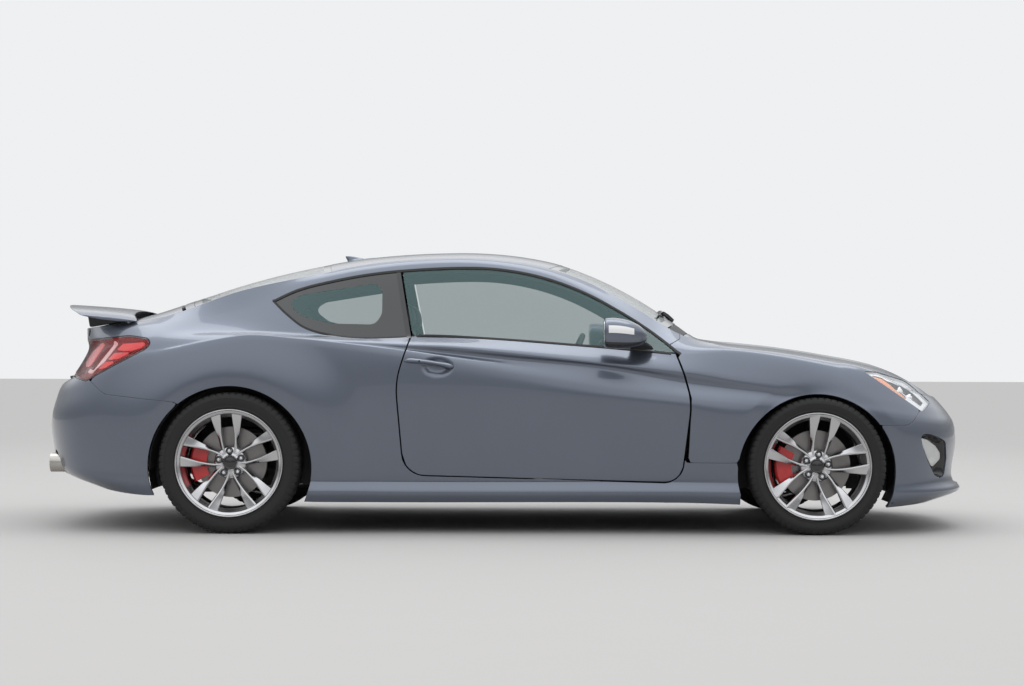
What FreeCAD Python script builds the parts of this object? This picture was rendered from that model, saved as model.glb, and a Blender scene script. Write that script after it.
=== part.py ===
import FreeCAD, Part
import math
import os

os.makedirs("parts", exist_ok=True)
V = FreeCAD.Vector

# A two-door coupe in millimetres. +X is the nose, +Y the car's left, +Z up.
# The origin is on the ground, under the middle of the car.

# Driving dimensions
LENGTH = 4630.0
BODY_WIDTH = 1865.0
WHEELBASE = 2820.0
FRONT_OVERHANG = 825.0
FRONT_TRACK = 1605.0
REAR_TRACK = 1618.0
TYRE_RADIUS_FRONT = 331.0
TYRE_RADIUS_REAR = 339.0
TYRE_WIDTH_FRONT = 225.0
TYRE_WIDTH_REAR = 245.0
RIM_LIP_RADIUS = 259.0
NUT_CIRCLE = 114.3
DISC_RADIUS = 170.0
ARCH_RADIUS_FRONT = 382.0
ARCH_RADIUS_REAR = 392.0
ARCH_DROP_FRONT = 36.0
ARCH_DROP_REAR = 24.0
LINER_RADIUS = 412.0

# Wall thicknesses and clearances
SKIN = 12.0
ROOF_WALL = 34.0
BONNET_WALL = 24.0
LID_WALL = 26.0
GLASS = 5.0
DOOR_EDGE_INSET = 26.0
LAMP_DEPTH = 55.0
SHUT_GAP = 6.0
TRIM_GAP = 0.9
SEAT_GAP = 0.3
BOND_GAP = 0.5
STEP = 12.0

FRONT_AXLE_X = LENGTH / 2 - FRONT_OVERHANG
REAR_AXLE_X = FRONT_AXLE_X - WHEELBASE
ARCH_Z_FRONT = TYRE_RADIUS_FRONT - ARCH_DROP_FRONT
ARCH_Z_REAR = TYRE_RADIUS_REAR - ARCH_DROP_REAR
NOSE_X = LENGTH / 2
TAIL_X = -LENGTH / 2
FRONT_CORNER_X = 1600.0
REAR_CORNER_X = -1690.0
FRONT_SQUARENESS = 2.5
REAR_SQUARENESS = 2.8
FRONT_FLARE = 19.0
REAR_FLARE = 26.0
FLARE_CREST = 445.0
FLARE_END = 720.0
FLARE_TUCK = 7.0

# Lines along the body side, lowest first. Rows are x, y, z.
# The last two values of each name are how far the line ends behind the nose and
# ahead of the tail, and its height there.
SIDE_LINES = [
    ("sill_edge", [(-1690, 845, 180), (-900, 862, 152), (880, 862, 152), (1600, 850, 122)],
     (140, 142), (250, 205)),
    ("sill_side", [(-1690, 868, 225), (-900, 888, 198), (880, 888, 198), (1600, 878, 178)],
     (0, 190), (110, 250)),
    ("sill_ledge", [(-1690, 876, 265), (-900, 866, 248), (880, 866, 248), (1600, 880, 238)],
     (24, 240), (45, 292)),
    ("door_foot", [(-1690, 884, 320), (-900, 872, 290), (880, 874, 290), (1600, 888, 300)],
     (34, 300), (20, 350)),
    ("waist", [(-1690, 906, 590), (-1100, 904, 640), (-500, 905, 640), (450, 909, 600),
               (880, 912, 560), (1600, 906, 480)],
     (20, 430), (0, 520)),
    ("crease", [(-1690, 888, 830), (-1282, 878, 925), (-994, 888, 912), (-800, 893, 893),
                (-515, 899, 858), (-276, 901, 820), (0, 904, 775), (450, 906, 705),
                (880, 910, 655), (1600, 902, 590)],
     (32, 520), (26, 640)),
    ("hollow", [(-1690, 868, 885), (-1282, 858, 942), (-994, 868, 930), (-800, 870, 914),
                (-515, 870, 890), (-276, 867, 866), (0, 867, 838), (450, 867, 797),
                (880, 868, 725), (1120, 882, 695), (1600, 890, 640)],
     (60, 570), (55, 705)),
    ("shadow", [(-1690, 842, 930), (-1282, 832, 958), (-994, 846, 944), (-800, 852, 930),
                (-515, 864, 912), (-276, 872, 901), (0, 880, 876), (450, 882, 828),
                (880, 882, 780), (1120, 890, 745), (1600, 872, 700)],
     (92, 610), (105, 745)),
    ("belt", [(-1690, 800, 972), (-1282, 793, 971), (-994, 797, 957), (-800, 801, 951),
              (-515, 802, 949), (0, 806, 936), (450, 812, 901), (800, 822, 868),
              (1120, 850, 872), (1350, 852, 845), (1600, 836, 800)],
     (118, 640), (180, 870)),
    ("window_top", [(-1690, 752, 1008), (-1300, 708, 1080), (-1018, 668, 1176),
                    (-724, 662, 1243), (-233, 660, 1284), (160, 664, 1241), (450, 684, 1127),
                    (700, 722, 975), (850, 780, 912), (1050, 800, 902), (1350, 800, 868),
                    (1600, 792, 826)],
     (136, 657), (172, 930)),
]
LINE_COUNT = len(SIDE_LINES) + 1
BELT = 8
RAIL = 10

# Upper edge of the side, where roof, screens, bonnet and lid meet it. Rows are x, y, z.
RAIL_LINE = [(-2050, 740, 972), (-1690, 700, 1037), (-1320, 655, 1167), (-1020, 620, 1237),
             (-630, 600, 1312), (-230, 585, 1338), (60, 580, 1317), (260, 590, 1271),
             (460, 610, 1190), (650, 645, 1079), (850, 690, 962), (1040, 718, 913),
             (1330, 720, 879), (1620, 720, 826), (1820, 720, 777), (2000, 720, 705),
             (2165, 720, 590)]
# Height of the car along its middle. Rows are x, z.
MIDDLE_LINE = [(-2150, 985), (-1950, 1030), (-1775, 1073), (-1570, 1145), (-1366, 1212),
               (-1162, 1270), (-958, 1316), (-754, 1352), (-549, 1373), (-345, 1384),
               (-141, 1385), (63, 1368), (267, 1328), (472, 1252), (676, 1147), (880, 1012),
               (935, 962), (1000, 944), (1175, 927), (1378, 904), (1580, 874), (1782, 838),
               (1884, 808), (1985, 766), (2086, 703), (2165, 638)]
RAIL_FRONT_END = 150.0
RAIL_REAR_END = 165.0
CROWN_POWER = 2.2


def along(rows, x):
    """Values at x from rows that start with x, by smooth steps that pass through every row."""
    if x <= rows[0][0]:
        return rows[0][1:]
    if x >= rows[-1][0]:
        return rows[-1][1:]
    k = 0
    while rows[k + 1][0] < x:
        k += 1
    a = rows[max(k - 1, 0)]
    b = rows[k]
    c = rows[k + 1]
    d = rows[min(k + 2, len(rows) - 1)]
    span = c[0] - b[0]
    t = (x - b[0]) / span
    out = []
    for i in range(1, len(b)):
        rise_b = (c[i] - a[i]) / (c[0] - a[0]) * span
        rise_c = (d[i] - b[i]) / (d[0] - b[0]) * span
        out.append(b[i] * (2 * t ** 3 - 3 * t ** 2 + 1) + c[i] * (3 * t ** 2 - 2 * t ** 3)
                   + rise_b * (t ** 3 - 2 * t ** 2 + t) + rise_c * (t ** 3 - t ** 2))
    return tuple(out)


def corner(start, end, half_width, turn, squareness):
    """Plan point of a line that turns the corner, turn 0 on the side and 1 on the middle."""
    power = 2.0 / squareness
    angle = min(max(turn, 0.0), 1.0) * math.pi / 2
    x = start + (end - start) * math.sin(angle) ** power
    y = half_width * max(math.cos(angle), 0.0) ** power
    return x, y


def rail_y(x):
    """Half width of the upper edge at x."""
    if x > FRONT_CORNER_X:
        share = min((x - FRONT_CORNER_X) / (NOSE_X - RAIL_FRONT_END - FRONT_CORNER_X), 1.0)
        edge = along(RAIL_LINE, FRONT_CORNER_X)[0]
        return edge * (1 - share ** FRONT_SQUARENESS) ** (1 / FRONT_SQUARENESS)
    if x < REAR_CORNER_X:
        share = min((REAR_CORNER_X - x) / (REAR_CORNER_X - TAIL_X - RAIL_REAR_END), 1.0)
        edge = along(RAIL_LINE, REAR_CORNER_X)[0]
        return edge * (1 - share ** REAR_SQUARENESS) ** (1 / REAR_SQUARENESS)
    return along(RAIL_LINE, x)[0]


def top_z(x, y):
    """Height of bonnet, screens, roof and lid at a plan point."""
    middle = along(MIDDLE_LINE, x)[0]
    edge_y, edge_z = along(RAIL_LINE, x)
    return middle - (middle - edge_z) * (abs(y) / edge_y) ** CROWN_POWER


def flare(x, z):
    """How far the arches push the side out."""
    total = 0.0
    for centre_x, centre_z, crest in ((FRONT_AXLE_X, ARCH_Z_FRONT, FRONT_FLARE),
                                      (REAR_AXLE_X, ARCH_Z_REAR, REAR_FLARE)):
        r = math.hypot(x - centre_x, z - centre_z)
        if r < FLARE_END:
            fade = min(max((r - FLARE_CREST) / (FLARE_END - FLARE_CREST), 0.0), 1.0)
            total += crest * (1 - fade * fade * (3 - 2 * fade))
        if r < FLARE_CREST:
            total -= FLARE_TUCK * min((FLARE_CREST - r) / (FLARE_CREST - ARCH_RADIUS_REAR), 1.0)
    return total


def line_point(index, u):
    """Point of one side line at u: x along the side, and past each corner 1000 to the middle."""
    x = min(max(u, REAR_CORNER_X), FRONT_CORNER_X)
    ahead = u > FRONT_CORNER_X
    turn = abs(u - x) / 1000.0
    squareness = FRONT_SQUARENESS if ahead else REAR_SQUARENESS
    start = FRONT_CORNER_X if ahead else REAR_CORNER_X
    if index == RAIL:
        if turn == 0:
            y = rail_y(x)
        else:
            end = NOSE_X - RAIL_FRONT_END if ahead else TAIL_X + RAIL_REAR_END
            x, y = corner(start, end, along(RAIL_LINE, start)[0], turn, squareness)
        return V(x, y, top_z(x, y))
    name, rows, nose, tail = SIDE_LINES[index]
    y, z = along(rows, x)
    if turn > 0:
        end = NOSE_X - nose[0] if ahead else TAIL_X + tail[0]
        end_z = nose[1] if ahead else tail[1]
        x, y = corner(start, end, y, turn, squareness)
        share = abs(x - start) / abs(end - start)
        z += (end_z - z) * share * share * (3 - 2 * share)
    return V(x, y, z)


def belt_edge(u):
    """How sharp the belt line is: 1 under the side windows, 0 on wing and quarter."""
    ahead = (1040 - u) / 240
    behind = (u + 1330) / 240
    return min(max(min(ahead, behind), 0.0), 1.0)


def top_normal(x, y):
    """Unit normal of the top at a plan point."""
    slope_x = (top_z(x + 4, y) - top_z(x - 4, y)) / 8
    slope_y = (top_z(x, y + 4) - top_z(x, y - 4)) / 8
    normal = V(-slope_x, -slope_y, 1)
    normal.normalize()
    return normal


def side_point(u, v):
    """Point of the skin at u, with v the number of the side line or a share between two."""
    k = min(int(v), LINE_COUNT - 2)
    t = v - k
    b = line_point(k, u)
    c = line_point(k + 1, u)
    a = line_point(k - 1, u) if k > 0 else b
    d = line_point(k + 2, u) if k + 2 < LINE_COUNT else c
    rise_b = (c - a) * 0.5
    rise_c = (d - b) * 0.5
    edge = belt_edge(u)
    if k == BELT:
        rise_b = rise_b * (1 - edge) + (c - b) * edge
    if k == BELT - 1:
        rise_c = rise_c * (1 - edge) + (c - b) * edge
    p = b * (2 * t ** 3 - 3 * t ** 2 + 1) + c * (3 * t ** 2 - 2 * t ** 3)
    p += rise_b * (t ** 3 - 2 * t ** 2 + t) + rise_c * (t ** 3 - t ** 2)
    turn = abs(u - min(max(u, REAR_CORNER_X), FRONT_CORNER_X)) / 1000.0
    p.y += flare(p.x, p.z) * max(1 - 2 * turn, 0.0) * min(1.0, (RAIL - v) / 2.0)
    return p


def spread(a, b, count):
    """count + 1 even values from a to b."""
    return [a + (b - a) * i / count for i in range(count + 1)]


def slab(point, us, vs, thickness, inset=0.0):
    """Closed flat-faced shell under a surface, with its thickness along the normal."""
    rows = len(us)
    cols = len(vs)
    outer = []
    inner = []
    reach = 2.0
    for u in us:
        for v in vs:
            p = point(u, v)
            du = point(u + reach, v) - point(u - reach, v)
            step = 0.02
            low = max(v - step, vs[0])
            high = min(v + step, vs[-1])
            dv = point(u, high) - point(u, low)
            normal = du.cross(dv)
            if normal.Length < 1e-9:
                normal = V(0, 0, 1)
            normal.normalize()
            outward = V(p.x * 0.02, p.y, 0) if abs(normal.z) < 0.9 else V(0, 0, 1)
            if normal.dot(outward) < 0:
                normal = normal * -1
            if v == RAIL:
                normal = top_normal(p.x, p.y)
            depth = thickness(u, v) if callable(thickness) else thickness
            outer.append(p - normal * inset)
            inner.append(p - normal * (inset + depth))
    return lattice(outer, inner, rows, cols)


def lattice(outer, inner, rows, cols):
    """Solid between two lattices of the same size."""
    points = [(p.x, p.y, p.z) for p in outer + inner]
    far = rows * cols
    faces = []

    def quad(a, b, c, d):
        faces.append((a, b, c))
        faces.append((a, c, d))

    for i in range(rows - 1):
        for j in range(cols - 1):
            a = i * cols + j
            b = a + cols
            quad(a, b, b + 1, a + 1)
            quad(far + a, far + a + 1, far + b + 1, far + b)
    for i in range(rows - 1):
        a = i * cols
        quad(a, far + a, far + a + cols, a + cols)
        a = i * cols + cols - 1
        quad(a, a + cols, far + a + cols, far + a)
    for j in range(cols - 1):
        quad(j, j + 1, far + j + 1, far + j)
        a = (rows - 1) * cols + j
        quad(a, far + a, far + a + 1, a + 1)
    return solid_of(points, faces)


def solid_of(points, faces):
    """Solid from a closed set of triangles."""
    shell = Part.Shape()
    shell.makeShapeFromMesh((points, faces), 0.001)
    solid = Part.makeSolid(shell)
    if solid.Volume < 0:
        solid.reverse()
    return solid


def rings(loops):
    """Solid through closed loops of points, all with as many points, capped by fans."""
    count = len(loops[0])
    points = []
    for loop in loops:
        points += [(p.x, p.y, p.z) for p in loop]
    faces = []
    for i in range(len(loops) - 1):
        for j in range(count):
            a = i * count + j
            b = i * count + (j + 1) % count
            faces.append((a, b, b + count))
            faces.append((a, b + count, a + count))
    for base, flip in ((0, True), ((len(loops) - 1) * count, False)):
        middle = len(points)
        loop = loops[0] if flip else loops[-1]
        centre = V(0, 0, 0)
        for p in loop:
            centre += p
        centre = centre * (1.0 / count)
        points.append((centre.x, centre.y, centre.z))
        for j in range(count):
            a = base + j
            b = base + (j + 1) % count
            faces.append((middle, b, a) if flip else (middle, a, b))
    return solid_of(points, faces)


def rounded(corners):
    """Outline from rows x, z, radius: straight runs with each corner rounded in short steps."""
    out = []
    count = len(corners)
    for i in range(count):
        x, z, radius = corners[i]
        if radius == 0:
            out.append((x, z))
            continue
        before = corners[i - 1]
        after = corners[(i + 1) % count]
        in_x, in_z = before[0] - x, before[1] - z
        on_x, on_z = after[0] - x, after[1] - z
        in_l = math.hypot(in_x, in_z)
        on_l = math.hypot(on_x, on_z)
        in_x, in_z, on_x, on_z = in_x / in_l, in_z / in_l, on_x / on_l, on_z / on_l
        half = math.acos(max(-1.0, min(1.0, in_x * on_x + in_z * on_z))) / 2
        reach = radius / math.tan(half)
        mid_x, mid_z = in_x + on_x, in_z + on_z
        mid_l = math.hypot(mid_x, mid_z)
        cx = x + mid_x / mid_l * radius / math.sin(half)
        cz = z + mid_z / mid_l * radius / math.sin(half)
        start = math.atan2(z + in_z * reach - cz, x + in_x * reach - cx)
        end = math.atan2(z + on_z * reach - cz, x + on_x * reach - cx)
        sweep = (end - start + math.pi) % (2 * math.pi) - math.pi
        steps = max(1, int(abs(math.degrees(sweep)) / STEP + 0.5))
        for k in range(steps + 1):
            angle = start + sweep * k / steps
            out.append((cx + radius * math.cos(angle), cz + radius * math.sin(angle)))
    return out


def grow(outline, amount):
    """The same outline with every side moved out by an amount, or in where it is negative."""
    area = 0.0
    count = len(outline)
    for i in range(count):
        a = outline[i]
        b = outline[(i + 1) % count]
        area += a[0] * b[1] - b[0] * a[1]
    sign = 1.0 if area > 0 else -1.0
    out = []
    for i in range(count):
        a = outline[i - 1]
        b = outline[i]
        c = outline[(i + 1) % count]
        n1 = side_normal(a, b, sign)
        n2 = side_normal(b, c, sign)
        mx, mz = n1[0] + n2[0], n1[1] + n2[1]
        length = math.hypot(mx, mz) or 1.0
        mx, mz = mx / length, mz / length
        lean = max(mx * n1[0] + mz * n1[1], 0.5)
        out.append((b[0] + mx * amount / lean, b[1] + mz * amount / lean))
    return out


def side_normal(a, b, sign):
    """Outward normal of the run from a to b."""
    x, z = b[0] - a[0], b[1] - a[1]
    length = math.hypot(x, z) or 1.0
    return z / length * sign, -x / length * sign


def prism(outline, near, far, axis="y"):
    """Solid of an outline pushed along an axis from near to far."""
    if axis == "y":
        points = [V(a, near, b) for a, b in outline]
        push = V(0, far - near, 0)
    elif axis == "x":
        points = [V(near, a, b) for a, b in outline]
        push = V(far - near, 0, 0)
    else:
        points = [V(a, b, near) for a, b in outline]
        push = V(0, 0, far - near)
    return Part.Face(Part.makePolygon(points + [points[0]])).extrude(push)


def box(x0, x1, y0, y1, z0, z1):
    """Box between two corners."""
    return Part.makeBox(x1 - x0, y1 - y0, z1 - z0, V(x0, y0, z0))


def disc_outline(cx, cz, radius, count=48):
    """Round outline in short runs."""
    return [(cx + radius * math.cos(2 * math.pi * k / count),
             cz + radius * math.sin(2 * math.pi * k / count)) for k in range(count)]


def mirrored(shape):
    """The same piece on the other side of the car."""
    return shape.mirror(V(0, 0, 0), V(0, 1, 0))


def turned(profile, axis_x, axis_z, degrees=360.0, start=0.0):
    """Solid of revolution about a line along Y. Profile rows are radius, y."""
    points = [V(axis_x + r, y, axis_z) for r, y in profile]
    face = Part.Face(Part.makePolygon(points + [points[0]]))
    solid = face.revolve(V(axis_x, 0, axis_z), V(0, 1, 0), degrees)
    if start:
        solid.rotate(V(axis_x, 0, axis_z), V(0, 1, 0), start)
    return solid


def save(name, *shapes):
    """Write one node."""
    shape = shapes[0] if len(shapes) == 1 else Part.makeCompound(list(shapes))
    shape.exportStep("parts/" + name + ".step")


def save_pair(name, shape):
    """Write a left node and its mirror image on the right."""
    save(name + "_left", shape)
    save(name + "_right", mirrored(shape))


# Shut lines and edges in side view. Rows are x, z, corner radius.
DOOR_EDGE = [(-452, 985, 0), (-534, 730, 380), (-494, 284, 110), (836, 250, 90), (884, 660, 420),
             (806, 885, 0)]
WING_EDGE = [(776, 906, 0), (842, 943, 0), (842, 1150, 0), (2500, 1150, 0), (2500, 345, 0),
             (870, 345, 0), (884, 660, 0), (815, 860, 0)]
FRONT_BUMPER_EDGE = [(1760, 528, 0), (1945, 528, 60), (2045, 645, 0), (2045, 950, 0),
                     (2500, 950, 0), (2500, 0, 0), (1760, 0, 0)]
REAR_BUMPER_EDGE = [(-1585, 628, 0), (-1940, 665, 60), (-2035, 745, 0), (-2500, 757, 0),
                    (-2500, 0, 0), (-1585, 0, 0)]
HEADLAMP_EDGE = [(1722, 786, 0), (1800, 784, 60), (1965, 738, 160), (2080, 634, 0),
                 (2020, 590, 14), (1800, 734, 200)]
TAIL_LAMP_EDGE = [(-1694, 930, 26), (-1740, 880, 60), (-2040, 724, 20), (-2180, 760, 0),
                  (-2180, 928, 0), (-2010, 934, 200), (-1830, 950, 200)]
WINDOW_TOP = [(-1142, 1118), (-1080, 1150), (-1018, 1176), (-920, 1203), (-724, 1243),
              (-527, 1268), (-233, 1284), (-37, 1277), (160, 1241), (356, 1173), (553, 1070),
              (700, 975), (834, 866)]
WINDOW_FOOT = [(834, 866), (594, 889), (255, 916), (-36, 937), (-375, 953), (-544, 945),
               (-714, 942), (-880, 960), (-990, 994), (-1080, 1060), (-1142, 1118)]
PILLAR_TOP = (-522, 1275)
PILLAR_FOOT = (-462, 940)
LAMP_INNER_Y = 470.0
LID_HALF_WIDTH = 470.0

# Openings of the shell between the side lines
WALL_DROP = [(0, 0), (7, 0), (8, 12), (9, 35), (10, 60)]
SIDE_WALL = [(0, 50), (3, 66), (5, 84), (7, 60), (8, 48), (9, 38), (10, 32)]
REACH_Y = 1200.0

GLASS_TAIL = 24.0
GLASS_SLOT = 0.8

# Door hinges: a pin on the body, a bored lug on the door
DOOR_HINGE_X = 789.0
DOOR_HINGE_Y = 888.0
DOOR_HINGE_HEIGHTS = (480.0, 655.0)
DOOR_FRONT_GAP = 8.0
DOOR_INNER_Y = 782.0
DOOR_RIM_Y = 838.0
HINGE_PIN_RADIUS = 5.0
HINGE_RING_RADIUS = 9.0
HINGE_LUG_HALF = 12.0
HINGE_PLATE = 12.0
HINGE_POCKET_HALF = 32.0
POST_X = (716.0, 800.0)
POST_Y = (690.0, 770.0)
SILL_BEAM_Y = (690.0, 822.0)
SILL_BEAM_Z = (158.0, 262.0)
JACK_PAD_X = (-800.0, 800.0)
JACK_PAD_Y = 752.0
JACK_PAD_Z = 146.0
JACK_PAD_HALF = (38.0, 28.0)


def window_outline():
    """Outline of the side window opening."""
    top = [(x, along(WINDOW_TOP, x)[0]) for x in spread(WINDOW_TOP[0][0], WINDOW_TOP[-1][0], 30)]
    foot_rows = sorted(WINDOW_FOOT)
    foot = [(x, along(foot_rows, x)[0]) for x in spread(foot_rows[0][0], foot_rows[-1][0], 24)]
    return top + foot[-2:0:-1]


def door_outline(gap=0.0):
    """Outline of the door in side view, grown by a gap."""
    return grow(rounded(DOOR_EDGE), gap)


def split_region(front, gap):
    """Side view region ahead of or behind the line between the two side windows."""
    x0, z0 = PILLAR_FOOT
    x1, z1 = PILLAR_TOP
    lean = (x1 - x0) / (z1 - z0)
    low = (x0 - lean * 200, z0 - 200)
    high = (x1 + lean * 200, z1 + 200)
    shift = gap if front else -gap
    far = 1400 if front else -1600
    return [(low[0] + shift, low[1]), (far, low[1]), (far, high[1]), (high[0] + shift, high[1])]


def both_arches(radius_grow=0.0):
    """Round cutters of the wheel arches on the left side."""
    out = []
    for x, z, radius in ((FRONT_AXLE_X, ARCH_Z_FRONT, ARCH_RADIUS_FRONT),
                         (REAR_AXLE_X, ARCH_Z_REAR, ARCH_RADIUS_REAR)):
        out.append(prism(disc_outline(x, z, radius + radius_grow), 300, REACH_Y))
    return out


def side_cut(shape, outline, gap=0.0):
    """Remove a side view outline from a left side piece."""
    return shape.cut(prism(grow(outline, gap), 0, REACH_Y))


def side_keep(shape, outline, gap=0.0):
    """Keep only what lies in a side view outline."""
    return shape.common(prism(grow(outline, gap), 0, REACH_Y))


def wall_at(rows):
    """Wall thickness that changes with the side line, thinner round the rear corner."""
    def thickness(u, v):
        wall = along(rows, v)[0]
        turn = max(REAR_CORNER_X - u, 0.0) / 1000.0
        return wall + (22 - wall) * min(turn * 3, 1.0)
    return thickness


def inward(u, v):
    """Direction into the car from the left side, level low down and turning down above."""
    run = line_point(4, u + 2.0) - line_point(4, u - 2.0)
    level = V(run.y, -run.x, 0)
    level.normalize()
    drop = math.radians(along(WALL_DROP, v)[0])
    return level * math.cos(drop) + V(0, 0, -math.sin(drop))


def build_side():
    """Quarter panel, sill, pillars and rail of the left side."""
    us = ([REAR_CORNER_X - 740, REAR_CORNER_X - 560, REAR_CORNER_X - 400, REAR_CORNER_X - 260,
           REAR_CORNER_X - 130, REAR_CORNER_X - 40]
          + spread(REAR_CORNER_X + 40, -900, 10) + spread(-800, 1120, 17))
    vs = [0, 1, 2, 3, 3.5, 4, 4.5, 5, 6, 7, 8, 8.5, 9, 10]
    wall = wall_at(SIDE_WALL)
    outer = []
    inner = []
    for u in us:
        for v in vs:
            p = side_point(u, v)
            way = top_normal(p.x, p.y) * -1 if v == RAIL else inward(u, v)
            outer.append(p)
            inner.append(p + way * wall(u, v))
    skin = lattice(outer, inner, len(us), len(vs))
    skin = side_cut(skin, rounded(WING_EDGE), TRIM_GAP / 2)
    skin = side_cut(skin, window_outline(), 0)
    skin = side_cut(skin, door_outline(SHUT_GAP), 0)
    skin = side_cut(skin, rounded(REAR_BUMPER_EDGE), TRIM_GAP / 2)
    skin = side_cut(skin, rounded(TAIL_LAMP_EDGE), TRIM_GAP / 2)
    for cutter in both_arches():
        skin = skin.cut(cutter)
    skin = skin.cut([box(-2600, -1700, -100, LID_HALF_WIDTH + SHUT_GAP, 0, 1500),
                     box(-2600, -2050, 0, LID_HALF_WIDTH + 36, 948, 1500)])
    skin = skin.cut(prism(disc_outline(FRONT_AXLE_X, ARCH_Z_FRONT, LINER_RADIUS + 8), 300, 872))
    beam = box(-905, FRONT_AXLE_X - LINER_RADIUS - 14, SILL_BEAM_Y[0], SILL_BEAM_Y[1],
               SILL_BEAM_Z[0], SILL_BEAM_Z[1])
    post = box(POST_X[0], POST_X[1], POST_Y[0], POST_Y[1], SILL_BEAM_Z[1] - 20, 828)
    head = box(POST_X[0], POST_X[1], POST_Y[0], POST_Y[1] - 20, 820, 892)
    middle_post = prism([(-560, SILL_BEAM_Z[1] - 20), (-474, SILL_BEAM_Z[1] - 20), (-482, 925),
                         (-505, 925), (-575, 500)], POST_Y[0], POST_Y[1] - 8)
    pads = [box(x - JACK_PAD_HALF[0], x + JACK_PAD_HALF[0], JACK_PAD_Y - JACK_PAD_HALF[1],
                JACK_PAD_Y + JACK_PAD_HALF[1], JACK_PAD_Z, SILL_BEAM_Z[0] + 10)
            for x in JACK_PAD_X]
    whole = skin.fuse([beam, post, head, middle_post] + pads)
    return max(whole.Solids, key=lambda solid: solid.Volume)


def hinge_arms():
    """Pins and arms that carry the left door, standing out from the hinge post."""
    x = DOOR_HINGE_X
    y = DOOR_HINGE_Y
    foot = POST_Y[1] + SEAT_GAP - y
    arm = [(x - 7, y - 4), (x - 3, y - 8), (x - 6, y - 30), (x - 12, y + foot),
           (x - 36, y + foot), (x - 34, y - 34), (x - 16, y - 25), (x - 14, y - 10)]
    out = []
    for z in DOOR_HINGE_HEIGHTS:
        pin = Part.makeCylinder(HINGE_PIN_RADIUS, 2 * (HINGE_LUG_HALF + HINGE_PLATE + 1),
                                V(x, y, z - HINGE_LUG_HALF - HINGE_PLATE - 1))
        pieces = []
        for z0 in (z + HINGE_LUG_HALF + 1, z - HINGE_LUG_HALF - 1 - HINGE_PLATE):
            ring = Part.makeCylinder(HINGE_RING_RADIUS, HINGE_PLATE, V(x, y, z0))
            pieces += [ring, prism(arm, z0, z0 + HINGE_PLATE, "z")]
        out.append(pin.fuse(pieces))
    return out


def build_door():
    """Left door: thin rim all round, thick inner part, pockets round the hinges."""
    us = spread(-560, 900, 15)
    vs = [1.5, 2, 3, 3.5, 4, 4.5, 5, 6, 7, 8]
    outer = [side_point(u, v) for u in us for v in vs]
    inner = [V(p.x, min(p.y - 62, DOOR_INNER_Y), p.z) for p in outer]
    leaf = lattice(outer, inner, len(us), len(vs))
    outline = door_outline()
    leaf = side_keep(leaf, outline)
    rim = prism(grow(outline, 40), 600, DOOR_RIM_Y)
    rim = rim.cut(prism(grow(outline, -DOOR_EDGE_INSET), 590, DOOR_RIM_Y + 10))
    keep_top = box(-700, 1000, 500, 900, 880, 1200)
    leaf = leaf.cut(rim.cut(keep_top))
    front = box(735, 1000, 600, DOOR_RIM_Y, 200, 840)
    leaf = leaf.cut(front)
    for z in DOOR_HINGE_HEIGHTS:
        x = DOOR_HINGE_X
        y = DOOR_HINGE_Y
        half = HINGE_POCKET_HALF
        leaf = leaf.cut(box(735, 1000, 600, y - 16, z - half, z + half))
        for z0, z1 in ((z - half, z - HINGE_LUG_HALF), (z + HINGE_LUG_HALF, z + half)):
            leaf = leaf.cut(box(x - 30, x + 40, 600, y - 6, z0, z1))
            leaf = leaf.cut(prism(disc_outline(x, y, HINGE_RING_RADIUS + 3, 24), z0, z1, "z"))
        leaf = leaf.cut(Part.makeCylinder(HINGE_PIN_RADIUS + SEAT_GAP, 2 * half,
                                          V(x, y, z - half)))
    slot = side_pane(GLASS + 2 * GLASS_SLOT, 2.0 - GLASS_SLOT)
    slot = slot.common(box(-449, 775, 600, 900, 800, 1000))
    return leaf.cut(slot)


def build_handle():
    """Pull handle on the left door."""
    rows = [(-495, 838, 4, 6), (-470, 843, 16, 13), (-400, 836, 24, 15), (-310, 826, 24, 14),
            (-270, 820, 14, 10), (-258, 818, 4, 5)]
    loops = []
    for x, z, out, half in rows:
        y = side_point(x, 5).y - 6
        loops.append([V(x, y + (out + 6) * max(math.cos(a), -0.1), z + half * math.sin(a))
                      for a in [math.radians(30 * k) for k in range(12)]])
    return rings(loops)


def build_mirror():
    """Left door mirror: housing and the foot that stands on the door."""
    rows = [(462, 936, 968, 84, 66), (470, 938, 967, 92, 73), (520, 938, 966, 92, 73),
            (570, 934, 962, 84, 68), (620, 926, 956, 64, 54), (655, 918, 950, 36, 34),
            (668, 914, 948, 14, 14)]
    loops = []
    for x, y, z, wide, high in rows:
        loop = []
        for k in range(20):
            a = 2 * math.pi * k / 20
            c, s = math.cos(a), math.sin(a)
            power = 0.75
            loop.append(V(x, y + wide * abs(c) ** power * (1 if c > 0 else -1),
                          z + high * abs(s) ** power * (1 if s > 0 else -1)))
        loops.append(loop)
    housing = rings(loops)
    foot = rings([[V(x, y, z) for x, z in ((560, z0), (650, z0 - 6), (700, z0 - 12),
                                           (700, z0 - 26), (560, z0 - 22))]
                  for y, z0 in ((816, 905), (858, 916), (900, 928))])
    return housing.fuse(foot)


def pane_point(u, v):
    """Point of the side window surface, running straight on below the belt line."""
    if v >= BELT:
        return side_point(u, v)
    foot = side_point(u, BELT)
    return foot - (side_point(u, BELT + 0.3) - foot) * ((BELT - v) / 0.3)


def side_pane(thickness, inset):
    """Whole side window surface as a sheet."""
    return slab(pane_point, spread(-1160, 860, 20), [BELT - 0.15, BELT, 8.5, 9, 9.4],
                thickness, inset)


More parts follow.
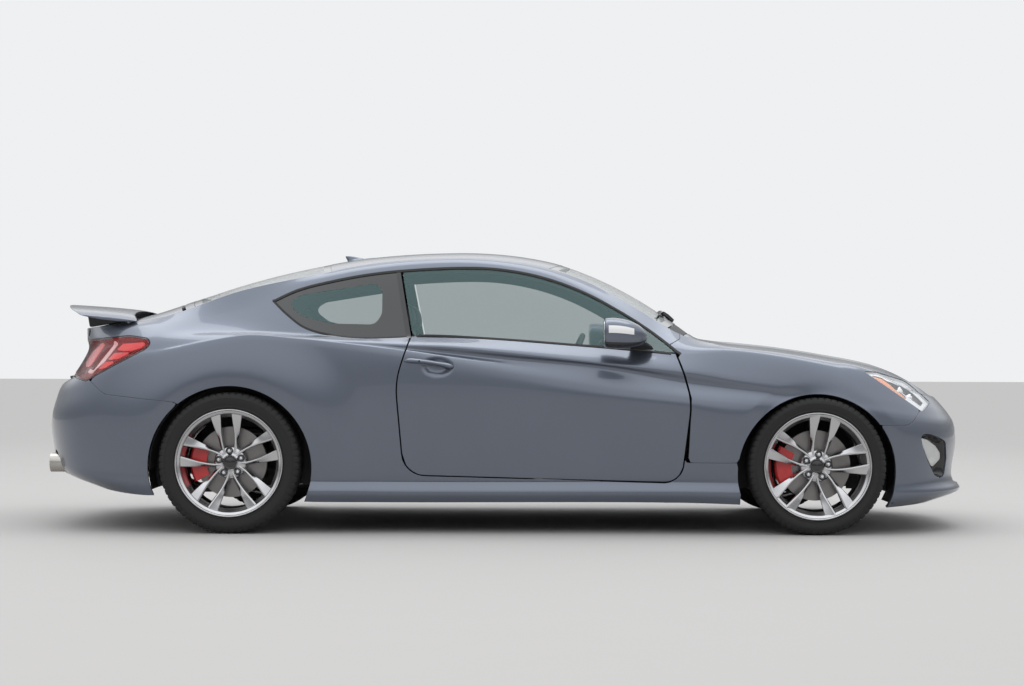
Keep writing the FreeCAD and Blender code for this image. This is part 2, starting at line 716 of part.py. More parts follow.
def build_side_glass():
    """Left door glass and quarter glass, cut from the side surface."""
    opening = prism(grow(window_outline(), -SHUT_GAP), 0, REACH_Y)
    foot_rows = sorted(WINDOW_FOOT)
    xs = spread(-446, 772, 12)
    tail = ([(x, along(foot_rows, x)[0] + 14) for x in xs]
            + [(x, along(foot_rows, x)[0] - GLASS_TAIL) for x in xs[::-1]])
    opening = opening.fuse(prism(tail, 0, REACH_Y))
    door_pane = side_keep(side_pane(GLASS, 2.0), split_region(True, SHUT_GAP / 2 + 1))
    door_pane = door_pane.common(opening)
    quarter = side_keep(side_pane(GLASS, 2.0), grow(window_outline(), -BOND_GAP))
    quarter = side_keep(quarter, split_region(False, SHUT_GAP / 2 + 1))
    return door_pane, quarter


def build_wing():
    """Left front wing."""
    us = spread(770, 1100, 3) + spread(1180, FRONT_CORNER_X, 6) + [
        FRONT_CORNER_X + k for k in (60, 140, 230, 330, 430, 530, 640)]
    vs = [0, 1, 2, 3, 3.5, 4, 4.5, 5, 6, 7, 8, 8.5, 9, 9.5, 10]
    skin = slab(side_point, us, vs, SKIN)
    skin = side_keep(skin, rounded(WING_EDGE), -TRIM_GAP / 2)
    skin = side_cut(skin, door_outline(DOOR_FRONT_GAP))
    skin = side_cut(skin, window_outline(), 2)
    skin = side_cut(skin, rounded(FRONT_BUMPER_EDGE), TRIM_GAP / 2)
    skin = side_cut(skin, rounded(HEADLAMP_EDGE), TRIM_GAP / 2)
    return skin.cut(both_arches()[0])


def whole_corner(ahead, vs, thickness, first=0.0, steps=12):
    """Wrap of one end of the car, from the left side round to the right."""
    start = FRONT_CORNER_X if ahead else REAR_CORNER_X
    sign = 1 if ahead else -1
    turns = spread(first, 1000.0, steps)
    half = [start + sign * t for t in turns]
    flat_half = len(half)

    def point(i, v):
        k = int(round(i))
        k = min(max(k, 0), 2 * flat_half - 2)
        left = k < flat_half
        p = side_point(half[k] if left else half[2 * flat_half - 2 - k], v)
        return p if left else V(p.x, -p.y, p.z)

    outer = []
    inner = []
    count = 2 * flat_half - 1
    for i in range(count):
        for v in vs:
            p = point(i, v)
            du = point(min(i + 1, count - 1), v) - point(max(i - 1, 0), v)
            low = max(v - 0.1, vs[0])
            high = min(v + 0.1, vs[-1])
            dv = point(i, high) - point(i, low)
            normal = du.cross(dv)
            normal.normalize()
            toward = V(sign * 0.6, p.y / BODY_WIDTH, 0.2)
            if normal.dot(toward) < 0:
                normal = normal * -1
            if v == RAIL:
                normal = top_normal(p.x, p.y)
            outer.append(p)
            inner.append(p - normal * thickness)
    return lattice(outer, inner, count, len(vs))


# Front mouth, fog lamps and rear details. Outlines in front view are rows y, z, radius.
MOUTH = [(-505, 222, 60), (505, 222, 60), (430, 500, 60), (-430, 500, 60)]
FOG_X = 2060.0
FOG_Y = 690.0
FOG_Z = 392.0
FOG_RADIUS = 60.0
FOG_TURN = 38.0
BAR_COUNT = 7
BEAM_X = (2125.0, 2150.0)
BAR_HEIGHT = 9.0
PLATE_RECESS = [(-270, 560, 24), (270, 560, 24), (250, 705, 24), (-250, 705, 24)]
EXHAUST_Y = 560.0
EXHAUST_Z = 322.0
EXHAUST_TIP_RADIUS = 48.0
EXHAUST_WALL = 4.0


def both_sides(cutter):
    """A cutter and its mirror image."""
    return [cutter, mirrored(cutter)]


def polygon_cylinder(radius, near, far, count=24):
    """Round piece at the left fog lamp, along the way that the lamp faces."""
    a = math.radians(FOG_TURN)
    way = V(math.cos(a), math.sin(a), 0)
    aside = V(-math.sin(a), math.cos(a), 0)
    up = V(0, 0, 1)
    start = V(FOG_X, FOG_Y, FOG_Z) + way * near
    points = [start + aside * radius * math.cos(2 * math.pi * k / count)
              + up * radius * math.sin(2 * math.pi * k / count) for k in range(count)]
    return Part.Face(Part.makePolygon(points + [points[0]])).extrude(way * (far - near))


def build_front_bumper():
    """Front bumper with its mouth and fog lamp pockets."""
    vs = [0, 1, 2, 3, 3.5, 4, 4.5, 5, 6, 7, 8, 9, 10]
    skin = whole_corner(True, vs, SKIN, first=120)
    outline = rounded(FRONT_BUMPER_EDGE)
    skin = skin.common(prism(grow(outline, -TRIM_GAP / 2), -REACH_Y, REACH_Y))
    lamp = prism(grow(rounded(HEADLAMP_EDGE), TRIM_GAP / 2), 0, REACH_Y)
    for cutter in both_sides(lamp) + both_sides(both_arches()[0]):
        skin = skin.cut(cutter)
    skin = skin.cut(prism(rounded(MOUTH), 1900, 2500, "x"))
    for cutter in both_sides(polygon_cylinder(FOG_RADIUS + BOND_GAP, -60, 160)):
        skin = skin.cut(cutter)
    return skin


def build_grille():
    """Slatted grille behind the mouth, with its frame."""
    frame_out = prism(grow(rounded(MOUTH), 12), 2168, 2186, "x")
    frame = frame_out.cut(prism(grow(rounded(MOUTH), -8), 2150, 2200, "x"))
    low = MOUTH[0][1]
    high = MOUTH[2][1]
    inner = prism(grow(rounded(MOUTH), -4), 2171, 2183, "x")
    bars = []
    for k in range(1, BAR_COUNT + 1):
        z = low + (high - low) * k / (BAR_COUNT + 1)
        bars.append(box(2171, 2183, -520, 520, z - BAR_HEIGHT / 2, z + BAR_HEIGHT / 2))
    for y in (-240, 0, 240):
        bars.append(box(2173, 2181, y - 5, y + 5, low, high))
    bars = [bar.common(inner) for bar in bars]
    bosses = [box(BEAM_X[1] + SEAT_GAP, 2172, y - 30, y + 30, 410, 450) for y in (-300, 300)]
    return frame.fuse(bars + bosses)


def build_rear_bumper():
    """Rear bumper with a plate recess and the cut-outs of the tail pipes."""
    vs = [0, 1, 2, 3, 3.5, 4, 4.5, 5, 6, 7]
    skin = whole_corner(False, vs, SKIN, first=0)
    outline = rounded(REAR_BUMPER_EDGE)
    skin = skin.common(prism(grow(outline, -TRIM_GAP / 2), -REACH_Y, REACH_Y))
    lamp = prism(grow(rounded(TAIL_LAMP_EDGE), TRIM_GAP / 2), LAMP_INNER_Y, REACH_Y)
    for cutter in both_sides(lamp) + both_sides(both_arches()[1]):
        skin = skin.cut(cutter)
    skin = skin.cut(prism(rounded(PLATE_RECESS), -2600, -2100, "x"))
    well = prism(grow(rounded(PLATE_RECESS), 8), -2262, -2232, "x")
    well = well.cut(prism(rounded(PLATE_RECESS), -2300, -2240, "x"))
    pipe = prism(disc_outline(EXHAUST_Y, EXHAUST_Z, EXHAUST_TIP_RADIUS + 14, 24), -2600, -2100, "x")
    for cutter in both_sides(pipe):
        skin = skin.cut(cutter)
    ledge = prism([(-2080, -LAMP_INNER_Y), (-2080, LAMP_INNER_Y), (-2185, LAMP_INNER_Y),
                   (-2220, 250), (-2228, 0), (-2220, -250), (-2185, -LAMP_INNER_Y)],
                  738, 748, "z")
    return skin.fuse([well, ledge])


def build_headlamp():
    """Left headlamp: lens and housing as one closed form that follows the skin."""
    us = [FRONT_CORNER_X + k for k in (0, 60, 140, 230, 330, 430, 530, 640, 760)]
    body = slab(side_point, us, [5.5, 6, 7, 8, 8.5, 9, 9.5, 10], LAMP_DEPTH, 1.0)
    return side_keep(body, rounded(HEADLAMP_EDGE), -TRIM_GAP / 2)


def build_tail_lamp():
    """Left tail lamp, round the corner to the lid."""
    us = [REAR_CORNER_X + 60, REAR_CORNER_X] + [REAR_CORNER_X - k for k in
                                                (80, 170, 270, 370, 480, 590, 700, 800)]
    body = slab(side_point, us, [4.5, 5, 6, 7, 8, 8.5, 9, 9.5], LAMP_DEPTH - 10, 1.0)
    body = side_keep(body, rounded(TAIL_LAMP_EDGE), -TRIM_GAP / 2)
    return body.cut(box(-2600, -1600, -50, LAMP_INNER_Y + SHUT_GAP, 0, 1500))


def top_slab(stations, sweep, thickness, inset, inside=0.0, cols=10, plumb=-9999.0):
    """Panel of the top, bowed forward by the sweep at each station, with plumb ends behind plumb."""
    outer = []
    inner = []
    for s in stations:
        bow = sweep(s) if callable(sweep) else sweep
        for w in spread(-1, 1, cols):
            x = s - bow * w * w
            edge = inset(x) if callable(inset) else inset
            y = w * max(rail_y(x) - edge, 4.0)
            normal = top_normal(x, y)
            if x < plumb:
                normal.x = 0
                normal.normalize()
            p = V(x, y, top_z(x, y))
            outer.append(p - normal * inside)
            inner.append(p - normal * (inside + thickness))
    return lattice(outer, inner, len(stations), cols + 1)


# Where the panels of the top begin and end, along the middle, and how far their ends bow
BONNET_BACK = 946.0
COWL_FRONT = 938.0
GLASS_FOOT = 868.0
COWL_BACK = 868.5
GLASS_HEAD = 288.5
ROOF_FRONT = 288.0
ROOF_BACK = -905.0
REAR_GLASS_HEAD = -905.5
REAR_GLASS_FOOT = -1600.0
DECK_FRONT = -1600.5
DECK_BACK = -1644.0
LID_FRONT = -1661.0
LID_BACK = TAIL_X + RAIL_REAR_END + SHUT_GAP
BOW_FRONT = 84.0
BOW_REAR = -70.0
BONNET_AXIS = (876.0, 960.0)
LID_AXIS = (-1655.0, 1106.0)
BONNET_HINGE_Y = 600.0
LID_HINGE_Y = 130.0
LID_RING_RADIUS = 6.0
LID_PIN_RADIUS = 3.5
LUG_HALF = 6.0
CHEEK = 5.0
SPOILER_HALF_WIDTH = 720.0
SPOILER_FOOT_Y = 470.0


def rear_bow(s):
    """Bow of the rear window stations, growing from the roof's end."""
    return BOW_REAR * min(max((ROOF_BACK + 200 - s) / 400.0, 0.0), 1.0)


def roof_bow(s):
    """Bow over the roof between the two screens."""
    share = (s - ROOF_BACK) / (ROOF_FRONT - ROOF_BACK)
    return BOW_FRONT * share + rear_bow(ROOF_BACK) * (1 - share)


def build_bonnet():
    """Bonnet with its two hinge lugs."""
    def bow(s):
        return BOW_FRONT * min(max((1150 - s) / (1150 - BONNET_BACK), 0.0), 1.0)
    tip = NOSE_X - RAIL_FRONT_END
    stations = spread(BONNET_BACK, 1150, 3) + spread(1250, FRONT_CORNER_X, 4) + [
        1700, 1800, 1890, 1970, 2040, 2095, 2130, tip - 15]
    panel = top_slab(stations, bow, BONNET_WALL, SHUT_GAP, plumb=BONNET_BACK + 100)
    x, z = BONNET_AXIS
    for y in (BONNET_HINGE_Y, -BONNET_HINGE_Y):
        panel = panel.cut(box(x - 20, x + 10, y - 17, y + 17, z - 60, z + 60))
        lug = box(x, x + 34, y - LUG_HALF, y + LUG_HALF, z - 22, z - 4)
        panel = panel.fuse([lug, hinge_ring(x, y, z)]).cut(hinge_bore(x, y, z))
    return panel


def hinge_ring(x, y, z):
    """Ring of a lid hinge, across the car."""
    return Part.makeCylinder(LID_RING_RADIUS, 2 * LUG_HALF, V(x, y - LUG_HALF, z), V(0, 1, 0))


def hinge_bore(x, y, z):
    """Bore for the pin of a lid hinge."""
    return Part.makeCylinder(LID_PIN_RADIUS + SEAT_GAP, 60, V(x, y - 30, z), V(0, 1, 0))


def hinge_cheeks(x, y, z, back, front, low):
    """Pin of a lid hinge between two cheeks."""
    reach = LUG_HALF + SEAT_GAP
    pin = Part.makeCylinder(LID_PIN_RADIUS, 2 * (reach + CHEEK), V(x, y - reach - CHEEK, z),
                            V(0, 1, 0))
    cheeks = [box(back, front, y + a, y + a + CHEEK, low, z + LID_PIN_RADIUS)
              for a in (reach, -reach - CHEEK)]
    return pin.fuse(cheeks)


def build_roof():
    """Roof panel."""
    return top_slab(spread(ROOF_BACK, ROOF_FRONT, 12), roof_bow, ROOF_WALL, BOND_GAP)


def build_windscreen():
    """Windscreen glass."""
    return top_slab(spread(GLASS_HEAD, GLASS_FOOT, 7), BOW_FRONT, GLASS, BOND_GAP, 2.0)


def build_rear_window():
    """Rear window glass."""
    return top_slab(spread(REAR_GLASS_FOOT, REAR_GLASS_HEAD, 8), rear_bow, GLASS, BOND_GAP, 2.0)


def build_cowl():
    """Panel between windscreen and bonnet, with the bonnet's hinge cheeks."""
    panel = top_slab([COWL_BACK, (COWL_BACK + COWL_FRONT) / 2, COWL_FRONT], BOW_FRONT,
                     12.0, BOND_GAP, 4.0)
    x, z = BONNET_AXIS
    for y in (BONNET_HINGE_Y, -BONNET_HINGE_Y):
        panel = panel.cut(box(x - 14, x + 40, y - LUG_HALF - 0.3, y + LUG_HALF + 0.3, 800, 1100))
        panel = panel.fuse(hinge_cheeks(x, y, z, x - 26, x + 4, z - 22))
    return panel


def build_deck():
    """Narrow body panel between rear window and lid, with the lid's hinge cheeks."""
    panel = top_slab([DECK_BACK, DECK_FRONT], BOW_REAR, 20.0, BOND_GAP)
    x, z = LID_AXIS
    for y in (LID_HINGE_Y, -LID_HINGE_Y):
        panel = panel.fuse(hinge_cheeks(x, y, z, x - 3.5, x + 20, z - 12))
    return panel


def build_lid():
    """Boot lid: the top skin and the upright wall between the tail lamps."""
    def bow(s):
        return BOW_REAR * min(max((s + 1850) / (LID_FRONT + 1850), 0.0), 1.0)
    stations = [LID_BACK, -2120, -2080, -2020, -1940, -1850, -1750, LID_FRONT]
    top = top_slab(stations, bow, LID_WALL, SHUT_GAP)
    wall = whole_corner(False, [6, 7, 8, 9, RAIL - 0.03], LID_WALL, first=500, steps=8)
    wall = wall.common(prism([(-2500, 764), (-1900, 764), (-1900, 1200), (-2500, 1200)],
                             -LID_HALF_WIDTH, LID_HALF_WIDTH))
    shape = top.fuse(wall)
    x, z = LID_AXIS
    for y in (LID_HINGE_Y, -LID_HINGE_Y):
        shape = shape.cut(box(x - 12, x + 40, y - 16, y + 16, z - 60, z + 60))
        lug = box(x - 30, x, y - LUG_HALF, y + LUG_HALF, z - 14, z - 2)
        shape = shape.fuse([lug, hinge_ring(x, y, z)]).cut(hinge_bore(x, y, z))
    return shape


def build_spoiler():
    """Boot lid spoiler: a bowed blade on two feet, its ends turned down to the lid."""
    rows = [(-1.0, -1800, -2086, 1040, 12), (-0.94, -1812, -2118, 1058, 20),
            (-0.8, -1836, -2160, 1074, 26), (-0.5, -1862, -2212, 1092, 29),
            (-0.2, -1874, -2244, 1102, 30), (0.2, -1874, -2244, 1102, 30),
            (0.5, -1862, -2212, 1092, 29), (0.8, -1836, -2160, 1074, 26),
            (0.94, -1812, -2118, 1058, 20), (1.0, -1800, -2086, 1040, 12)]
    loops = []
    for w, front, back, z, thick in rows:
        y = w * SPOILER_HALF_WIDTH
        chord = front - back
        loops.append([V(front, y, z - 24), V(front - chord * 0.2, y, z - 12),
                      V(front - chord * 0.45, y, z - 3), V(front - chord * 0.75, y, z + 4),
                      V(back, y, z + 9), V(back + 6, y, z + 9 - thick * 0.35),
                      V(back + chord * 0.3, y, z - 4 - thick * 0.8),
                      V(front - chord * 0.3, y, z - 18 - thick * 0.6)])
    blade = rings(loops)
    feet = []
    for side in (1, -1):
        y = side * SPOILER_FOOT_Y
        feet.append(prism([(-2085, 985), (-1900, 1015), (-1900, 1066), (-2100, 1076)],
                          y - 22, y + 22))
    return blade.fuse(feet)


# Wheels, brakes and what carries them. Profiles are rows radius, y from the wheel's middle,
# with y pointing out of the car.
TYRE_WALL = 11.0
BEAD_RADIUS = 241.3
RIM_HALF_FRONT = 108.0
RIM_HALF_REAR = 118.0
SPOKE_PAIRS = 5
SPOKE_PLAN = [(46, 14), (150, 22), (238, 33), (238, 80), (150, 50), (46, 34)]
SPOKE_DISH = [(24, 60), (80, 66), (150, 82), (226, 99), (237, 100), (237, 78), (150, 58),
              (80, 40), (24, 34)]
HUB_FACE = 30.0
HUB_RADIUS = 78.0
CAP_RADIUS = 33.0
NUT_BORE = 13.0
FRONT_SPOKE_TURN = 81.0
REAR_SPOKE_TURN = 94.0
DISC_BACK = -22.0
DISC_FRONT = 8.0
STUB_RADIUS = 19.0
CARRIER_RADIUS = 44.0
CALIPER_MIDDLE = 180.0
CALIPER_SPREAD = 58.0
BALL_JOINT = (735.0, 190.0)
FOOT_RADIUS = 16.0
FOOT_RISE = 9.0
CUP_RADIUS = 22.0
STRUT_FOOT = (652.0, 400.0)
STRUT_TOP = (590.0, 796.0)
STRUT_RADIUS = 23.0
SPRING_RADIUS = 62.0
SPRING_TURNS = 4
REAR_CRADLE_Y = 440.0
DRIVE_HALF = 110.0
DRIVE_NOSE = 240.0
PROPELLER_FRONT_Z = 290.0


def build_tyre(axle_x, axle_z, mid_y, radius, width, rim_half):
    """Hollow tyre seated on the rim."""
    half = width / 2
    bead = BEAD_RADIUS + SEAT_GAP
    outer = [(bead, rim_half - 12), (RIM_LIP_RADIUS - 8, rim_half - 9),
             (RIM_LIP_RADIUS + 8, half - 5), (radius - 42, half), (radius - 20, half - 3),
             (radius - 7, half - 12), (radius - 1.5, half - 26)]
    inner = [(radius - 16, half - 30), (radius - 24, half - 16), (radius - 44, half - TYRE_WALL),
             (RIM_LIP_RADIUS + 4, half - TYRE_WALL - 5), (bead, rim_half - 26)]
    profile = outer + [(r, -y) for r, y in reversed(outer)]
    profile = profile + [(r, -y) for r, y in reversed(inner)] + inner
    return turned([(r, mid_y + y) for r, y in profile], axle_x, axle_z)


def build_rim(axle_x, axle_z, mid_y, rim_half, first_spoke):
    """Rim with five pairs of spokes, a pair on each wheel nut, and a plain cap."""
    seat = BEAD_RADIUS
    half = rim_half
    lip = RIM_LIP_RADIUS
    barrel = [(lip, half - 4), (lip, half + 2), (lip - 6, half + 4), (seat - 5, half - 2),
              (seat - 8, half - 24), (seat - 22, half - 52), (seat - 26, -30),
              (seat - 8, -half + 22), (seat - 8, -half + 2), (lip - 5, -half - 4), (lip, -half - 2),
              (lip, -half + 4), (seat, -half + 9), (seat, -half + 26), (seat - 18, -28),
              (seat - 18, 34), (seat, half - 28), (seat, half - 9)]
    shape = turned([(r, mid_y + y) for r, y in barrel], axle_x, axle_z)
    dish = turned([(r, mid_y + y) for r, y in SPOKE_DISH], axle_x, axle_z)
    cutters = []
    for k in range(SPOKE_PAIRS):
        turn = math.radians(first_spoke + 360.0 / SPOKE_PAIRS * k)
        c, s = math.cos(turn), math.sin(turn)
        for side in (1, -1):
            plan = [(axle_x + a * c - side * b * s, axle_z + a * s + side * b * c)
                    for a, b in SPOKE_PLAN]
            cutters.append(prism(plan, mid_y, mid_y + 140))
    spokes = dish.common(cutters[0].fuse(cutters[1:]))
    hub = turned([(0, mid_y + HUB_FACE), (HUB_RADIUS, mid_y + HUB_FACE),
                  (HUB_RADIUS, mid_y + 58), (HUB_RADIUS - 8, mid_y + 66),
                  (CAP_RADIUS, mid_y + 62), (CAP_RADIUS, mid_y + 72), (CAP_RADIUS - 6, mid_y + 76),
                  (0, mid_y + 78)], axle_x, axle_z)
    shape = shape.fuse([spokes, hub])
    bores = []
    for k in range(SPOKE_PAIRS):
        turn = math.radians(first_spoke + 360.0 / SPOKE_PAIRS * k)
        x = axle_x + NUT_CIRCLE / 2 * math.cos(turn)
        z = axle_z + NUT_CIRCLE / 2 * math.sin(turn)
        bores.append(Part.makeCylinder(NUT_BORE, 60, V(x, mid_y + 46, z), V(0, 1, 0)))
    return shape.cut(bores)


def build_disc(axle_x, axle_z, mid_y):
    """Brake disc with its hat and the stub that turns in the hub carrier."""
    profile = [(0, HUB_FACE), (72, HUB_FACE), (72, DISC_FRONT), (DISC_RADIUS, DISC_FRONT),
               (DISC_RADIUS, DISC_FRONT - 11), (112, DISC_FRONT - 11), (112, DISC_BACK + 11),
               (DISC_RADIUS, DISC_BACK + 11), (DISC_RADIUS, DISC_BACK), (78, DISC_BACK),
               (64, HUB_FACE - 9), (STUB_RADIUS, HUB_FACE - 9), (STUB_RADIUS, -78), (0, -78)]
    return turned([(r, mid_y + y) for r, y in profile], axle_x, axle_z)


def build_caliper(axle_x, axle_z, mid_y):
    """Caliper that straddles the disc on the rearward side."""
    back = DISC_BACK - 30
    front = DISC_FRONT + 26
    profile = [(118, back), (188, back), (198, back + 12), (198, front - 12), (188, front),
               (118, front), (118, DISC_FRONT + 5), (DISC_RADIUS + 6, DISC_FRONT + 5),
               (DISC_RADIUS + 6, DISC_BACK - 5), (118, DISC_BACK - 5)]
    return turned([(r, mid_y + y) for r, y in profile], axle_x, axle_z, CALIPER_SPREAD,
                  CALIPER_MIDDLE - CALIPER_SPREAD / 2)


def carrier(axle_x, axle_z, mid_y):
    """Bored hub carrier behind the disc."""
    ring = turned([(STUB_RADIUS + SEAT_GAP, mid_y - 78), (CARRIER_RADIUS, mid_y - 78),
                   (CARRIER_RADIUS, mid_y - 40), (CARRIER_RADIUS - 10, mid_y - 28),
                   (STUB_RADIUS + SEAT_GAP, mid_y - 28)], axle_x, axle_z)
    bridge = prism([(axle_x - 190, axle_z - 40), (axle_x - 40, axle_z - 34),
                    (axle_x - 40, axle_z + 34), (axle_x - 190, axle_z + 40)],
                   mid_y - 64, mid_y + DISC_BACK - 30)
    return ring.fuse(bridge)


def leg(start, end, radius):
    """Round bar from one point to another."""
    way = end - start
    return Part.makeCylinder(radius, way.Length, start, way)


def steer_way():
    """Direction of the left steering axis, from the ball joint to the strut's top."""
    way = V(0, STRUT_TOP[0] - BALL_JOINT[0], STRUT_TOP[1] - BALL_JOINT[1])
    way.normalize()
    return way


def build_front_knuckle():
    """Left front knuckle with the strut that stands on it and turns with it."""
    x = FRONT_AXLE_X
    z = TYRE_RADIUS_FRONT
    y = FRONT_TRACK / 2
    shape = carrier(x, z, y)
    ball = V(x, BALL_JOINT[0], BALL_JOINT[1])
    foot = V(x, STRUT_FOOT[0], STRUT_FOOT[1])
    top = V(x, STRUT_TOP[0], STRUT_TOP[1])
    way = top - foot
    way.normalize()
    pieces = [leg(ball + steer_way() * FOOT_RISE, ball + steer_way() * 40, FOOT_RADIUS),
              leg(ball + V(0, 0, 28), V(x, y - 66, z), 17),
              leg(V(x, y - 70, z + 30), foot + way * 30, 19),
              leg(foot, top - way * 20, STRUT_RADIUS)]
    loops = []
    low = 300.0
    high = way.dot(top - foot) - 34
    steps = SPRING_TURNS * 4
    for k in range(steps + 1):
        r = SPRING_RADIUS - (10 if k % 4 == 2 else 3 if k % 2 else 0)
        loops.append((r, low + (high - low) * k / steps))
    rows = [(STRUT_RADIUS - 4, low)] + loops + [(STRUT_RADIUS - 4, high)]
    across = V(1, 0, 0)
    points = [foot + way * h + across * r for r, h in rows]
    spring = Part.Face(Part.makePolygon(points + [points[0]])).revolve(foot, way, 360)
    pieces.append(spring)
    return shape.fuse(pieces).cut(stub_bore(x, y, z))


def stub_bore(x, y, z):
    """Clear bore for the turning stub through a hub carrier."""
    return Part.makeCylinder(STUB_RADIUS + SEAT_GAP, 90, V(x, y - 79, z), V(0, 1, 0))


def build_rear_knuckle():
    """Left rear hub carrier with its links."""
    x = REAR_AXLE_X
    z = TYRE_RADIUS_REAR
    y = REAR_TRACK / 2
    shape = carrier(x, z, y)
    links = [leg(V(x - 20, y - 66, z - 20), V(x - 20, y - 66, z - 120), 15),
             leg(V(x - 20, y - 66, z - 112), V(x - 90, REAR_CRADLE_Y - 8, z - 92), 15),
             leg(V(x + 20, y - 66, z + 10), V(x + 20, y - 70, z + 130), 15),
             leg(V(x + 20, y - 70, z + 124), V(x + 120, REAR_CRADLE_Y - 8, z - 88), 14),
             leg(V(x + 40, y - 62, z - 10), V(x + 330, 560, z - 90), 16),
             leg(V(x + 24, y - 66, z), V(x + 10, y - 66, z), 20)]
    cradle = box(x - 500, x + 500, 0, REAR_CRADLE_Y + SEAT_GAP, 0, 600)
    return shape.fuse(links).cut([cradle, stub_bore(x, y + 0.0, z), stub_bore(x, y - 20, z)])


LINER_WALL = 6.0
FRONT_WELL_Y = (486.0, 862.0)
REAR_WELL_Y = (575.0, 815.0)
REAR_LINER_RADIUS = 396.0
FLOOR_Z = 172.0
FLOOR_WALL = 20.0
FLOOR_HALF_WIDTH = 689.7
TUNNEL_HALF_WIDTH = 130.0
TUNNEL_Z = 384.0
REAR_SEAT_Z = 390.0
BOOT_FLOOR_Z = 470.0
BOOT_X = (-1735.0, -1060.0)
WELL_Z = 290.0
BOOT_WELL_Y = 430.0
BULKHEAD_X = 905.0
RAIL_Y = (400.0, 470.0)
RAIL_Z = (380.0, 480.0)
ENGINE_X = (950.0, 1560.0)
ENGINE_Z = (250.0, 770.0)
ENGINE_HALF = 290.0
PIPE_RADIUS = 25.0


def plate(path, thickness, y0, y1):
    """Bent plate: a side view path of x, z with a thickness, from y0 to y1."""
    off = []
    count = len(path)
    for i in range(count):
        before = path[max(i - 1, 0)]
        here = path[i]
        after = path[min(i + 1, count - 1)]
        n1 = side_normal(before, here, 1.0) if i > 0 else side_normal(here, after, 1.0)
        n2 = side_normal(here, after, 1.0) if i < count - 1 else n1
        mx, mz = n1[0] + n2[0], n1[1] + n2[1]
        length = math.hypot(mx, mz)
        mx, mz = mx / length, mz / length
        lean = mx * n1[0] + mz * n1[1]
        off.append((here[0] + mx * thickness / lean, here[1] + mz * thickness / lean))
    return prism(path + off[::-1], y0, y1)


def liner(cx, cz, radius, y0, y1, low):
    """Wheel arch liner, open below, with a wall on its inner side."""
    ring = prism(disc_outline(cx, cz, radius + LINER_WALL, 36), y0, y1)
    ring = ring.cut(prism(disc_outline(cx, cz, radius, 36), y0 + LINER_WALL, y1 + 10))
    return ring.cut(box(cx - 800, cx + 800, y0 - 10, y1 + 10, -300, low))


def build_front_structure():
    """Rails, strut towers, arch liners, radiator and bumper beam ahead of the bulkhead."""
    x = FRONT_AXLE_X
    pieces = []
    for side in (1, -1):
        well = liner(x, ARCH_Z_FRONT, LINER_RADIUS, FRONT_WELL_Y[0], FRONT_WELL_Y[1], 200)
        well = well.cut(box(x - 200, x + 200, FRONT_WELL_Y[0] - 10, FRONT_WELL_Y[0] + 10, 100, 430))
        well = well.cut(box(x - 95, x + 95, FRONT_WELL_Y[0] + 10, 700, 620, 760))
        high = STRUT_TOP[1]
        tower = prism([(x - 112, 690), (x + 112, 690), (x + 88, high + 5), (x - 88, high + 5)],
                      FRONT_WELL_Y[0], 698)
        hollow = prism([(x - 95, 640), (x + 95, 640), (x + 78, high - 4), (x - 78, high - 4)],
                       FRONT_WELL_Y[0] + 10, 688)
        well = well.fuse(tower).cut(hollow)
        rail = box(BULKHEAD_X + SEAT_GAP, 2130, RAIL_Y[0], RAIL_Y[1], RAIL_Z[0], RAIL_Z[1])
        brace = box(x - 60, x + 60, RAIL_Y[1] - 5, FRONT_WELL_Y[0] + 4, 440, 470)
        well = well.cut(box(x + 290, x + 500, 822, 900, 0, 900))
        half = well.fuse([rail, brace])
        pieces.append(half if side == 1 else mirrored(half))
    cross = [box(2030, 2085, -360, 360, 190, 600),
             box(2028, 2100, -RAIL_Y[1], RAIL_Y[1], 390, 470),
             box(BEAM_X[0], BEAM_X[1], -500, 500, 385, 475),
             box(1960, 2090, -RAIL_Y[1], RAIL_Y[1], 160, 172),
             box(2060, 2090, -340, 340, 165, 205)]
    return pieces[0].fuse([pieces[1]] + cross)


def build_front_cradle():
    """Front subframe with lower arms out to the ball joints."""
    x = FRONT_AXLE_X
    shape = box(x - 160, x + 160, -330, 330, 175, 225)
    shape = shape.cut(box(x - 110, x + 110, -280, 280, 100, 300))
    pieces = []
    for side in (1, -1):
        ball = V(x, side * BALL_JOINT[0], BALL_JOINT[1])
        way = V(0, side * steer_way().y, steer_way().z)
        for shift in (-125, 125):
            pieces.append(leg(V(x + shift, side * 320, 198), ball - way * 13, 13))
        pieces.append(leg(ball - way * 26, ball + way * (FOOT_RISE - SEAT_GAP), CUP_RADIUS))
        foot = box(x - 150, x - 110, 300, 420, 190, 225)
        post = box(x - 150, x - 110, 390, 420, 190, RAIL_Z[0] - SEAT_GAP)
        mount = foot.fuse(post)
        pieces.append(mount if side == 1 else mirrored(mount))
    return shape.fuse(pieces)


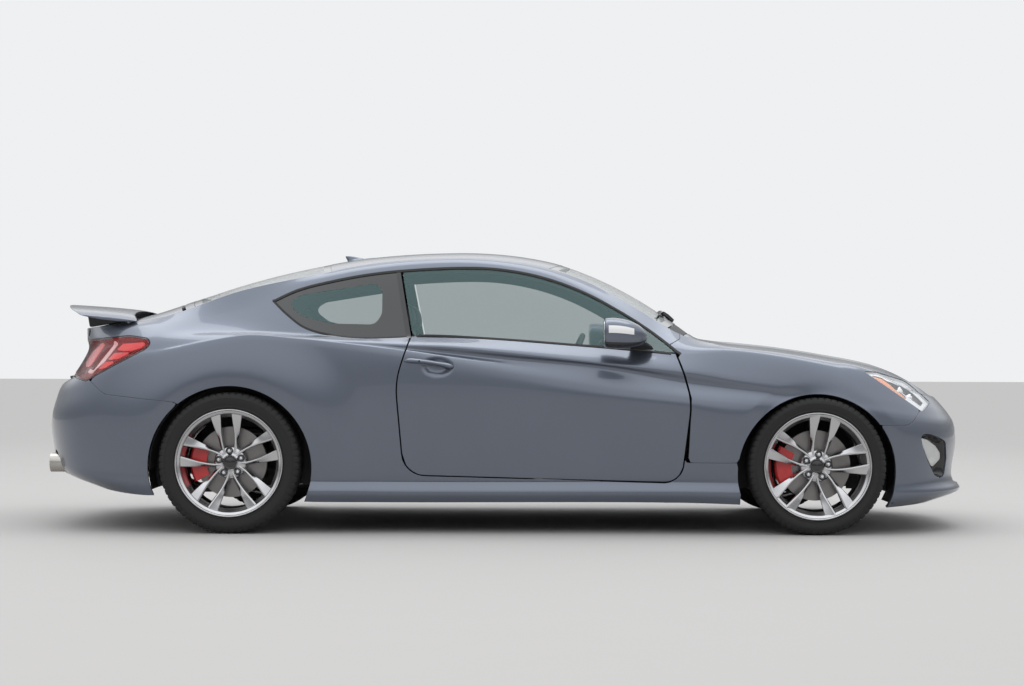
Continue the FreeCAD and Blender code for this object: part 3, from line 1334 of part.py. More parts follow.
def build_floor():
    """Floor, bulkhead, tunnel, seat step and rear wheel wells of the body shell."""
    main = plate([(BULKHEAD_X, 915), (BULKHEAD_X, 400), (800, FLOOR_Z), (-560, FLOOR_Z),
                  (-690, REAR_SEAT_Z - 5), (-960, REAR_SEAT_Z)], FLOOR_WALL,
                 -FLOOR_HALF_WIDTH, FLOOR_HALF_WIDTH)
    step = plate([(-945, REAR_SEAT_Z), (-1010, BOOT_FLOOR_Z), (BOOT_X[1], BOOT_FLOOR_Z)], FLOOR_WALL,
                 1 - REAR_WELL_Y[0], REAR_WELL_Y[0] - 1)
    half = TUNNEL_HALF_WIDTH
    gap = box(-700, BULKHEAD_X + 40, 8 - half, half - 8, 100, TUNNEL_Z - 12)
    tunnel = box(-690, BULKHEAD_X + 5, -half, half, FLOOR_Z - 20, TUNNEL_Z)
    hollow = box(-760, BULKHEAD_X + 60, 10 - half, half - 10, 100, TUNNEL_Z - 12)
    shape = main.fuse(step).cut(gap)
    shape = shape.fuse(tunnel.cut(hollow))
    wells = []
    for side in (1, -1):
        well = liner(REAR_AXLE_X, ARCH_Z_REAR, REAR_LINER_RADIUS, REAR_WELL_Y[0], REAR_WELL_Y[1],
                     300)
        well = well.cut(box(REAR_AXLE_X - 220, REAR_AXLE_X + 420, REAR_WELL_Y[0] - 10,
                            REAR_WELL_Y[0] + 10, 100, 500))
        wells.append(well if side == 1 else mirrored(well))
    return shape.fuse(wells)


def build_boot_floor():
    """Boot floor of flat plates: the floor behind the seats, the deep well and its sides."""
    low = BOOT_FLOOR_Z
    high = low + FLOOR_WALL
    front = BOOT_X[0]
    foot = WELL_Z + FLOOR_WALL
    plates = [box(front, BOOT_X[1] - SEAT_GAP, 1 - REAR_WELL_Y[0], REAR_WELL_Y[0] - 1, low, high),
              box(-2180, -1784, -BOOT_WELL_Y, BOOT_WELL_Y, WELL_Z, foot),
              prism([(front - SEAT_GAP, low), (front - SEAT_GAP, high), (front - 20, high),
                     (-1804, foot + SEAT_GAP), (-1784, foot + SEAT_GAP)], -BOOT_WELL_Y, BOOT_WELL_Y),
              prism([(-2180, foot + SEAT_GAP), (-2160, foot + SEAT_GAP), (-2170, 690), (-2190, 690)],
                    -BOOT_WELL_Y, BOOT_WELL_Y)]
    inner = BOOT_WELL_Y + SEAT_GAP
    outer = BOOT_WELL_Y + 15
    wall = prism([(front - SEAT_GAP, low), (front - SEAT_GAP, high), (-2185, high), (-2180, WELL_Z),
                  (-1790, WELL_Z)], inner, outer)
    ledge = box(-2110, front - SEAT_GAP, outer + SEAT_GAP, 650, low, high)
    return plates + [wall, ledge, mirrored(wall), mirrored(ledge)]


def build_rear_shelf():
    """Shelf under the rear window, and the panel that closes the boot behind the seats."""
    shelf = prism([(-1600, 952), (-1215, 945), (-1215, 961), (-1600, 968)], -690, 690)
    back = plate([(-1172, BOOT_FLOOR_Z + FLOOR_WALL + SEAT_GAP), (-1250, 942)], 18.0, -560, 560)
    return [shelf, back]


def build_rear_cradle():
    """Rear subframe with the final drive on its two cross bars."""
    x = REAR_AXLE_X
    z = TYRE_RADIUS_REAR
    frame = box(x - 170, x + 170, -REAR_CRADLE_Y, REAR_CRADLE_Y, z - 120, z - 70)
    frame = frame.cut(box(x - 120, x + 120, -REAR_CRADLE_Y + 60, REAR_CRADLE_Y - 60, 100, 400))
    drive = Part.makeCylinder(95, 2 * DRIVE_HALF, V(x, -DRIVE_HALF, z), V(0, 1, 0))
    nose = Part.makeCone(60, 45, DRIVE_NOSE - 60, V(x + 60, 0, z), V(1, 0, 0))
    uprights = [box(x + 125, x + 165, s * 300 - 30, s * 300 + 30, z - 75,
                    BOOT_FLOOR_Z - SEAT_GAP) for s in (1, -1)]
    saddle = box(x - 130, x + 130, -70, 70, z - 105, z - 75)
    return frame.fuse([drive, nose, saddle] + uprights)


def build_shafts():
    """Propeller shaft and the two half shafts, face to face with the final drive."""
    x = REAR_AXLE_X
    z = TYRE_RADIUS_REAR
    end = V(ENGINE_X[0] - SEAT_GAP, 0, PROPELLER_FRONT_Z)
    joint = V(x + DRIVE_NOSE + 60, 0, z)
    propeller = leg(V(x + DRIVE_NOSE + SEAT_GAP, 0, z), joint, 32)
    propeller = propeller.fuse([Part.makeSphere(32, joint), leg(joint, end - V(60, 0, 0), 32),
                                Part.makeSphere(32, end - V(60, 0, 0)), leg(end - V(60, 0, 0), end, 32)])
    reach = REAR_TRACK / 2 - 78 - SEAT_GAP
    halves = []
    for side in (1, -1):
        half = Part.makeCylinder(16, reach - DRIVE_HALF - SEAT_GAP,
                                 V(x, side * (DRIVE_HALF + SEAT_GAP), z), V(0, side, 0))
        boot = Part.makeCone(38, 22, 70, V(x, side * (DRIVE_HALF + SEAT_GAP), z), V(0, side, 0))
        halves.append(half.fuse(boot))
    return [propeller] + halves


def pipe(points, radius):
    """Pipe of straight runs with round joints."""
    runs = [leg(a, b, radius) for a, b in zip(points, points[1:])]
    joints = [Part.makeSphere(radius, p) for p in points[1:-1]]
    return runs[0].fuse(runs[1:] + joints)


def build_exhaust():
    """Twin exhaust: pipes under the floor, two silencers and two round tips."""
    pieces = []
    for side in (1, -1):
        y = side * EXHAUST_Y
        silencer = prism(rounded([(-1790, 205, 50), (-1790, 368, 50), (-1955, 368, 50),
                                  (-1955, 205, 50)]), y - 105, y + 105)
        stub = leg(V(-1950, y, EXHAUST_Z - 20), V(-2120, y, EXHAUST_Z), PIPE_RADIUS)
        tip = Part.makeCylinder(EXHAUST_TIP_RADIUS, 152, V(-2257, y, EXHAUST_Z), V(1, 0, 0))
        tip = tip.cut(Part.makeCylinder(EXHAUST_TIP_RADIUS - EXHAUST_WALL, 120,
                                        V(-2258, y, EXHAUST_Z), V(1, 0, 0)))
        route = [V(1000, side * 88, ENGINE_Z[0] - SEAT_GAP), V(1000, side * 88, 214),
                 V(-900, side * 88, 214), V(-1180, side * 200, 186), V(-1560, side * 330, 186),
                 V(-1700, y, 280), V(-1820, y, 280)]
        pieces.append(pipe(route, PIPE_RADIUS).fuse([silencer, stub, tip]))
    return pieces


def build_engine():
    """Engine and gearbox as one plain block with its two mounts."""
    x0, x1 = ENGINE_X
    z0, z1 = ENGINE_Z
    block = prism([(-ENGINE_HALF, z0 + 120), (-180, z0), (180, z0), (ENGINE_HALF, z0 + 120),
                   (ENGINE_HALF, z1 - 90), (200, z1), (-200, z1), (-ENGINE_HALF, z1 - 90)],
                  x0, x1, "x")
    mounts = [box(x0 + 380, x0 + 480, a, b, 400, 455) for a, b in
              ((ENGINE_HALF - 10, RAIL_Y[0] - SEAT_GAP), (SEAT_GAP - RAIL_Y[0], 10 - ENGINE_HALF))]
    return block.fuse(mounts)


# Cabin
SEAT_Y = 370.0
SEAT_WIDTH = 470.0
WHEEL_X = 330.0
WHEEL_Z = 800.0
WHEEL_RADIUS = 180.0
WHEEL_GRIP = 15.0
WHEEL_LEAN = 24.0
WIPER_PIVOTS = ((866.0, 180.0), (842.0, -330.0))


def build_front_seat():
    """Left front seat: cushion, leaning back and head rest on two runners."""
    low = FLOOR_Z + FLOOR_WALL + SEAT_GAP
    y0 = SEAT_Y - SEAT_WIDTH / 2
    y1 = SEAT_Y + SEAT_WIDTH / 2
    cushion = prism(rounded([(-330, 268, 40), (-340, 410, 60), (130, 455, 60), (190, 330, 50)]),
                    y0, y1)
    back = prism(rounded([(-230, 330, 50), (-440, 960, 60), (-560, 960, 50), (-390, 330, 40)]),
                 y0 + 10, y1 - 10)
    head = prism(rounded([(-455, 985, 40), (-480, 1130, 50), (-570, 1130, 40), (-555, 985, 30)]),
                 SEAT_Y - 130, SEAT_Y + 130)
    stays = [leg(V(-500, SEAT_Y + a, 900), V(-512, SEAT_Y + a, 1010), 7) for a in (-60, 60)]
    runners = [box(-300, 160, y - 20, y + 20, low, 300) for y in (y0 + 50, y1 - 50)]
    return cushion.fuse([back, head] + stays + runners)


def build_rear_seat():
    """Rear bench: cushion in the pan and back on the boot floor's edge."""
    low = REAR_SEAT_Z + FLOOR_WALL + SEAT_GAP
    cushion = prism(rounded([(-705, low, 10), (-690, 500, 50), (-985, 485, 30), (-935, low, 10)]),
                    -555, 555)
    back = prism(rounded([(-985, 520, 20), (-1110, 900, 60), (-1205, 915, 20), (-1130, 520, 10)]),
                 -545, 545)
    seat_top = BOOT_FLOOR_Z + FLOOR_WALL + SEAT_GAP
    link = box(-1090, -1012, -500, 500, seat_top, seat_top + 60)
    return cushion.fuse([link, back])


def build_dashboard():
    """Dashboard across the cabin with the centre console."""
    dash = prism(rounded([(884.7, 600, 0), (884.7, 880, 0), (700, 915, 60), (520, 880, 50),
                          (470, 780, 50), (560, 640, 60)]), -676, 676)
    console = prism(rounded([(600, 390, 0), (600, 700, 0), (430, 560, 80), (-350, 560, 50),
                             (-350, 390, 0)]), -105, 105)
    pod = prism(rounded([(620, 880, 20), (600, 958, 30), (480, 940, 30), (500, 870, 20)]),
                SEAT_Y - 150, SEAT_Y + 150)
    legs = box(-340, 590, -100, 100, TUNNEL_Z + SEAT_GAP, 420)
    return dash.fuse([console, pod, legs])


def build_steering_wheel(dash):
    """Steering wheel on its column, which ends at the dashboard."""
    centre = V(WHEEL_X, SEAT_Y, WHEEL_Z)
    lean = math.radians(WHEEL_LEAN)
    way = V(math.cos(lean), 0, -math.sin(lean))
    up = V(math.sin(lean), 0, math.cos(lean))
    rim = Part.makeTorus(WHEEL_RADIUS, WHEEL_GRIP, centre, way)
    hub = Part.makeCylinder(62, 46, centre - way * 10, way)
    spokes = []
    for turn in (0, 180, 270):
        a = math.radians(turn)
        reach = V(0, math.cos(a), 0) + up * math.sin(a)
        spokes.append(leg(centre + way * 14 + reach * 30, centre + reach * (WHEEL_RADIUS - 4), 13))
    column = leg(centre + way * 30, centre + way * 190, 30)
    return rim.fuse([hub, column] + spokes).cut(dash)


def strip(path, half, low, high):
    """Narrow bar lying over the top, along a plan path of x, y, between two heights above it."""
    loops = []
    for i, (x, y) in enumerate(path):
        a = path[max(i - 1, 0)]
        b = path[min(i + 1, len(path) - 1)]
        run = V(b[0] - a[0], b[1] - a[1], 0)
        run.normalize()
        aside = V(-run.y, run.x, 0) * half
        normal = top_normal(x, y)
        p = V(x, y, top_z(x, y))
        loops.append([p + normal * low + aside, p + normal * low - aside,
                      p + normal * high - aside * 0.6, p + normal * high + aside * 0.6])
    return rings(loops)


def build_wipers():
    """Two wiper arms with their blades, parked at the foot of the windscreen."""
    out = []
    for x, y in WIPER_PIVOTS:
        blade = strip([(x - 60 - 0.00012 * (y + k) ** 2, y + k) for k in (-230, -90, 60, 200, 330)],
                      7, 0.4, 15)
        arm = strip([(x + 10, y + 300), (x - 30, y + 160), (x - 62, y + 30)], 7, 3.5, 19)
        out.append(blade.fuse(arm))
    return out


def build_fin():
    """Aerial fin on the roof, its foot following the roof."""
    loops = []
    for rise, front, back, half in ((0, -688, -838, 26), (9, -700, -838, 17), (24, -758, -846, 8),
                                    (36, -822, -850, 3)):
        loop = []
        for k in range(12):
            a = 2 * math.pi * k / 12
            x = (front + back) / 2 + (front - back) / 2 * math.cos(a)
            y = half * math.sin(a)
            base = top_z(x, y) if rise < 10 else top_z(-838, 0)
            loop.append(V(x, y, base + rise - (4 if rise == 0 else 0)))
        loops.append(loop)
    return rings(loops)


# Write every node
save("floor_pan", build_floor())
save("boot_floor", *build_boot_floor())
save("rear_shelf", *build_rear_shelf())
save("front_structure", build_front_structure())
side = build_side()
wing = build_wing()
save_pair("side", side)
roof = build_roof()
save("roof_panel", roof)
save_pair("wing", wing)
save("front_bumper", build_front_bumper())
save("rear_bumper", build_rear_bumper())
save("grille", build_grille())
save("bonnet", build_bonnet())
save("rear_deck", build_deck())
lid = build_lid()
save("boot_lid", lid)
save("boot_spoiler", build_spoiler().cut(lid))
windscreen = build_windscreen()
cowl = build_cowl().cut([windscreen, side, wing, mirrored(side), mirrored(wing)])
save("windscreen", windscreen)
save("rear_window", build_rear_window())
door_pane, quarter_pane = build_side_glass()
save_pair("door_glass", door_pane)
save("quarter_glass", quarter_pane, mirrored(quarter_pane))
door = build_door()
save_pair("mirror", build_mirror().cut([door, door_pane]))
save_pair("door", door.fuse(build_handle()))
arms = hinge_arms()
save("door_hinges", *(arms + [mirrored(arm) for arm in arms]))
headlamp = build_headlamp()
save("headlamps", headlamp, mirrored(headlamp))
tail_lamp = build_tail_lamp()
save("tail_lamps", tail_lamp, mirrored(tail_lamp))
fog = polygon_cylinder(FOG_RADIUS, -45, 38)
save("fog_lamps", fog, mirrored(fog))
save("cowl_panel", cowl)
save("wipers", *[wiper.cut([windscreen, cowl]) for wiper in build_wipers()])
save("roof_fin", build_fin().cut(roof))
save("engine", build_engine())
save("exhaust", *build_exhaust())
save("front_cradle", build_front_cradle())
save("rear_cradle", build_rear_cradle())
save("drive_shafts", *build_shafts())
rear_knuckle = build_rear_knuckle()
save("rear_knuckles", rear_knuckle, mirrored(rear_knuckle))
save_pair("knuckle_front", build_front_knuckle())
save_pair("caliper_front", build_caliper(FRONT_AXLE_X, TYRE_RADIUS_FRONT, FRONT_TRACK / 2))
rear_caliper = build_caliper(REAR_AXLE_X, TYRE_RADIUS_REAR, REAR_TRACK / 2)
save("rear_calipers", rear_caliper, mirrored(rear_caliper))
for end, axle_x, radius, track, width, rim_half, first_spoke in (
        ("front", FRONT_AXLE_X, TYRE_RADIUS_FRONT, FRONT_TRACK, TYRE_WIDTH_FRONT, RIM_HALF_FRONT,
         FRONT_SPOKE_TURN),
        ("rear", REAR_AXLE_X, TYRE_RADIUS_REAR, REAR_TRACK, TYRE_WIDTH_REAR, RIM_HALF_REAR,
         REAR_SPOKE_TURN)):
    middle = track / 2
    save_pair("tyre_" + end, build_tyre(axle_x, radius, middle, radius, width, rim_half))
    save_pair("rim_" + end, build_rim(axle_x, radius, middle, rim_half, first_spoke))
    save_pair("brake_disc_" + end, build_disc(axle_x, radius, middle))
front_seat = build_front_seat()
save("front_seats", front_seat, mirrored(front_seat))
save("rear_seat", build_rear_seat())
dashboard = build_dashboard()
save("dashboard", dashboard)
save("steering_wheel", build_steering_wheel(dashboard))
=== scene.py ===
"""A two-door coupe: painted panels, glass, lamps, wheels and cabin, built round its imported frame."""
import math

import bpy
import numpy as np
from mathutils import Matrix, Vector


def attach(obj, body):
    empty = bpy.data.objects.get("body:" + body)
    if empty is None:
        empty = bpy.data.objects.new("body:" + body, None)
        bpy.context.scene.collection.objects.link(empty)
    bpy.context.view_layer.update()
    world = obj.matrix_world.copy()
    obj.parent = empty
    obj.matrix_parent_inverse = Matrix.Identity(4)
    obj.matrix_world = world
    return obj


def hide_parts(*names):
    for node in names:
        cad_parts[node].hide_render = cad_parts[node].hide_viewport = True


bl_info = {
    "name": "Coupe dressing",
    "version": (1, 0, 0),
    "blender": (4, 5, 0),
    "location": "View3D > Sidebar > Coupe",
    "description": "Builds the fine panels, wheels, lamps and cabin of a coupe on its frame",
    "category": "Object",
}

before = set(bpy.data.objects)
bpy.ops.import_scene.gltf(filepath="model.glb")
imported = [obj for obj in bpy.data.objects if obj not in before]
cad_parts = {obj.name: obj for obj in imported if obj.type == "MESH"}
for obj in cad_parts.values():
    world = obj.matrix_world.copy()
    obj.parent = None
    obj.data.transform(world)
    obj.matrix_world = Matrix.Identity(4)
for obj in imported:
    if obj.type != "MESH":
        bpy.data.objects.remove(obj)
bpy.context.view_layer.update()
MM = 0.001
MIRROR = np.array([1.0, -1.0, 1.0])

# Driving sizes, in millimetres
LENGTH = 4630.0
WHEELBASE = 2820.0
FRONT_AXLE_X = LENGTH / 2 - 825.0
REAR_AXLE_X = FRONT_AXLE_X - WHEELBASE
TRACK = {"front": 1605.0, "rear": 1618.0}
TYRE_RADIUS = {"front": 331.0, "rear": 339.0}
TYRE_WIDTH = {"front": 225.0, "rear": 245.0}
RIM_HALF = {"front": 108.0, "rear": 118.0}
AXLE_X = {"front": FRONT_AXLE_X, "rear": REAR_AXLE_X}
FIRST_SPOKE = {"front": 81.0, "rear": 94.0}
SPOKE_PAIRS = 5
NUT_CIRCLE = 57.15
RIM_SEAT = 241.3
RIM_LIP = 259.0
# Wheel arches: middle x and z, radius
ARCH = {"front": (FRONT_AXLE_X, 295.0, 382.0), "rear": (REAR_AXLE_X, 315.0, 392.0)}
NOSE_X = LENGTH / 2
TAIL_X = -LENGTH / 2
FRONT_CORNER_X = 1600.0
REAR_CORNER_X = -1690.0
FRONT_SQUARENESS = 2.5
REAR_SQUARENESS = 2.8
# Swell of the side over the wheels: middle x and z, how far it stands out
FLARES = ((FRONT_AXLE_X, 295.0, 19.0), (REAR_AXLE_X, 315.0, 26.0))
FLARE_CREST = 445.0
FLARE_END = 720.0
FLARE_TUCK = 7.0
FLARE_LIP = 392.0
BODY_WIDTH = 1865.0
SKIN = 12.0
EDGE_ROLL = 1.6

# Lines along the body side, lowest first: rows x, y, z, then how far the line ends behind the
# nose and ahead of the tail, with its height there.
SIDE_LINES = [
    ([(-1690, 845, 180), (-900, 862, 152), (880, 862, 152), (1600, 850, 122)],
     (140, 142), (250, 205)),
    ([(-1690, 868, 225), (-900, 888, 198), (880, 888, 198), (1600, 878, 178)],
     (0, 190), (110, 250)),
    ([(-1690, 876, 265), (-900, 866, 248), (880, 866, 248), (1600, 880, 238)],
     (24, 240), (45, 292)),
    ([(-1690, 884, 320), (-900, 872, 290), (880, 874, 290), (1600, 888, 300)],
     (34, 300), (20, 350)),
    ([(-1690, 906, 590), (-1100, 904, 640), (-500, 905, 640), (450, 909, 600), (880, 912, 560),
      (1600, 906, 480)], (20, 430), (0, 520)),
    ([(-1690, 888, 830), (-1282, 878, 925), (-994, 888, 912), (-800, 893, 893),
      (-515, 899, 858), (-276, 901, 820), (0, 904, 775), (450, 906, 705), (880, 910, 655),
      (1600, 902, 590)], (32, 520), (26, 640)),
    ([(-1690, 868, 885), (-1282, 858, 942), (-994, 868, 930), (-800, 870, 914),
      (-515, 870, 890), (-276, 867, 866), (0, 867, 838), (450, 867, 797), (880, 868, 725),
      (1120, 882, 695), (1600, 890, 640)], (60, 570), (55, 705)),
    ([(-1690, 842, 930), (-1282, 832, 958), (-994, 846, 944), (-800, 852, 930),
      (-515, 864, 912), (-276, 872, 901), (0, 880, 876), (450, 882, 828), (880, 882, 780),
      (1120, 890, 745), (1600, 872, 700)], (92, 610), (105, 745)),
    ([(-1690, 800, 972), (-1282, 793, 971), (-994, 797, 957), (-800, 801, 951),
      (-515, 802, 949), (0, 806, 936), (450, 812, 901), (800, 822, 868), (1120, 850, 872),
      (1350, 852, 845), (1600, 836, 800)], (118, 640), (180, 870)),
    ([(-1690, 752, 1008), (-1300, 708, 1080), (-1018, 668, 1176), (-724, 662, 1243),
      (-233, 660, 1284), (160, 664, 1241), (450, 684, 1127), (700, 722, 975), (850, 780, 912),
      (1050, 800, 902), (1350, 800, 868), (1600, 792, 826)], (136, 657), (172, 930)),
]
# Numbers of the belt line and of the upper edge among these lines
BELT = 8
RAIL = 10
# The belt line is a crease between these stations, and softens over the fade
CREASE_SPAN = (-1330.0, 1040.0)
CREASE_FADE = 240.0
# Upper edge of the body, rows x, y, z, and its middle line, rows x, z
RAIL_LINE = [(-2050, 740, 972), (-1690, 700, 1037), (-1320, 655, 1167), (-1020, 620, 1237),
             (-630, 600, 1312), (-230, 585, 1338), (60, 580, 1317), (260, 590, 1271),
             (460, 610, 1190), (650, 645, 1079), (850, 690, 962), (1040, 718, 913),
             (1330, 720, 879), (1620, 720, 826), (1820, 720, 777), (2000, 720, 705),
             (2165, 720, 590)]
MIDDLE_LINE = [(-2150, 985), (-1950, 1030), (-1775, 1073), (-1570, 1145), (-1366, 1212),
               (-1162, 1270), (-958, 1316), (-754, 1352), (-549, 1373), (-345, 1384),
               (-141, 1385), (63, 1368), (267, 1328), (472, 1252), (676, 1147), (880, 1012),
               (935, 962), (1000, 944), (1175, 927), (1378, 904), (1580, 874), (1782, 838),
               (1884, 808), (1985, 766), (2086, 703), (2165, 638)]
RAIL_ENDS = (150.0, 165.0)
CROWN_POWER = 2.2
# Inner faces of the side by line number: how far they turn down in degrees, and their depth
WALL_DROP = [(0, 0), (7, 0), (8, 12), (9, 35), (10, 60)]
SIDE_WALL = [(0, 50), (3, 66), (5, 84), (7, 60), (8, 48), (9, 38), (10, 32)]

# Shut lines and edges in side view: rows x, z, corner radius
DOOR_EDGE = [(-452, 985, 0), (-534, 730, 380), (-494, 284, 110), (836, 250, 90), (884, 660, 420),
             (806, 885, 0)]
WING_EDGE = [(776, 906, 0), (842, 943, 0), (842, 1150, 0), (2500, 1150, 0), (2500, 345, 0),
             (870, 345, 0), (884, 660, 0), (815, 860, 0)]
FRONT_BUMPER_EDGE = [(1760, 528, 0), (1945, 528, 60), (2045, 645, 0), (2045, 950, 0),
                     (2500, 950, 0), (2500, 0, 0), (1760, 0, 0)]
REAR_BUMPER_EDGE = [(-1585, 628, 0), (-1940, 665, 60), (-2035, 745, 0), (-2500, 757, 0),
                    (-2500, 0, 0), (-1585, 0, 0)]
HEADLAMP_EDGE = [(1722, 786, 0), (1800, 784, 60), (1965, 738, 160), (2080, 634, 0),
                 (2020, 590, 14), (1800, 734, 200)]
TAIL_LAMP_EDGE = [(-1694, 930, 26), (-1740, 880, 60), (-2040, 724, 20), (-2180, 760, 0),
                  (-2180, 928, 0), (-2010, 934, 200), (-1830, 950, 200)]
# Upper and lower edge of the side windows, and the line between them: rows x, z
WINDOW_TOP = [(-1142, 1118), (-1080, 1150), (-1018, 1176), (-920, 1203), (-724, 1243),
              (-527, 1268), (-233, 1284), (-37, 1277), (160, 1241), (356, 1173), (553, 1070),
              (700, 975), (834, 866)]
WINDOW_FOOT = [(834, 866), (594, 889), (255, 916), (-36, 937), (-375, 953), (-544, 945),
               (-714, 942), (-880, 960), (-990, 994), (-1080, 1060), (-1142, 1118)]
PILLAR_TOP = (-522, 1275)
PILLAR_FOOT = (-462, 940)
# Clear part of the quarter glass: rows x, z, corner radius
QUARTER_CLEAR = [(-1078, 1108, 30), (-1010, 1150, 60), (-650, 1208, 30), (-612, 1178, 30),
                 (-610, 1060, 60), (-640, 1006, 50), (-860, 1010, 80), (-1000, 1045, 60)]
# Openings seen along the car: rows y, z, corner radius
MOUTH = [(-505, 222, 60), (505, 222, 60), (430, 500, 60), (-430, 500, 60)]
PLATE_RECESS = [(-270, 560, 24), (270, 560, 24), (250, 705, 24), (-250, 705, 24)]
LAMP_INNER_Y = 470.0
FOG_INNER_Y = 520.0
EXHAUST_Y = 560.0
EXHAUST_Z = 322.0
EXHAUST_RADIUS = 48.0
# How far the cross lines of the top bow forward in the middle, at the windscreen and the deck
SCREEN_BOW = 84.0
ROOF_TAIL_BOW = -35.0
DECK_BOW = -70.0
# Gap between the upper edge of the sides and the fixed panels, and the bonnet and the lid
PANEL_INSET = 2.1
LID_INSET = 7.4
# Gap round the screens and the cowl, and the side glass's depth under the sides' surface
GLASS_INSET = 2.0
TOP_COLUMNS = 61
# Middles of the left hinge pins of the bonnet and the boot lid
BONNET_HINGE = (876.0, 600.0, 960.0)
LID_HINGE = (-1655.0, 130.0, 1106.0)
HINGE_RING = [(4, -6), (6, -6), (6, 6), (4, 6)]
HINGE_HALF = 5.0
CHEEKS = ((6.3, 11.3), (-11.3, -6.3))
SPOILER_HALF = 720.0
SPOILER_FOOT_Y = 470.0
SPOILER_FOOT_HALF = 22.0
MIRROR_WIDTH_SHARE = 0.985
MIRROR_POINTS = 48
# Values closer to a cut than this are taken to lie on it
SNAP = 0.3
BEVEL_ANGLE = 30.0
ROLL_TURNS = (30, 60, 90)


def along(rows, x):
    """Values at x from rows that start with x, by smooth steps that pass through every row."""
    rows = np.asarray(rows, float)
    x = np.clip(np.asarray(x, float), rows[0, 0], rows[-1, 0])
    k = np.clip(np.searchsorted(rows[:, 0], x, side="left") - 1, 0, len(rows) - 2)
    a = rows[np.maximum(k - 1, 0)]
    b = rows[k]
    c = rows[k + 1]
    d = rows[np.minimum(k + 2, len(rows) - 1)]
    span = (c[..., :1] - b[..., :1])
    t = (x[..., None] - b[..., :1]) / span
    rise_b = (c - a) / (c[..., :1] - a[..., :1]) * span
    rise_c = (d - b) / (d[..., :1] - b[..., :1]) * span
    out = (b * (2 * t ** 3 - 3 * t ** 2 + 1) + c * (3 * t ** 2 - 2 * t ** 3)
           + rise_b * (t ** 3 - 2 * t ** 2 + t) + rise_c * (t ** 3 - t ** 2))
    return out[..., 1:]


def smooth(t):
    """Soft step from 0 to 1."""
    t = np.clip(t, 0.0, 1.0)
    return t * t * (3 - 2 * t)


def lengths(vectors):
    """Lengths of rows of vectors, never zero."""
    return np.maximum(np.linalg.norm(vectors, axis=-1, keepdims=True), 1e-9)


def round_turns(count):
    """Even angles round a circle."""
    return np.arange(count) * 2 * math.pi / count


def round_corner(start, end, half_width, turn, squareness):
    """Plan points of a line that turns the corner, turn 0 on the side and 1 on the middle."""
    power = 2.0 / squareness
    angle = np.clip(turn, 0.0, 1.0) * math.pi / 2
    x = start + (end - start) * np.sin(angle) ** power
    y = half_width * np.maximum(np.cos(angle), 0.0) ** power
    return x, y


def rail_y(x):
    """Half width of the upper edge at x."""
    x = np.asarray(x, float)
    y = along(RAIL_LINE, x)[..., 0]
    for sign, start, end, squareness in (
            (1, FRONT_CORNER_X, NOSE_X - RAIL_ENDS[0], FRONT_SQUARENESS),
            (-1, REAR_CORNER_X, TAIL_X + RAIL_ENDS[1], REAR_SQUARENESS)):
        share = np.clip((x - start) / (end - start), 0.0, 1.0)
        edge = float(along(RAIL_LINE, start)[0])
        turned = edge * (1 - share ** squareness) ** (1 / squareness)
        y = np.where(sign * (x - start) > 0, turned, y)
    return y


def top_z(x, y):
    """Height of bonnet, screens, roof and lid at plan points."""
    middle = along(MIDDLE_LINE, x)[..., 0]
    edge = along(RAIL_LINE, x)
    return middle - (middle - edge[..., 1]) * (np.abs(y) / edge[..., 0]) ** CROWN_POWER


def flare(x, z):
    """How far the arches push the side out."""
    total = np.zeros(np.broadcast(x, z).shape)
    for centre_x, centre_z, crest in FLARES:
        r = np.hypot(x - centre_x, z - centre_z)
        fade = smooth((r - FLARE_CREST) / (FLARE_END - FLARE_CREST))
        total += np.where(r < FLARE_END, crest * (1 - fade), 0.0)
        tuck = FLARE_TUCK * np.clip((FLARE_CREST - r) / (FLARE_CREST - FLARE_LIP), 0.0, 1.0)
        total -= np.where(r < FLARE_CREST, tuck, 0.0)
    return total


def line_points(index, u):
    """Points of one side line at u: x along the side, and past each corner 1000 to the middle."""
    u = np.asarray(u, float)
    x = np.clip(u, REAR_CORNER_X, FRONT_CORNER_X)
    turn = np.abs(u - x) / 1000.0
    ahead = u > FRONT_CORNER_X
    if index == RAIL:
        y = rail_y(x)
        z = top_z(x, y)
        ends = ((NOSE_X - RAIL_ENDS[0], 0.0), (TAIL_X + RAIL_ENDS[1], 0.0))
    else:
        rows, nose, tail = SIDE_LINES[index]
        yz = along(rows, x)
        y = yz[..., 0]
        z = yz[..., 1]
        ends = ((NOSE_X - nose[0], nose[1]), (TAIL_X + tail[0], tail[1]))
    out_x, out_y, out_z = x.copy(), y.copy(), z.copy()
    for mask, start, (end, end_z), squareness in (
            (ahead & (turn > 0), FRONT_CORNER_X, ends[0], FRONT_SQUARENESS),
            (~ahead & (turn > 0), REAR_CORNER_X, ends[1], REAR_SQUARENESS)):
        half = float(along(RAIL_LINE, start)[0]) if index == RAIL else y
        cx, cy = round_corner(start, end, half, turn, squareness)
        if index == RAIL:
            cz = top_z(cx, cy)
        else:
            cz = z + (end_z - z) * smooth(np.abs(cx - start) / abs(end - start))
        out_x = np.where(mask, cx, out_x)
        out_y = np.where(mask, cy, out_y)
        out_z = np.where(mask, cz, out_z)
    return np.stack([out_x, out_y, out_z], -1)


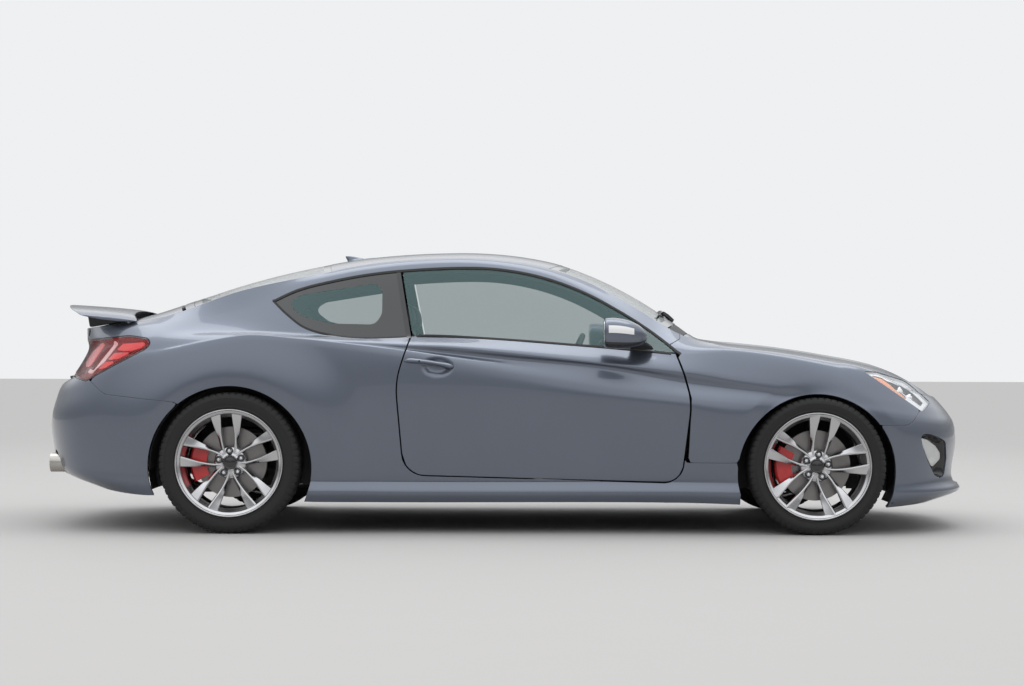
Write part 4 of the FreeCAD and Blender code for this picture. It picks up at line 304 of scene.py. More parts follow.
def side_points(u, v):
    """Points of the skin at u, with v one side line's number or a share between two."""
    u = np.asarray(u, float)
    k = min(int(v), RAIL - 1)
    t = v - k
    b = line_points(k, u)
    c = line_points(k + 1, u)
    a = line_points(k - 1, u) if k > 0 else b
    d = line_points(k + 2, u) if k + 2 <= RAIL else c
    rise_b = (c - a) * 0.5
    rise_c = (d - b) * 0.5
    within_span = np.minimum(CREASE_SPAN[1] - u, u - CREASE_SPAN[0]) / CREASE_FADE
    edge = np.clip(within_span, 0.0, 1.0)[..., None]
    if k == BELT:
        rise_b = rise_b * (1 - edge) + (c - b) * edge
    if k == BELT - 1:
        rise_c = rise_c * (1 - edge) + (c - b) * edge
    p = b * (2 * t ** 3 - 3 * t ** 2 + 1) + c * (3 * t ** 2 - 2 * t ** 3)
    p = p + rise_b * (t ** 3 - 2 * t ** 2 + t) + rise_c * (t ** 3 - t ** 2)
    turn = np.abs(u - np.clip(u, REAR_CORNER_X, FRONT_CORNER_X)) / 1000.0
    push = flare(p[..., 0], p[..., 2]) * np.maximum(1 - 2 * turn, 0.0) * min(1.0, (RAIL - v) / 2.0)
    p[..., 1] += push
    return p


def side_grid(us, vs):
    """Grid of skin points, one column for each v."""
    return np.stack([side_points(us, v) for v in vs], 1)


def end_grid(ahead, first, count, vs):
    """Grid that wraps one end of the car, from the left side round to the right."""
    start = FRONT_CORNER_X if ahead else REAR_CORNER_X
    sign = 1 if ahead else -1
    left = side_grid(start + sign * np.linspace(first, 1000.0, count), vs)
    right = left[-2::-1] * MIRROR
    return np.concatenate([left, right], 0)


def steps_between(counts, first=0.0):
    """Shares v from the first line up, with so many steps from each line to the next."""
    out = [first]
    for k, count in enumerate(counts):
        out += list(first + k + np.arange(1, count + 1) / count)
    return np.array(out)


def top_grid(stations, bows, count, inset=0.0):
    """Grid of the top between the upper edges, each station bowed forward by its sweep."""
    w = np.linspace(-1, 1, count)
    x = stations[:, None] - bows[:, None] * w[None] ** 2
    y = w[None] * np.maximum(rail_y(x) - inset, 4.0)
    return np.stack([x, y, top_z(x, y)], -1)


def grid_normals(points, out):
    """Unit normals of a grid, on the side that a rough outward direction names."""
    normal = np.cross(np.gradient(points, axis=0), np.gradient(points, axis=1))
    normal /= lengths(normal)
    sign = 1.0 if (normal * np.asarray(out)).sum() > 0 else -1.0
    return normal * sign, sign > 0


def rounded(corners, step=5.0):
    """Outline from rows a, b, radius: straight runs with each corner rounded in short steps."""
    out = []
    count = len(corners)
    for i, (x, z, radius) in enumerate(corners):
        if radius == 0:
            out.append((x, z))
            continue
        before = corners[i - 1]
        after = corners[(i + 1) % count]
        a = np.array([before[0] - x, before[1] - z], float)
        b = np.array([after[0] - x, after[1] - z], float)
        a /= np.hypot(*a)
        b /= np.hypot(*b)
        half = math.acos(float(np.clip(a @ b, -1, 1))) / 2
        reach = radius / math.tan(half)
        mid = (a + b) / np.hypot(*(a + b))
        centre = np.array([x, z]) + mid * radius / math.sin(half)
        p = np.array([x, z]) + a * reach - centre
        q = np.array([x, z]) + b * reach - centre
        start = math.atan2(p[1], p[0])
        sweep = (math.atan2(q[1], q[0]) - start + math.pi) % (2 * math.pi) - math.pi
        steps = max(2, int(abs(math.degrees(sweep)) / step + 0.5))
        for k in range(steps + 1):
            angle = start + sweep * k / steps
            out.append((centre[0] + radius * math.cos(angle), centre[1] + radius * math.sin(angle)))
    return np.array(out, float)


def inside(outline, a, b):
    """Distance of each point to an outline, positive inside it."""
    p = np.stack([a, b], -1)
    outline = np.asarray(outline, float)
    best = np.full(a.shape, 1e9)
    odd = np.zeros(a.shape, bool)
    for s, e in zip(outline, np.roll(outline, -1, 0)):
        run = e - s
        t = np.clip(((p - s) @ run) / max(run @ run, 1e-9), 0.0, 1.0)
        best = np.minimum(best, np.linalg.norm(p - s - t[..., None] * run, axis=-1))
        crosses = (s[1] > p[..., 1]) != (e[1] > p[..., 1])
        at = s[0] + (p[..., 1] - s[1]) / (run[1] if run[1] else 1e-9) * run[0]
        odd ^= crosses & (p[..., 0] < at)
    return np.where(odd, best, -best)


def resample(path, spacing):
    """Points at even steps round a closed path."""
    path = np.concatenate([path, path[:1]], 0)
    steps = np.linalg.norm(np.diff(path, axis=0), axis=1)
    reach = np.concatenate([[0.0], np.cumsum(steps)])
    at = np.linspace(0, reach[-1], max(int(reach[-1] / spacing), 2) + 1)[:-1]
    return np.stack([np.interp(at, reach, column) for column in path.T], -1)


def window_outline():
    """Outline of the side window opening."""
    top_x = np.linspace(WINDOW_TOP[0][0], WINDOW_TOP[-1][0], 90)
    foot_rows = sorted(WINDOW_FOOT)
    foot_x = np.linspace(WINDOW_TOP[0][0], WINDOW_TOP[-1][0], 80)
    top = np.stack([top_x, along(WINDOW_TOP, top_x)[:, 0]], -1)
    foot = np.stack([foot_x, along(foot_rows, foot_x)[:, 0]], -1)
    return np.concatenate([top, foot[-2:0:-1]], 0)


def pillar_side(x, z):
    """Distance ahead of the line between the two side windows."""
    lean = (PILLAR_TOP[0] - PILLAR_FOOT[0]) / (PILLAR_TOP[1] - PILLAR_FOOT[1])
    return x - (PILLAR_FOOT[0] + (z - PILLAR_FOOT[1]) * lean)


def side_y(x, z):
    """Half width of the skin at side view points between the corners."""
    x = np.asarray(x, float)
    z = np.asarray(z, float)
    columns = side_grid(x, np.linspace(0, RAIL, 200))
    return np.array([np.interp(level, column[:, 2], column[:, 1])
                     for column, level in zip(columns, z)])


def on_side(path, inset=0.0):
    """Skin points and normals of the left side under a side view path."""
    x, z = np.asarray(path, float).T
    reach = 4.0
    y = side_y(x, z)
    slope_x = (side_y(x + reach, z) - side_y(x - reach, z)) / (2 * reach)
    slope_z = (side_y(x, z + reach) - side_y(x, z - reach)) / (2 * reach)
    normals = np.stack([-slope_x, np.ones(len(x)), -slope_z], -1)
    normals /= lengths(normals)
    return np.stack([x, y, z], -1) - normals * inset, normals


def top_normals(x, y):
    """Unit normals of the top at plan points."""
    slope_x = (top_z(x + 4, y) - top_z(x - 4, y)) / 8
    slope_y = (top_z(x, y + 4) - top_z(x, y - 4)) / 8
    normal = np.stack([-slope_x, -slope_y, np.ones(np.shape(slope_x))], -1)
    return normal / lengths(normal)


def side_back(points, us, vs):
    """Inner faces of the side: level low down, turning down above, as deep as its wall."""
    run = line_points(4, us + 2.0) - line_points(4, us - 2.0)
    level = np.stack([run[:, 1], -run[:, 0], np.zeros(len(us))], -1)
    level /= lengths(level)
    drop = np.radians(along(WALL_DROP, vs)[:, 0])
    way = (level[:, None] * np.cos(drop)[None, :, None]
           - np.array([0.0, 0.0, 1.0]) * np.sin(drop)[None, :, None])
    if vs[-1] == RAIL:
        way[:, -1] = -top_normals(points[:, -1, 0], points[:, -1, 1])
    wall = np.tile(along(SIDE_WALL, vs)[:, 0], (len(us), 1))
    turn = np.clip((REAR_CORNER_X - us) / 1000.0 * 3, 0.0, 1.0)[:, None]
    return points + way * (wall + (22.0 - wall) * turn)[..., None]


class Skin:
    """A sheet of points with normals, clipped by a field, with rolled edges."""

    def __init__(self, points, out, back=None, wall=SKIN):
        self.points = points
        self.normals, self.forward = grid_normals(points, out)
        self.back = points - self.normals * wall if back is None else back
        self.field = np.full(points.shape[:2], 1e6)

    def keep(self, field, where=True):
        """Cut away what lies where a field is negative, in the region that is asked for."""
        self.field = np.where(where, np.minimum(self.field, field), self.field)
        return self

    def within(self, corners, across=False):
        """Distance inside an outline in side view, or in the view along the car."""
        return inside(rounded(corners), self.y if across else self.x, self.z)

    def clear(self, gap, *edges):
        """Cut away what lies inside outlines in side view, and a gap round them."""
        for corners in edges:
            self.keep(-self.within(corners) - gap)
        return self

    def clear_arch(self, *ends):
        """Cut away what lies inside the wheel arches."""
        for end in ends:
            centre_x, centre_z, radius = ARCH[end]
            self.keep(np.hypot(self.x - centre_x, self.z - centre_z) - radius)
        return self

    @property
    def x(self):
        return self.points[..., 0]

    @property
    def y(self):
        return self.points[..., 1]

    @property
    def z(self):
        return self.points[..., 2]

    def clipped(self, margin):
        """Vertices, normals, back vertices and faces of what is kept."""
        field = self.field - margin
        field[np.abs(field) < SNAP] = 0.0
        rows, cols = field.shape
        keep = field >= 0
        flat = field.ravel()
        number = np.full(rows * cols, -1)
        number[keep.ravel()] = np.arange(int(keep.sum()))
        data = np.concatenate([self.points, self.normals, self.back], -1).reshape(-1, 9)
        found = list(data[keep.ravel()])
        cut = {}
        faces = []

        def crossing(p, q):
            key = (min(p, q), max(p, q))
            if key not in cut:
                t = flat[p] / (flat[p] - flat[q])
                cut[key] = len(found)
                found.append(data[p] + (data[q] - data[p]) * t)
            return cut[key]

        corner = np.arange(rows * cols).reshape(rows, cols)
        cells = np.stack([corner[:-1, :-1], corner[1:, :-1], corner[1:, 1:], corner[:-1, 1:]], -1)
        cells = cells.reshape(-1, 4)
        held = keep.ravel()[cells]
        whole = held.all(1)
        faces += [tuple(row) for row in number[cells[whole]]]
        for cell in cells[held.any(1) & ~whole]:
            polygon = []
            for p, q in zip(cell, np.roll(cell, -1)):
                if flat[p] >= 0:
                    polygon.append(int(number[p]))
                if (flat[p] >= 0) != (flat[q] >= 0) and flat[p] != 0 and flat[q] != 0:
                    polygon.append(crossing(int(p), int(q)))
            if len(set(polygon)) > 2:
                faces.append(tuple(dict.fromkeys(polygon)))
        if not self.forward:
            faces = [face[::-1] for face in faces]
        found = np.array(found)
        normals = found[:, 3:6]
        normals /= lengths(normals)
        return found[:, :3], normals, found[:, 6:9], faces

    def mesh(self, roll=EDGE_ROLL, closed=True):
        """Vertices, normals and faces with rolled edges, and a back where it is closed."""
        points, normals, backs, faces = self.clipped(roll)
        sheet = len(faces)
        runs = {}
        for face in faces:
            for p, q in zip(face, face[1:] + face[:1]):
                if runs.pop((q, p), None) is None:
                    runs[(p, q)] = True
        count = len(points)
        aside = np.zeros((count, 3))
        for p, q in runs:
            way = np.cross(points[q] - points[p], normals[p] + normals[q])
            way /= max(np.linalg.norm(way), 1e-9)
            aside[p] += way
            aside[q] += way
        rim = sorted({p for run in runs for p in run})
        place = {p: i for i, p in enumerate(rim)}
        length = lengths(aside[rim])
        out = aside[rim] / length
        miter = np.clip(2.0 / length, 1.0, 1.5)
        all_points = [points]
        all_normals = [normals]
        rows = [np.array(rim)]
        total = count
        for turn in ROLL_TURNS:
            a = math.radians(turn)
            all_points.append(points[rim] + out * miter * roll * math.sin(a)
                              - normals[rim] * roll * (1 - math.cos(a)))
            all_normals.append(normals[rim] * math.cos(a) + out * math.sin(a))
            rows.append(np.arange(total, total + len(rim)))
            total += len(rim)
        deep = backs[rim] - points[rim]
        length = lengths(deep)
        reach = deep if closed else deep / length * np.minimum(length, SKIN)
        all_points.append(points[rim] + out * miter * roll + reach)
        all_normals.append(out)
        rows.append(np.arange(total, total + len(rim)))
        total += len(rim)
        for row_a, row_b in zip(rows, rows[1:]):
            for p, q in runs:
                faces.append((int(row_a[place[q]]), int(row_a[place[p]]),
                              int(row_b[place[p]]), int(row_b[place[q]])))
        shown = len(faces)
        if closed:
            all_points.append(backs)
            all_normals.append(-normals)
            faces += [tuple(int(k) + total for k in face[::-1]) for face in faces[:sheet]]
            for p, q in runs:
                faces.append((int(rows[-1][place[q]]), int(rows[-1][place[p]]), p + total, q + total))
        kinds = [0] * shown + [1] * (len(faces) - shown)
        return np.concatenate(all_points), np.concatenate(all_normals), faces, kinds


# Pieces of plain form


def loft(loops, closed_ends=True):
    """Points and faces through closed loops with as many points each."""
    loops = np.asarray(loops, float)
    rings, count = loops.shape[:2]
    points = list(loops.reshape(-1, 3))
    faces = []
    for i in range(rings - 1):
        for j in range(count):
            k = (j + 1) % count
            faces.append((i * count + j, i * count + k, (i + 1) * count + k, (i + 1) * count + j))
    if closed_ends:
        faces.append(tuple(range(count))[::-1])
        faces.append(tuple((rings - 1) * count + j for j in range(count)))
    return np.array(points), faces


def turned(profile, count):
    """Points and faces of a closed profile of rows radius, y turned about the Y axis."""
    profile = np.asarray(profile, float)
    angle = round_turns(count)
    loops = np.stack([np.stack([profile[:, 0] * math.cos(a), profile[:, 1],
                                profile[:, 0] * math.sin(a)], -1) for a in angle])
    rows = len(profile)
    faces = []
    for i in range(count):
        for j in range(rows):
            k = (j + 1) % rows
            after = (i + 1) % count * rows
            faces.append((i * rows + j, i * rows + k, after + k, after + j))
    return loops.reshape(-1, 3), faces


def swept(path, normals, profile):
    """Points and faces of a profile of rows across, up swept along a path with normals."""
    path = np.asarray(path, float)
    normals = np.asarray(normals, float)
    profile = np.asarray(profile, float)
    tangent = np.gradient(path, axis=0)
    across = np.cross(normals, tangent / lengths(tangent))
    across /= lengths(across)
    return loft(path[:, None] + across[:, None] * profile[None, :, :1]
                + normals[:, None] * profile[None, :, 1:2])


def tube(path, radius, sides):
    """Points and faces of a round bar along a path that stays away from the Y axis."""
    path = np.asarray(path, float)
    tangent = np.gradient(path, axis=0)
    tangent /= lengths(tangent)
    aside = np.cross(tangent, (0.0, 1.0, 0.0))
    aside /= lengths(aside)
    up = np.cross(aside, tangent)
    a = round_turns(sides)
    return loft(path[:, None] + radius * (aside[:, None] * np.cos(a)[None, :, None]
                                          + up[:, None] * np.sin(a)[None, :, None]))


def block(x0, x1, y0, y1, z0, z1):
    """Points and faces of a box."""
    points = [(x, y, z) for x in (x0, x1) for y in (y0, y1) for z in (z0, z1)]
    faces = [(0, 1, 3, 2), (4, 6, 7, 5), (0, 4, 5, 1), (2, 3, 7, 6), (0, 2, 6, 4), (1, 5, 7, 3)]
    return np.array(points, float), faces


def pushed(outline, near, far, axis=1):
    """Points and faces of an outline pushed along an axis."""
    outline = np.asarray(outline, float)
    return loft([np.insert(outline, axis, level, axis=1) for level in (near, far)])


def joined(*parts):
    """Several sets of points and faces as one."""
    points = []
    faces = []
    total = 0
    for some_points, some_faces in parts:
        points.append(np.asarray(some_points, float))
        faces += [tuple(int(k) + total for k in face) for face in some_faces]
        total += len(some_points)
    return np.concatenate(points), faces


def moved(part, shift):
    """A part moved."""
    return part[0] + np.asarray(shift, float), part[1]


def flipped(part):
    """A piece's mesh on the other side of the car."""
    if len(part) == 2:
        return part[0] * MIRROR, [tuple(face)[::-1] for face in part[1]]
    points, normals, faces, kinds = part
    return points * MIRROR, normals * MIRROR, [tuple(face)[::-1] for face in faces], kinds


def aimed(part, at, way):
    """A part turned so that its Y axis points a way, and moved."""
    way = np.asarray(way, float) / np.linalg.norm(way)
    aside = np.cross(way, (0.0, 0.0, 1.0))
    aside /= np.linalg.norm(aside)
    up = np.cross(aside, way)
    points = part[0]
    turned_points = points[:, :1] * aside + points[:, 1:2] * way + points[:, 2:] * up
    return turned_points + np.asarray(at, float), part[1]


def place(name, part, body, slot, finish, bevel=0.0, smooth_angle=38.0, subdivide=0,
          replaces=(), segments=2):
    """Make a piece from points in millimetres, and tie it to its body; the slot is not used."""
    points, faces = part[0], part[-1]
    normals = None
    kinds = None
    if len(part) == 4:
        points, normals, faces, kinds = part
    data = bpy.data.meshes.new(name)
    data.from_pydata((np.asarray(points) * MM).tolist(), [], [tuple(face) for face in faces])
    data.validate(clean_customdata=False)
    piece = bpy.data.objects.new(name, data)
    bpy.context.collection.objects.link(piece)
    data.shade_smooth()
    if normals is not None and len(data.vertices) == len(normals):
        data.normals_split_custom_set_from_vertices(np.asarray(normals).tolist())
    elif normals is None and not subdivide:
        data.set_sharp_from_angle(angle=math.radians(smooth_angle))
    finishes = finish if isinstance(finish, (list, tuple)) else [finish]
    for entry in finishes:
        data.materials.append(FINISHES[entry])
    if kinds is not None and len(finishes) > 1 and len(data.polygons) == len(kinds):
        data.polygons.foreach_set("material_index", kinds)
    if bevel:
        rule = piece.modifiers.new("edges", "BEVEL")
        rule.width = bevel * MM
        rule.segments = segments
        rule.limit_method = "ANGLE"
        rule.angle_limit = math.radians(BEVEL_ANGLE)
        rule.harden_normals = True
    if subdivide:
        rule = piece.modifiers.new("round", "SUBSURF")
        rule.levels = subdivide
        rule.render_levels = subdivide
    if body is None:
        return piece
    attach(piece, body)
    if replaces:
        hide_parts(*replaces)
    return piece


def paired(name, part, body, slot, finish, replaces=(), **options):
    """Make a left piece and its mirror image."""
    pieces = []
    for side, shape in (("left", part), ("right", flipped(part))):
        nodes = [node.replace("left", side) for node in replaces]
        pieces.append(place(name + "_" + side, shape, body.replace("left", side), slot, finish,
                            replaces=nodes, **options))
    return pieces


# Shader maths


FINISHES = {}


class Wire:
    """A shader socket that takes part in sums."""

    def __init__(self, nodes, socket):
        self.nodes = nodes
        self.socket = socket

    def maths(self, operation, *values):
        """The result of one Math node."""
        return self.nodes.node("ShaderNodeMath", dict(enumerate(values)),
                               {"operation": operation})

    def __add__(self, other):
        return self.maths("ADD", self, other)

    __radd__ = __add__

    def __sub__(self, other):
        return self.maths("SUBTRACT", self, other)

    def __rsub__(self, other):
        return self.maths("SUBTRACT", other, self)

    def __mul__(self, other):
        return self.maths("MULTIPLY", self, other)

    __rmul__ = __mul__

    def __truediv__(self, other):
        return self.maths("DIVIDE", self, other)

    def __rtruediv__(self, other):
        return self.maths("DIVIDE", other, self)

    def __pow__(self, other):
        return self.maths("POWER", self, other)

    def __rpow__(self, other):
        return self.maths("POWER", other, self)


class Nodes:
    """A node tree, emptied, whose nodes all come from one method."""

    def __init__(self, tree):
        self.tree = tree
        tree.nodes.clear()

    def node(self, kind, sockets=None, settings=None, output=0):
        """Any node: its type, the values or links of its sockets, its settings, its output."""
        node = self.tree.nodes.new(kind)
        for key, value in (settings or {}).items():
            if key == "stops":
                ramp = node.color_ramp.elements
                while len(ramp) < len(value):
                    ramp.new(0.5)
                for element, (at, color) in zip(ramp, value):
                    element.position = at
                    element.color = (*color, 1.0)
            else:
                setattr(node, key, value)
        for key, value in (sockets or {}).items():
            socket = node.inputs[key]
            if isinstance(value, Wire):
                self.tree.links.new(value.socket, socket)
            else:
                socket.default_value = (*value, 1.0) if isinstance(value, tuple) else value
        return Wire(self, node.outputs[output]) if node.outputs else None


class Finish(Nodes):
    """A material with its main shader, and the nodes that vary it."""

    def __init__(self, name, color, **settings):
        material = bpy.data.materials.new(name + "_finish")
        material.use_nodes = True
        super().__init__(material.node_tree)
        values = {key.replace("_", " "): value for key, value in settings.items()}
        shader = self.node("ShaderNodeBsdfPrincipled", {"Base Color": color, **values})
        self.node("ShaderNodeOutputMaterial", {"Surface": shader})
        self.shader = shader.socket.node
        self.place = self.node("ShaderNodeTexCoord", output="Object")
        FINISHES[name] = material

    def noise(self, scale, detail=2.0):
        """Cloudy values at a scale."""
        return self.node("ShaderNodeTexNoise", {"Vector": self.place, "Scale": scale,
                                                "Detail": detail, "Roughness": 0.5})

    def cells(self, scale):
        """Distance to scattered points at a scale."""
        return self.node("ShaderNodeTexVoronoi", {"Vector": self.place, "Scale": scale})

    def blend(self, factor, color_a, color_b):
        """Two colours mixed by a factor."""
        return self.node("ShaderNodeMix", {0: factor, 6: color_a, 7: color_b},
                         {"data_type": "RGBA"}, output=2)

    def feed(self, **sockets):
        """Link values to the main shader's sockets."""
        for key, value in sockets.items():
            self.tree.links.new(value.socket, self.shader.inputs[key.replace("_", " ")])

    def relief(self, height, strength, distance):
        """Raise and lower the surface's shading by a height."""
        self.feed(Normal=self.node("ShaderNodeBump", {"Height": height, "Strength": strength,
                                                      "Distance": distance}))


# Finishes varied by clouds alone. Columns: name, colour, the shader's settings, clouds on the
# roughness as scale, share and base, or clouds on the colour as scale, darker and lighter colour.
CLOUDED = (
    ("gloss_black", (0.012, 0.012, 0.014), {"Roughness": 0.12, "Coat_Weight": 0.6},
     (40.0, 0.06, 0.09)),
    ("glass_border", (0.010, 0.011, 0.011),
     {"Roughness": 0.06, "Coat_Weight": 1.0, "Coat_Roughness": 0.01}, (30.0, 0.04, 0.05)),
    ("clear_lens", (0.86, 0.89, 0.92),
     {"Roughness": 0.03, "Alpha": 0.22, "Coat_Weight": 1.0, "Coat_Roughness": 0.01},
     (25.0, 0.02, 0.02)),
    ("red_lens", (0.42, 0.006, 0.008),
     {"Roughness": 0.06, "Alpha": 0.30, "Coat_Weight": 1.0, "Coat_Roughness": 0.02},
     (18.0, (0.34, 0.004, 0.006), (0.56, 0.012, 0.014))),
    ("pale_light_guide", (0.86, 0.66, 0.64), {"Roughness": 0.12, "Coat_Weight": 1.0},
     (60.0, 0.1, 0.08)),
    ("frosted_lens", (0.62, 0.63, 0.62), {"Roughness": 0.3, "Alpha": 0.7, "Coat_Weight": 1.0},
     (70.0, 0.2, 0.2)),
    ("pale_signal", (0.80, 0.80, 0.80), {"Roughness": 0.15, "Coat_Weight": 1.0}, (50.0, 0.1, 0.1)),
    ("mirror_silver", (0.80, 0.82, 0.83), {"Metallic": 1.0, "Roughness": 0.02},
     (20.0, 0.02, 0.01)),
    ("red_reflector", (0.055, 0.002, 0.003), {"Roughness": 0.25}, (40.0, 0.2, 0.15)),
    ("dark_red_bar", (0.80, 0.018, 0.016), {"Roughness": 0.15, "Coat_Weight": 1.0},
     (60.0, 0.1, 0.1)),
    ("amber_lens", (0.85, 0.22, 0.02), {"Roughness": 0.08, "Coat_Weight": 1.0},
     (90.0, (0.75, 0.16, 0.01), (0.95, 0.30, 0.04))),
    ("reflector", (0.83, 0.84, 0.86), {"Metallic": 1.0, "Roughness": 0.12}, (80.0, 0.1, 0.06)),
    ("lamp_housing", (0.36, 0.37, 0.38), {"Roughness": 0.3, "Metallic": 0.8}, (120.0, 0.2, 0.25)),
    ("rim_pocket_grey", (0.10, 0.10, 0.105), {"Metallic": 0.7, "Roughness": 0.4},
     (200.0, 0.2, 0.32)),
    ("red_caliper", (0.52, 0.012, 0.014), {"Roughness": 0.3, "Coat_Weight": 0.7},
     (30.0, (0.42, 0.008, 0.01), (0.6, 0.02, 0.02))),
    ("bright_chrome", (0.78, 0.79, 0.80), {"Metallic": 1.0, "Roughness": 0.08},
     (50.0, 0.06, 0.05)),
    ("hinge_steel", (0.32, 0.32, 0.33), {"Metallic": 1.0, "Roughness": 0.35}, (150.0, 0.2, 0.25)),
)


# How much clouds and flakes vary the paint, and between which shares of its colour
CLOUD_SHARE = 0.10
FLAKE_SHARE = 0.22
PAINT_DARKEST = 0.84
PAINT_LIGHTEST = 1.18


def make_finishes(colors):
    """Every material of the car and of the floor."""
    for name, color, settings, (scale, first, second) in CLOUDED:
        finish = Finish(name, color, **settings)
        if isinstance(first, tuple):
            finish.feed(Base_Color=finish.blend(finish.noise(scale), first, second))
        else:
            finish.feed(Roughness=finish.noise(scale) * first + second)

    grey = tuple(colors.paint)
    paint = Finish("metallic_paint", grey, Metallic=0.72, Roughness=0.34, Coat_Weight=1.0,
                   Coat_Roughness=0.035, Coat_IOR=1.5)
    flakes = paint.noise(1600.0)
    cloud = paint.noise(2.2)
    shade = cloud * CLOUD_SHARE + flakes * FLAKE_SHARE
    dark = tuple(c * PAINT_DARKEST for c in grey)
    light = tuple(min(c * PAINT_LIGHTEST, 1.0) for c in grey)
    paint.feed(Base_Color=paint.blend(shade / (CLOUD_SHARE + FLAKE_SHARE), dark, light))
    paint.feed(Roughness=flakes * 0.14 + 0.27)
    paint.relief(flakes, 0.05, 0.0004)

    trim = Finish("black_plastic", (0.022, 0.022, 0.024), Roughness=0.55)
    grain = trim.noise(900.0, 3.0)
    trim.feed(Roughness=grain * 0.25 + 0.42, Base_Color=trim.blend(grain, (0.016, 0.016, 0.018),
                                                                   (0.032, 0.032, 0.034)))
    trim.relief(grain, 0.25, 0.0006)

    seal = Finish("seal_rubber", (0.014, 0.014, 0.014), Roughness=0.7)
    seal.relief(seal.noise(500.0), 0.15, 0.0004)

    glass = Finish("tinted_glass", tuple(colors.tint), Roughness=0.02, Coat_Weight=1.0,
                   Coat_Roughness=0.0, Alpha=0.5)
    glass.feed(Alpha=glass.noise(1.2) * 0.04 + 0.46)

    alloy = Finish("dark_chrome", (0.40, 0.40, 0.41), Metallic=1.0, Roughness=0.18)
    mottle = alloy.noise(7.0, 3.0)
    alloy.feed(Roughness=alloy.noise(300.0) * 0.10 + 0.14,
               Base_Color=alloy.blend(mottle, (0.50, 0.50, 0.51), (0.62, 0.62, 0.63)))

    rubber = Finish("tyre_rubber", (0.017, 0.017, 0.018), Roughness=0.72)
    dust = rubber.noise(9.0, 4.0)
    rubber.feed(Base_Color=rubber.blend(dust ** 2.0, (0.007, 0.007, 0.008), (0.020, 0.019, 0.018)),
                Roughness=dust * 0.25 + 0.6)
    rubber.relief(rubber.noise(700.0), 0.3, 0.0005)

    iron = Finish("brake_iron", (0.30, 0.29, 0.28), Metallic=0.95, Roughness=0.35)
    iron.feed(Roughness=iron.noise(60.0, 3.0) * 0.3 + 0.2,
              Base_Color=iron.blend(iron.noise(14.0), (0.20, 0.19, 0.185), (0.30, 0.29, 0.285)))

    cast = Finish("cast_iron", (0.06, 0.058, 0.055), Metallic=0.5, Roughness=0.6)
    rough = cast.noise(160.0, 4.0)
    cast.feed(Base_Color=cast.blend(rough, (0.035, 0.034, 0.033), (0.10, 0.092, 0.085)))
    cast.relief(rough, 0.4, 0.0012)

    under = Finish("underbody_coating", (0.035, 0.035, 0.037), Roughness=0.75)
    spray = under.noise(220.0, 4.0)
    under.feed(Base_Color=under.blend(spray, (0.022, 0.022, 0.024), (0.06, 0.058, 0.056)))
    under.relief(spray, 0.5, 0.0015)

    block_metal = Finish("cast_aluminium", (0.36, 0.36, 0.37), Metallic=0.9, Roughness=0.5)
    sand = block_metal.noise(260.0, 3.0)
    block_metal.feed(Roughness=sand * 0.3 + 0.35)
    block_metal.relief(sand, 0.3, 0.001)

    pipe = Finish("exhaust_steel", (0.52, 0.50, 0.47), Metallic=1.0, Roughness=0.28)
    heat = pipe.noise(6.0)
    pipe.feed(Base_Color=pipe.blend(heat, (0.40, 0.37, 0.33), (0.60, 0.59, 0.57)),
              Roughness=pipe.noise(90.0) * 0.25 + 0.16)

    leather = Finish("black_leather", (0.030, 0.029, 0.029), Roughness=0.5)
    hide = leather.cells(420.0)
    leather.feed(Roughness=hide * 0.25 + 0.36,
                 Base_Color=leather.blend(leather.noise(5.0), (0.022, 0.021, 0.021),
                                          (0.045, 0.044, 0.043)))
    leather.relief(hide, 0.35, 0.0006)

    cabin = Finish("cabin_trim", (0.035, 0.035, 0.037), Roughness=0.6)
    pebble = cabin.cells(700.0)
    cabin.feed(Roughness=pebble * 0.2 + 0.5)
    cabin.relief(pebble, 0.3, 0.0005)

    cloth = Finish("headliner_cloth", (0.16, 0.16, 0.16), Roughness=0.95)
    cloth.relief(cloth.noise(1200.0), 0.4, 0.0006)

    floor = Finish("studio_floor", tuple(colors.floor), Roughness=0.8)
    floor.feed(Roughness=floor.noise(3.0) * 0.1 + 0.75)


# Painted panels


TIP_START = 2290.0
TIP_SHARE = {"front": 0.19, "rear": 0.01}
TRIM_HALF = 0.5
SHUT_GAP = 6.0
WING_DOOR_GAP = 8.0
WING_GLASS_GAP = 2.0
# The quarter panel's top behind the rear window ends this far from the middle
TOP_INNER_Y = 506.0
# The front lip starts behind the nose, inside the bumper's foot, and a little above it
LIP_START_X = 1888.0
LIP_SHARE = np.array([0.993, 0.99, 1.0])
LIP_RISE = np.array([0.0, 0.0, 4.0])
# Doors: thickness of door and outer panel, half width to the inner face and to the closing rim
DOOR_THICK = 62.0
DOOR_PANEL = 10.0
DOOR_INNER_Y = 782.0
DOOR_RIM = 34.0
DOOR_RIM_Y = 838.0
# Hollow behind the door handle: middle x and z, half length, half height
HANDLE_HOLLOW = (-334.0, 805.0, 76.0, 46.0)
HANDLE_HOLLOW_DEPTH = 14.0
# Pockets for the door hinges in the doors' front edges: heights, half height, start, bottom
DOOR_HINGES_Z = (480.0, 655.0)
HINGE_POCKET_HALF = 34.0
HINGE_POCKET_X = 735.0
HINGE_POCKET_Y = 872.0
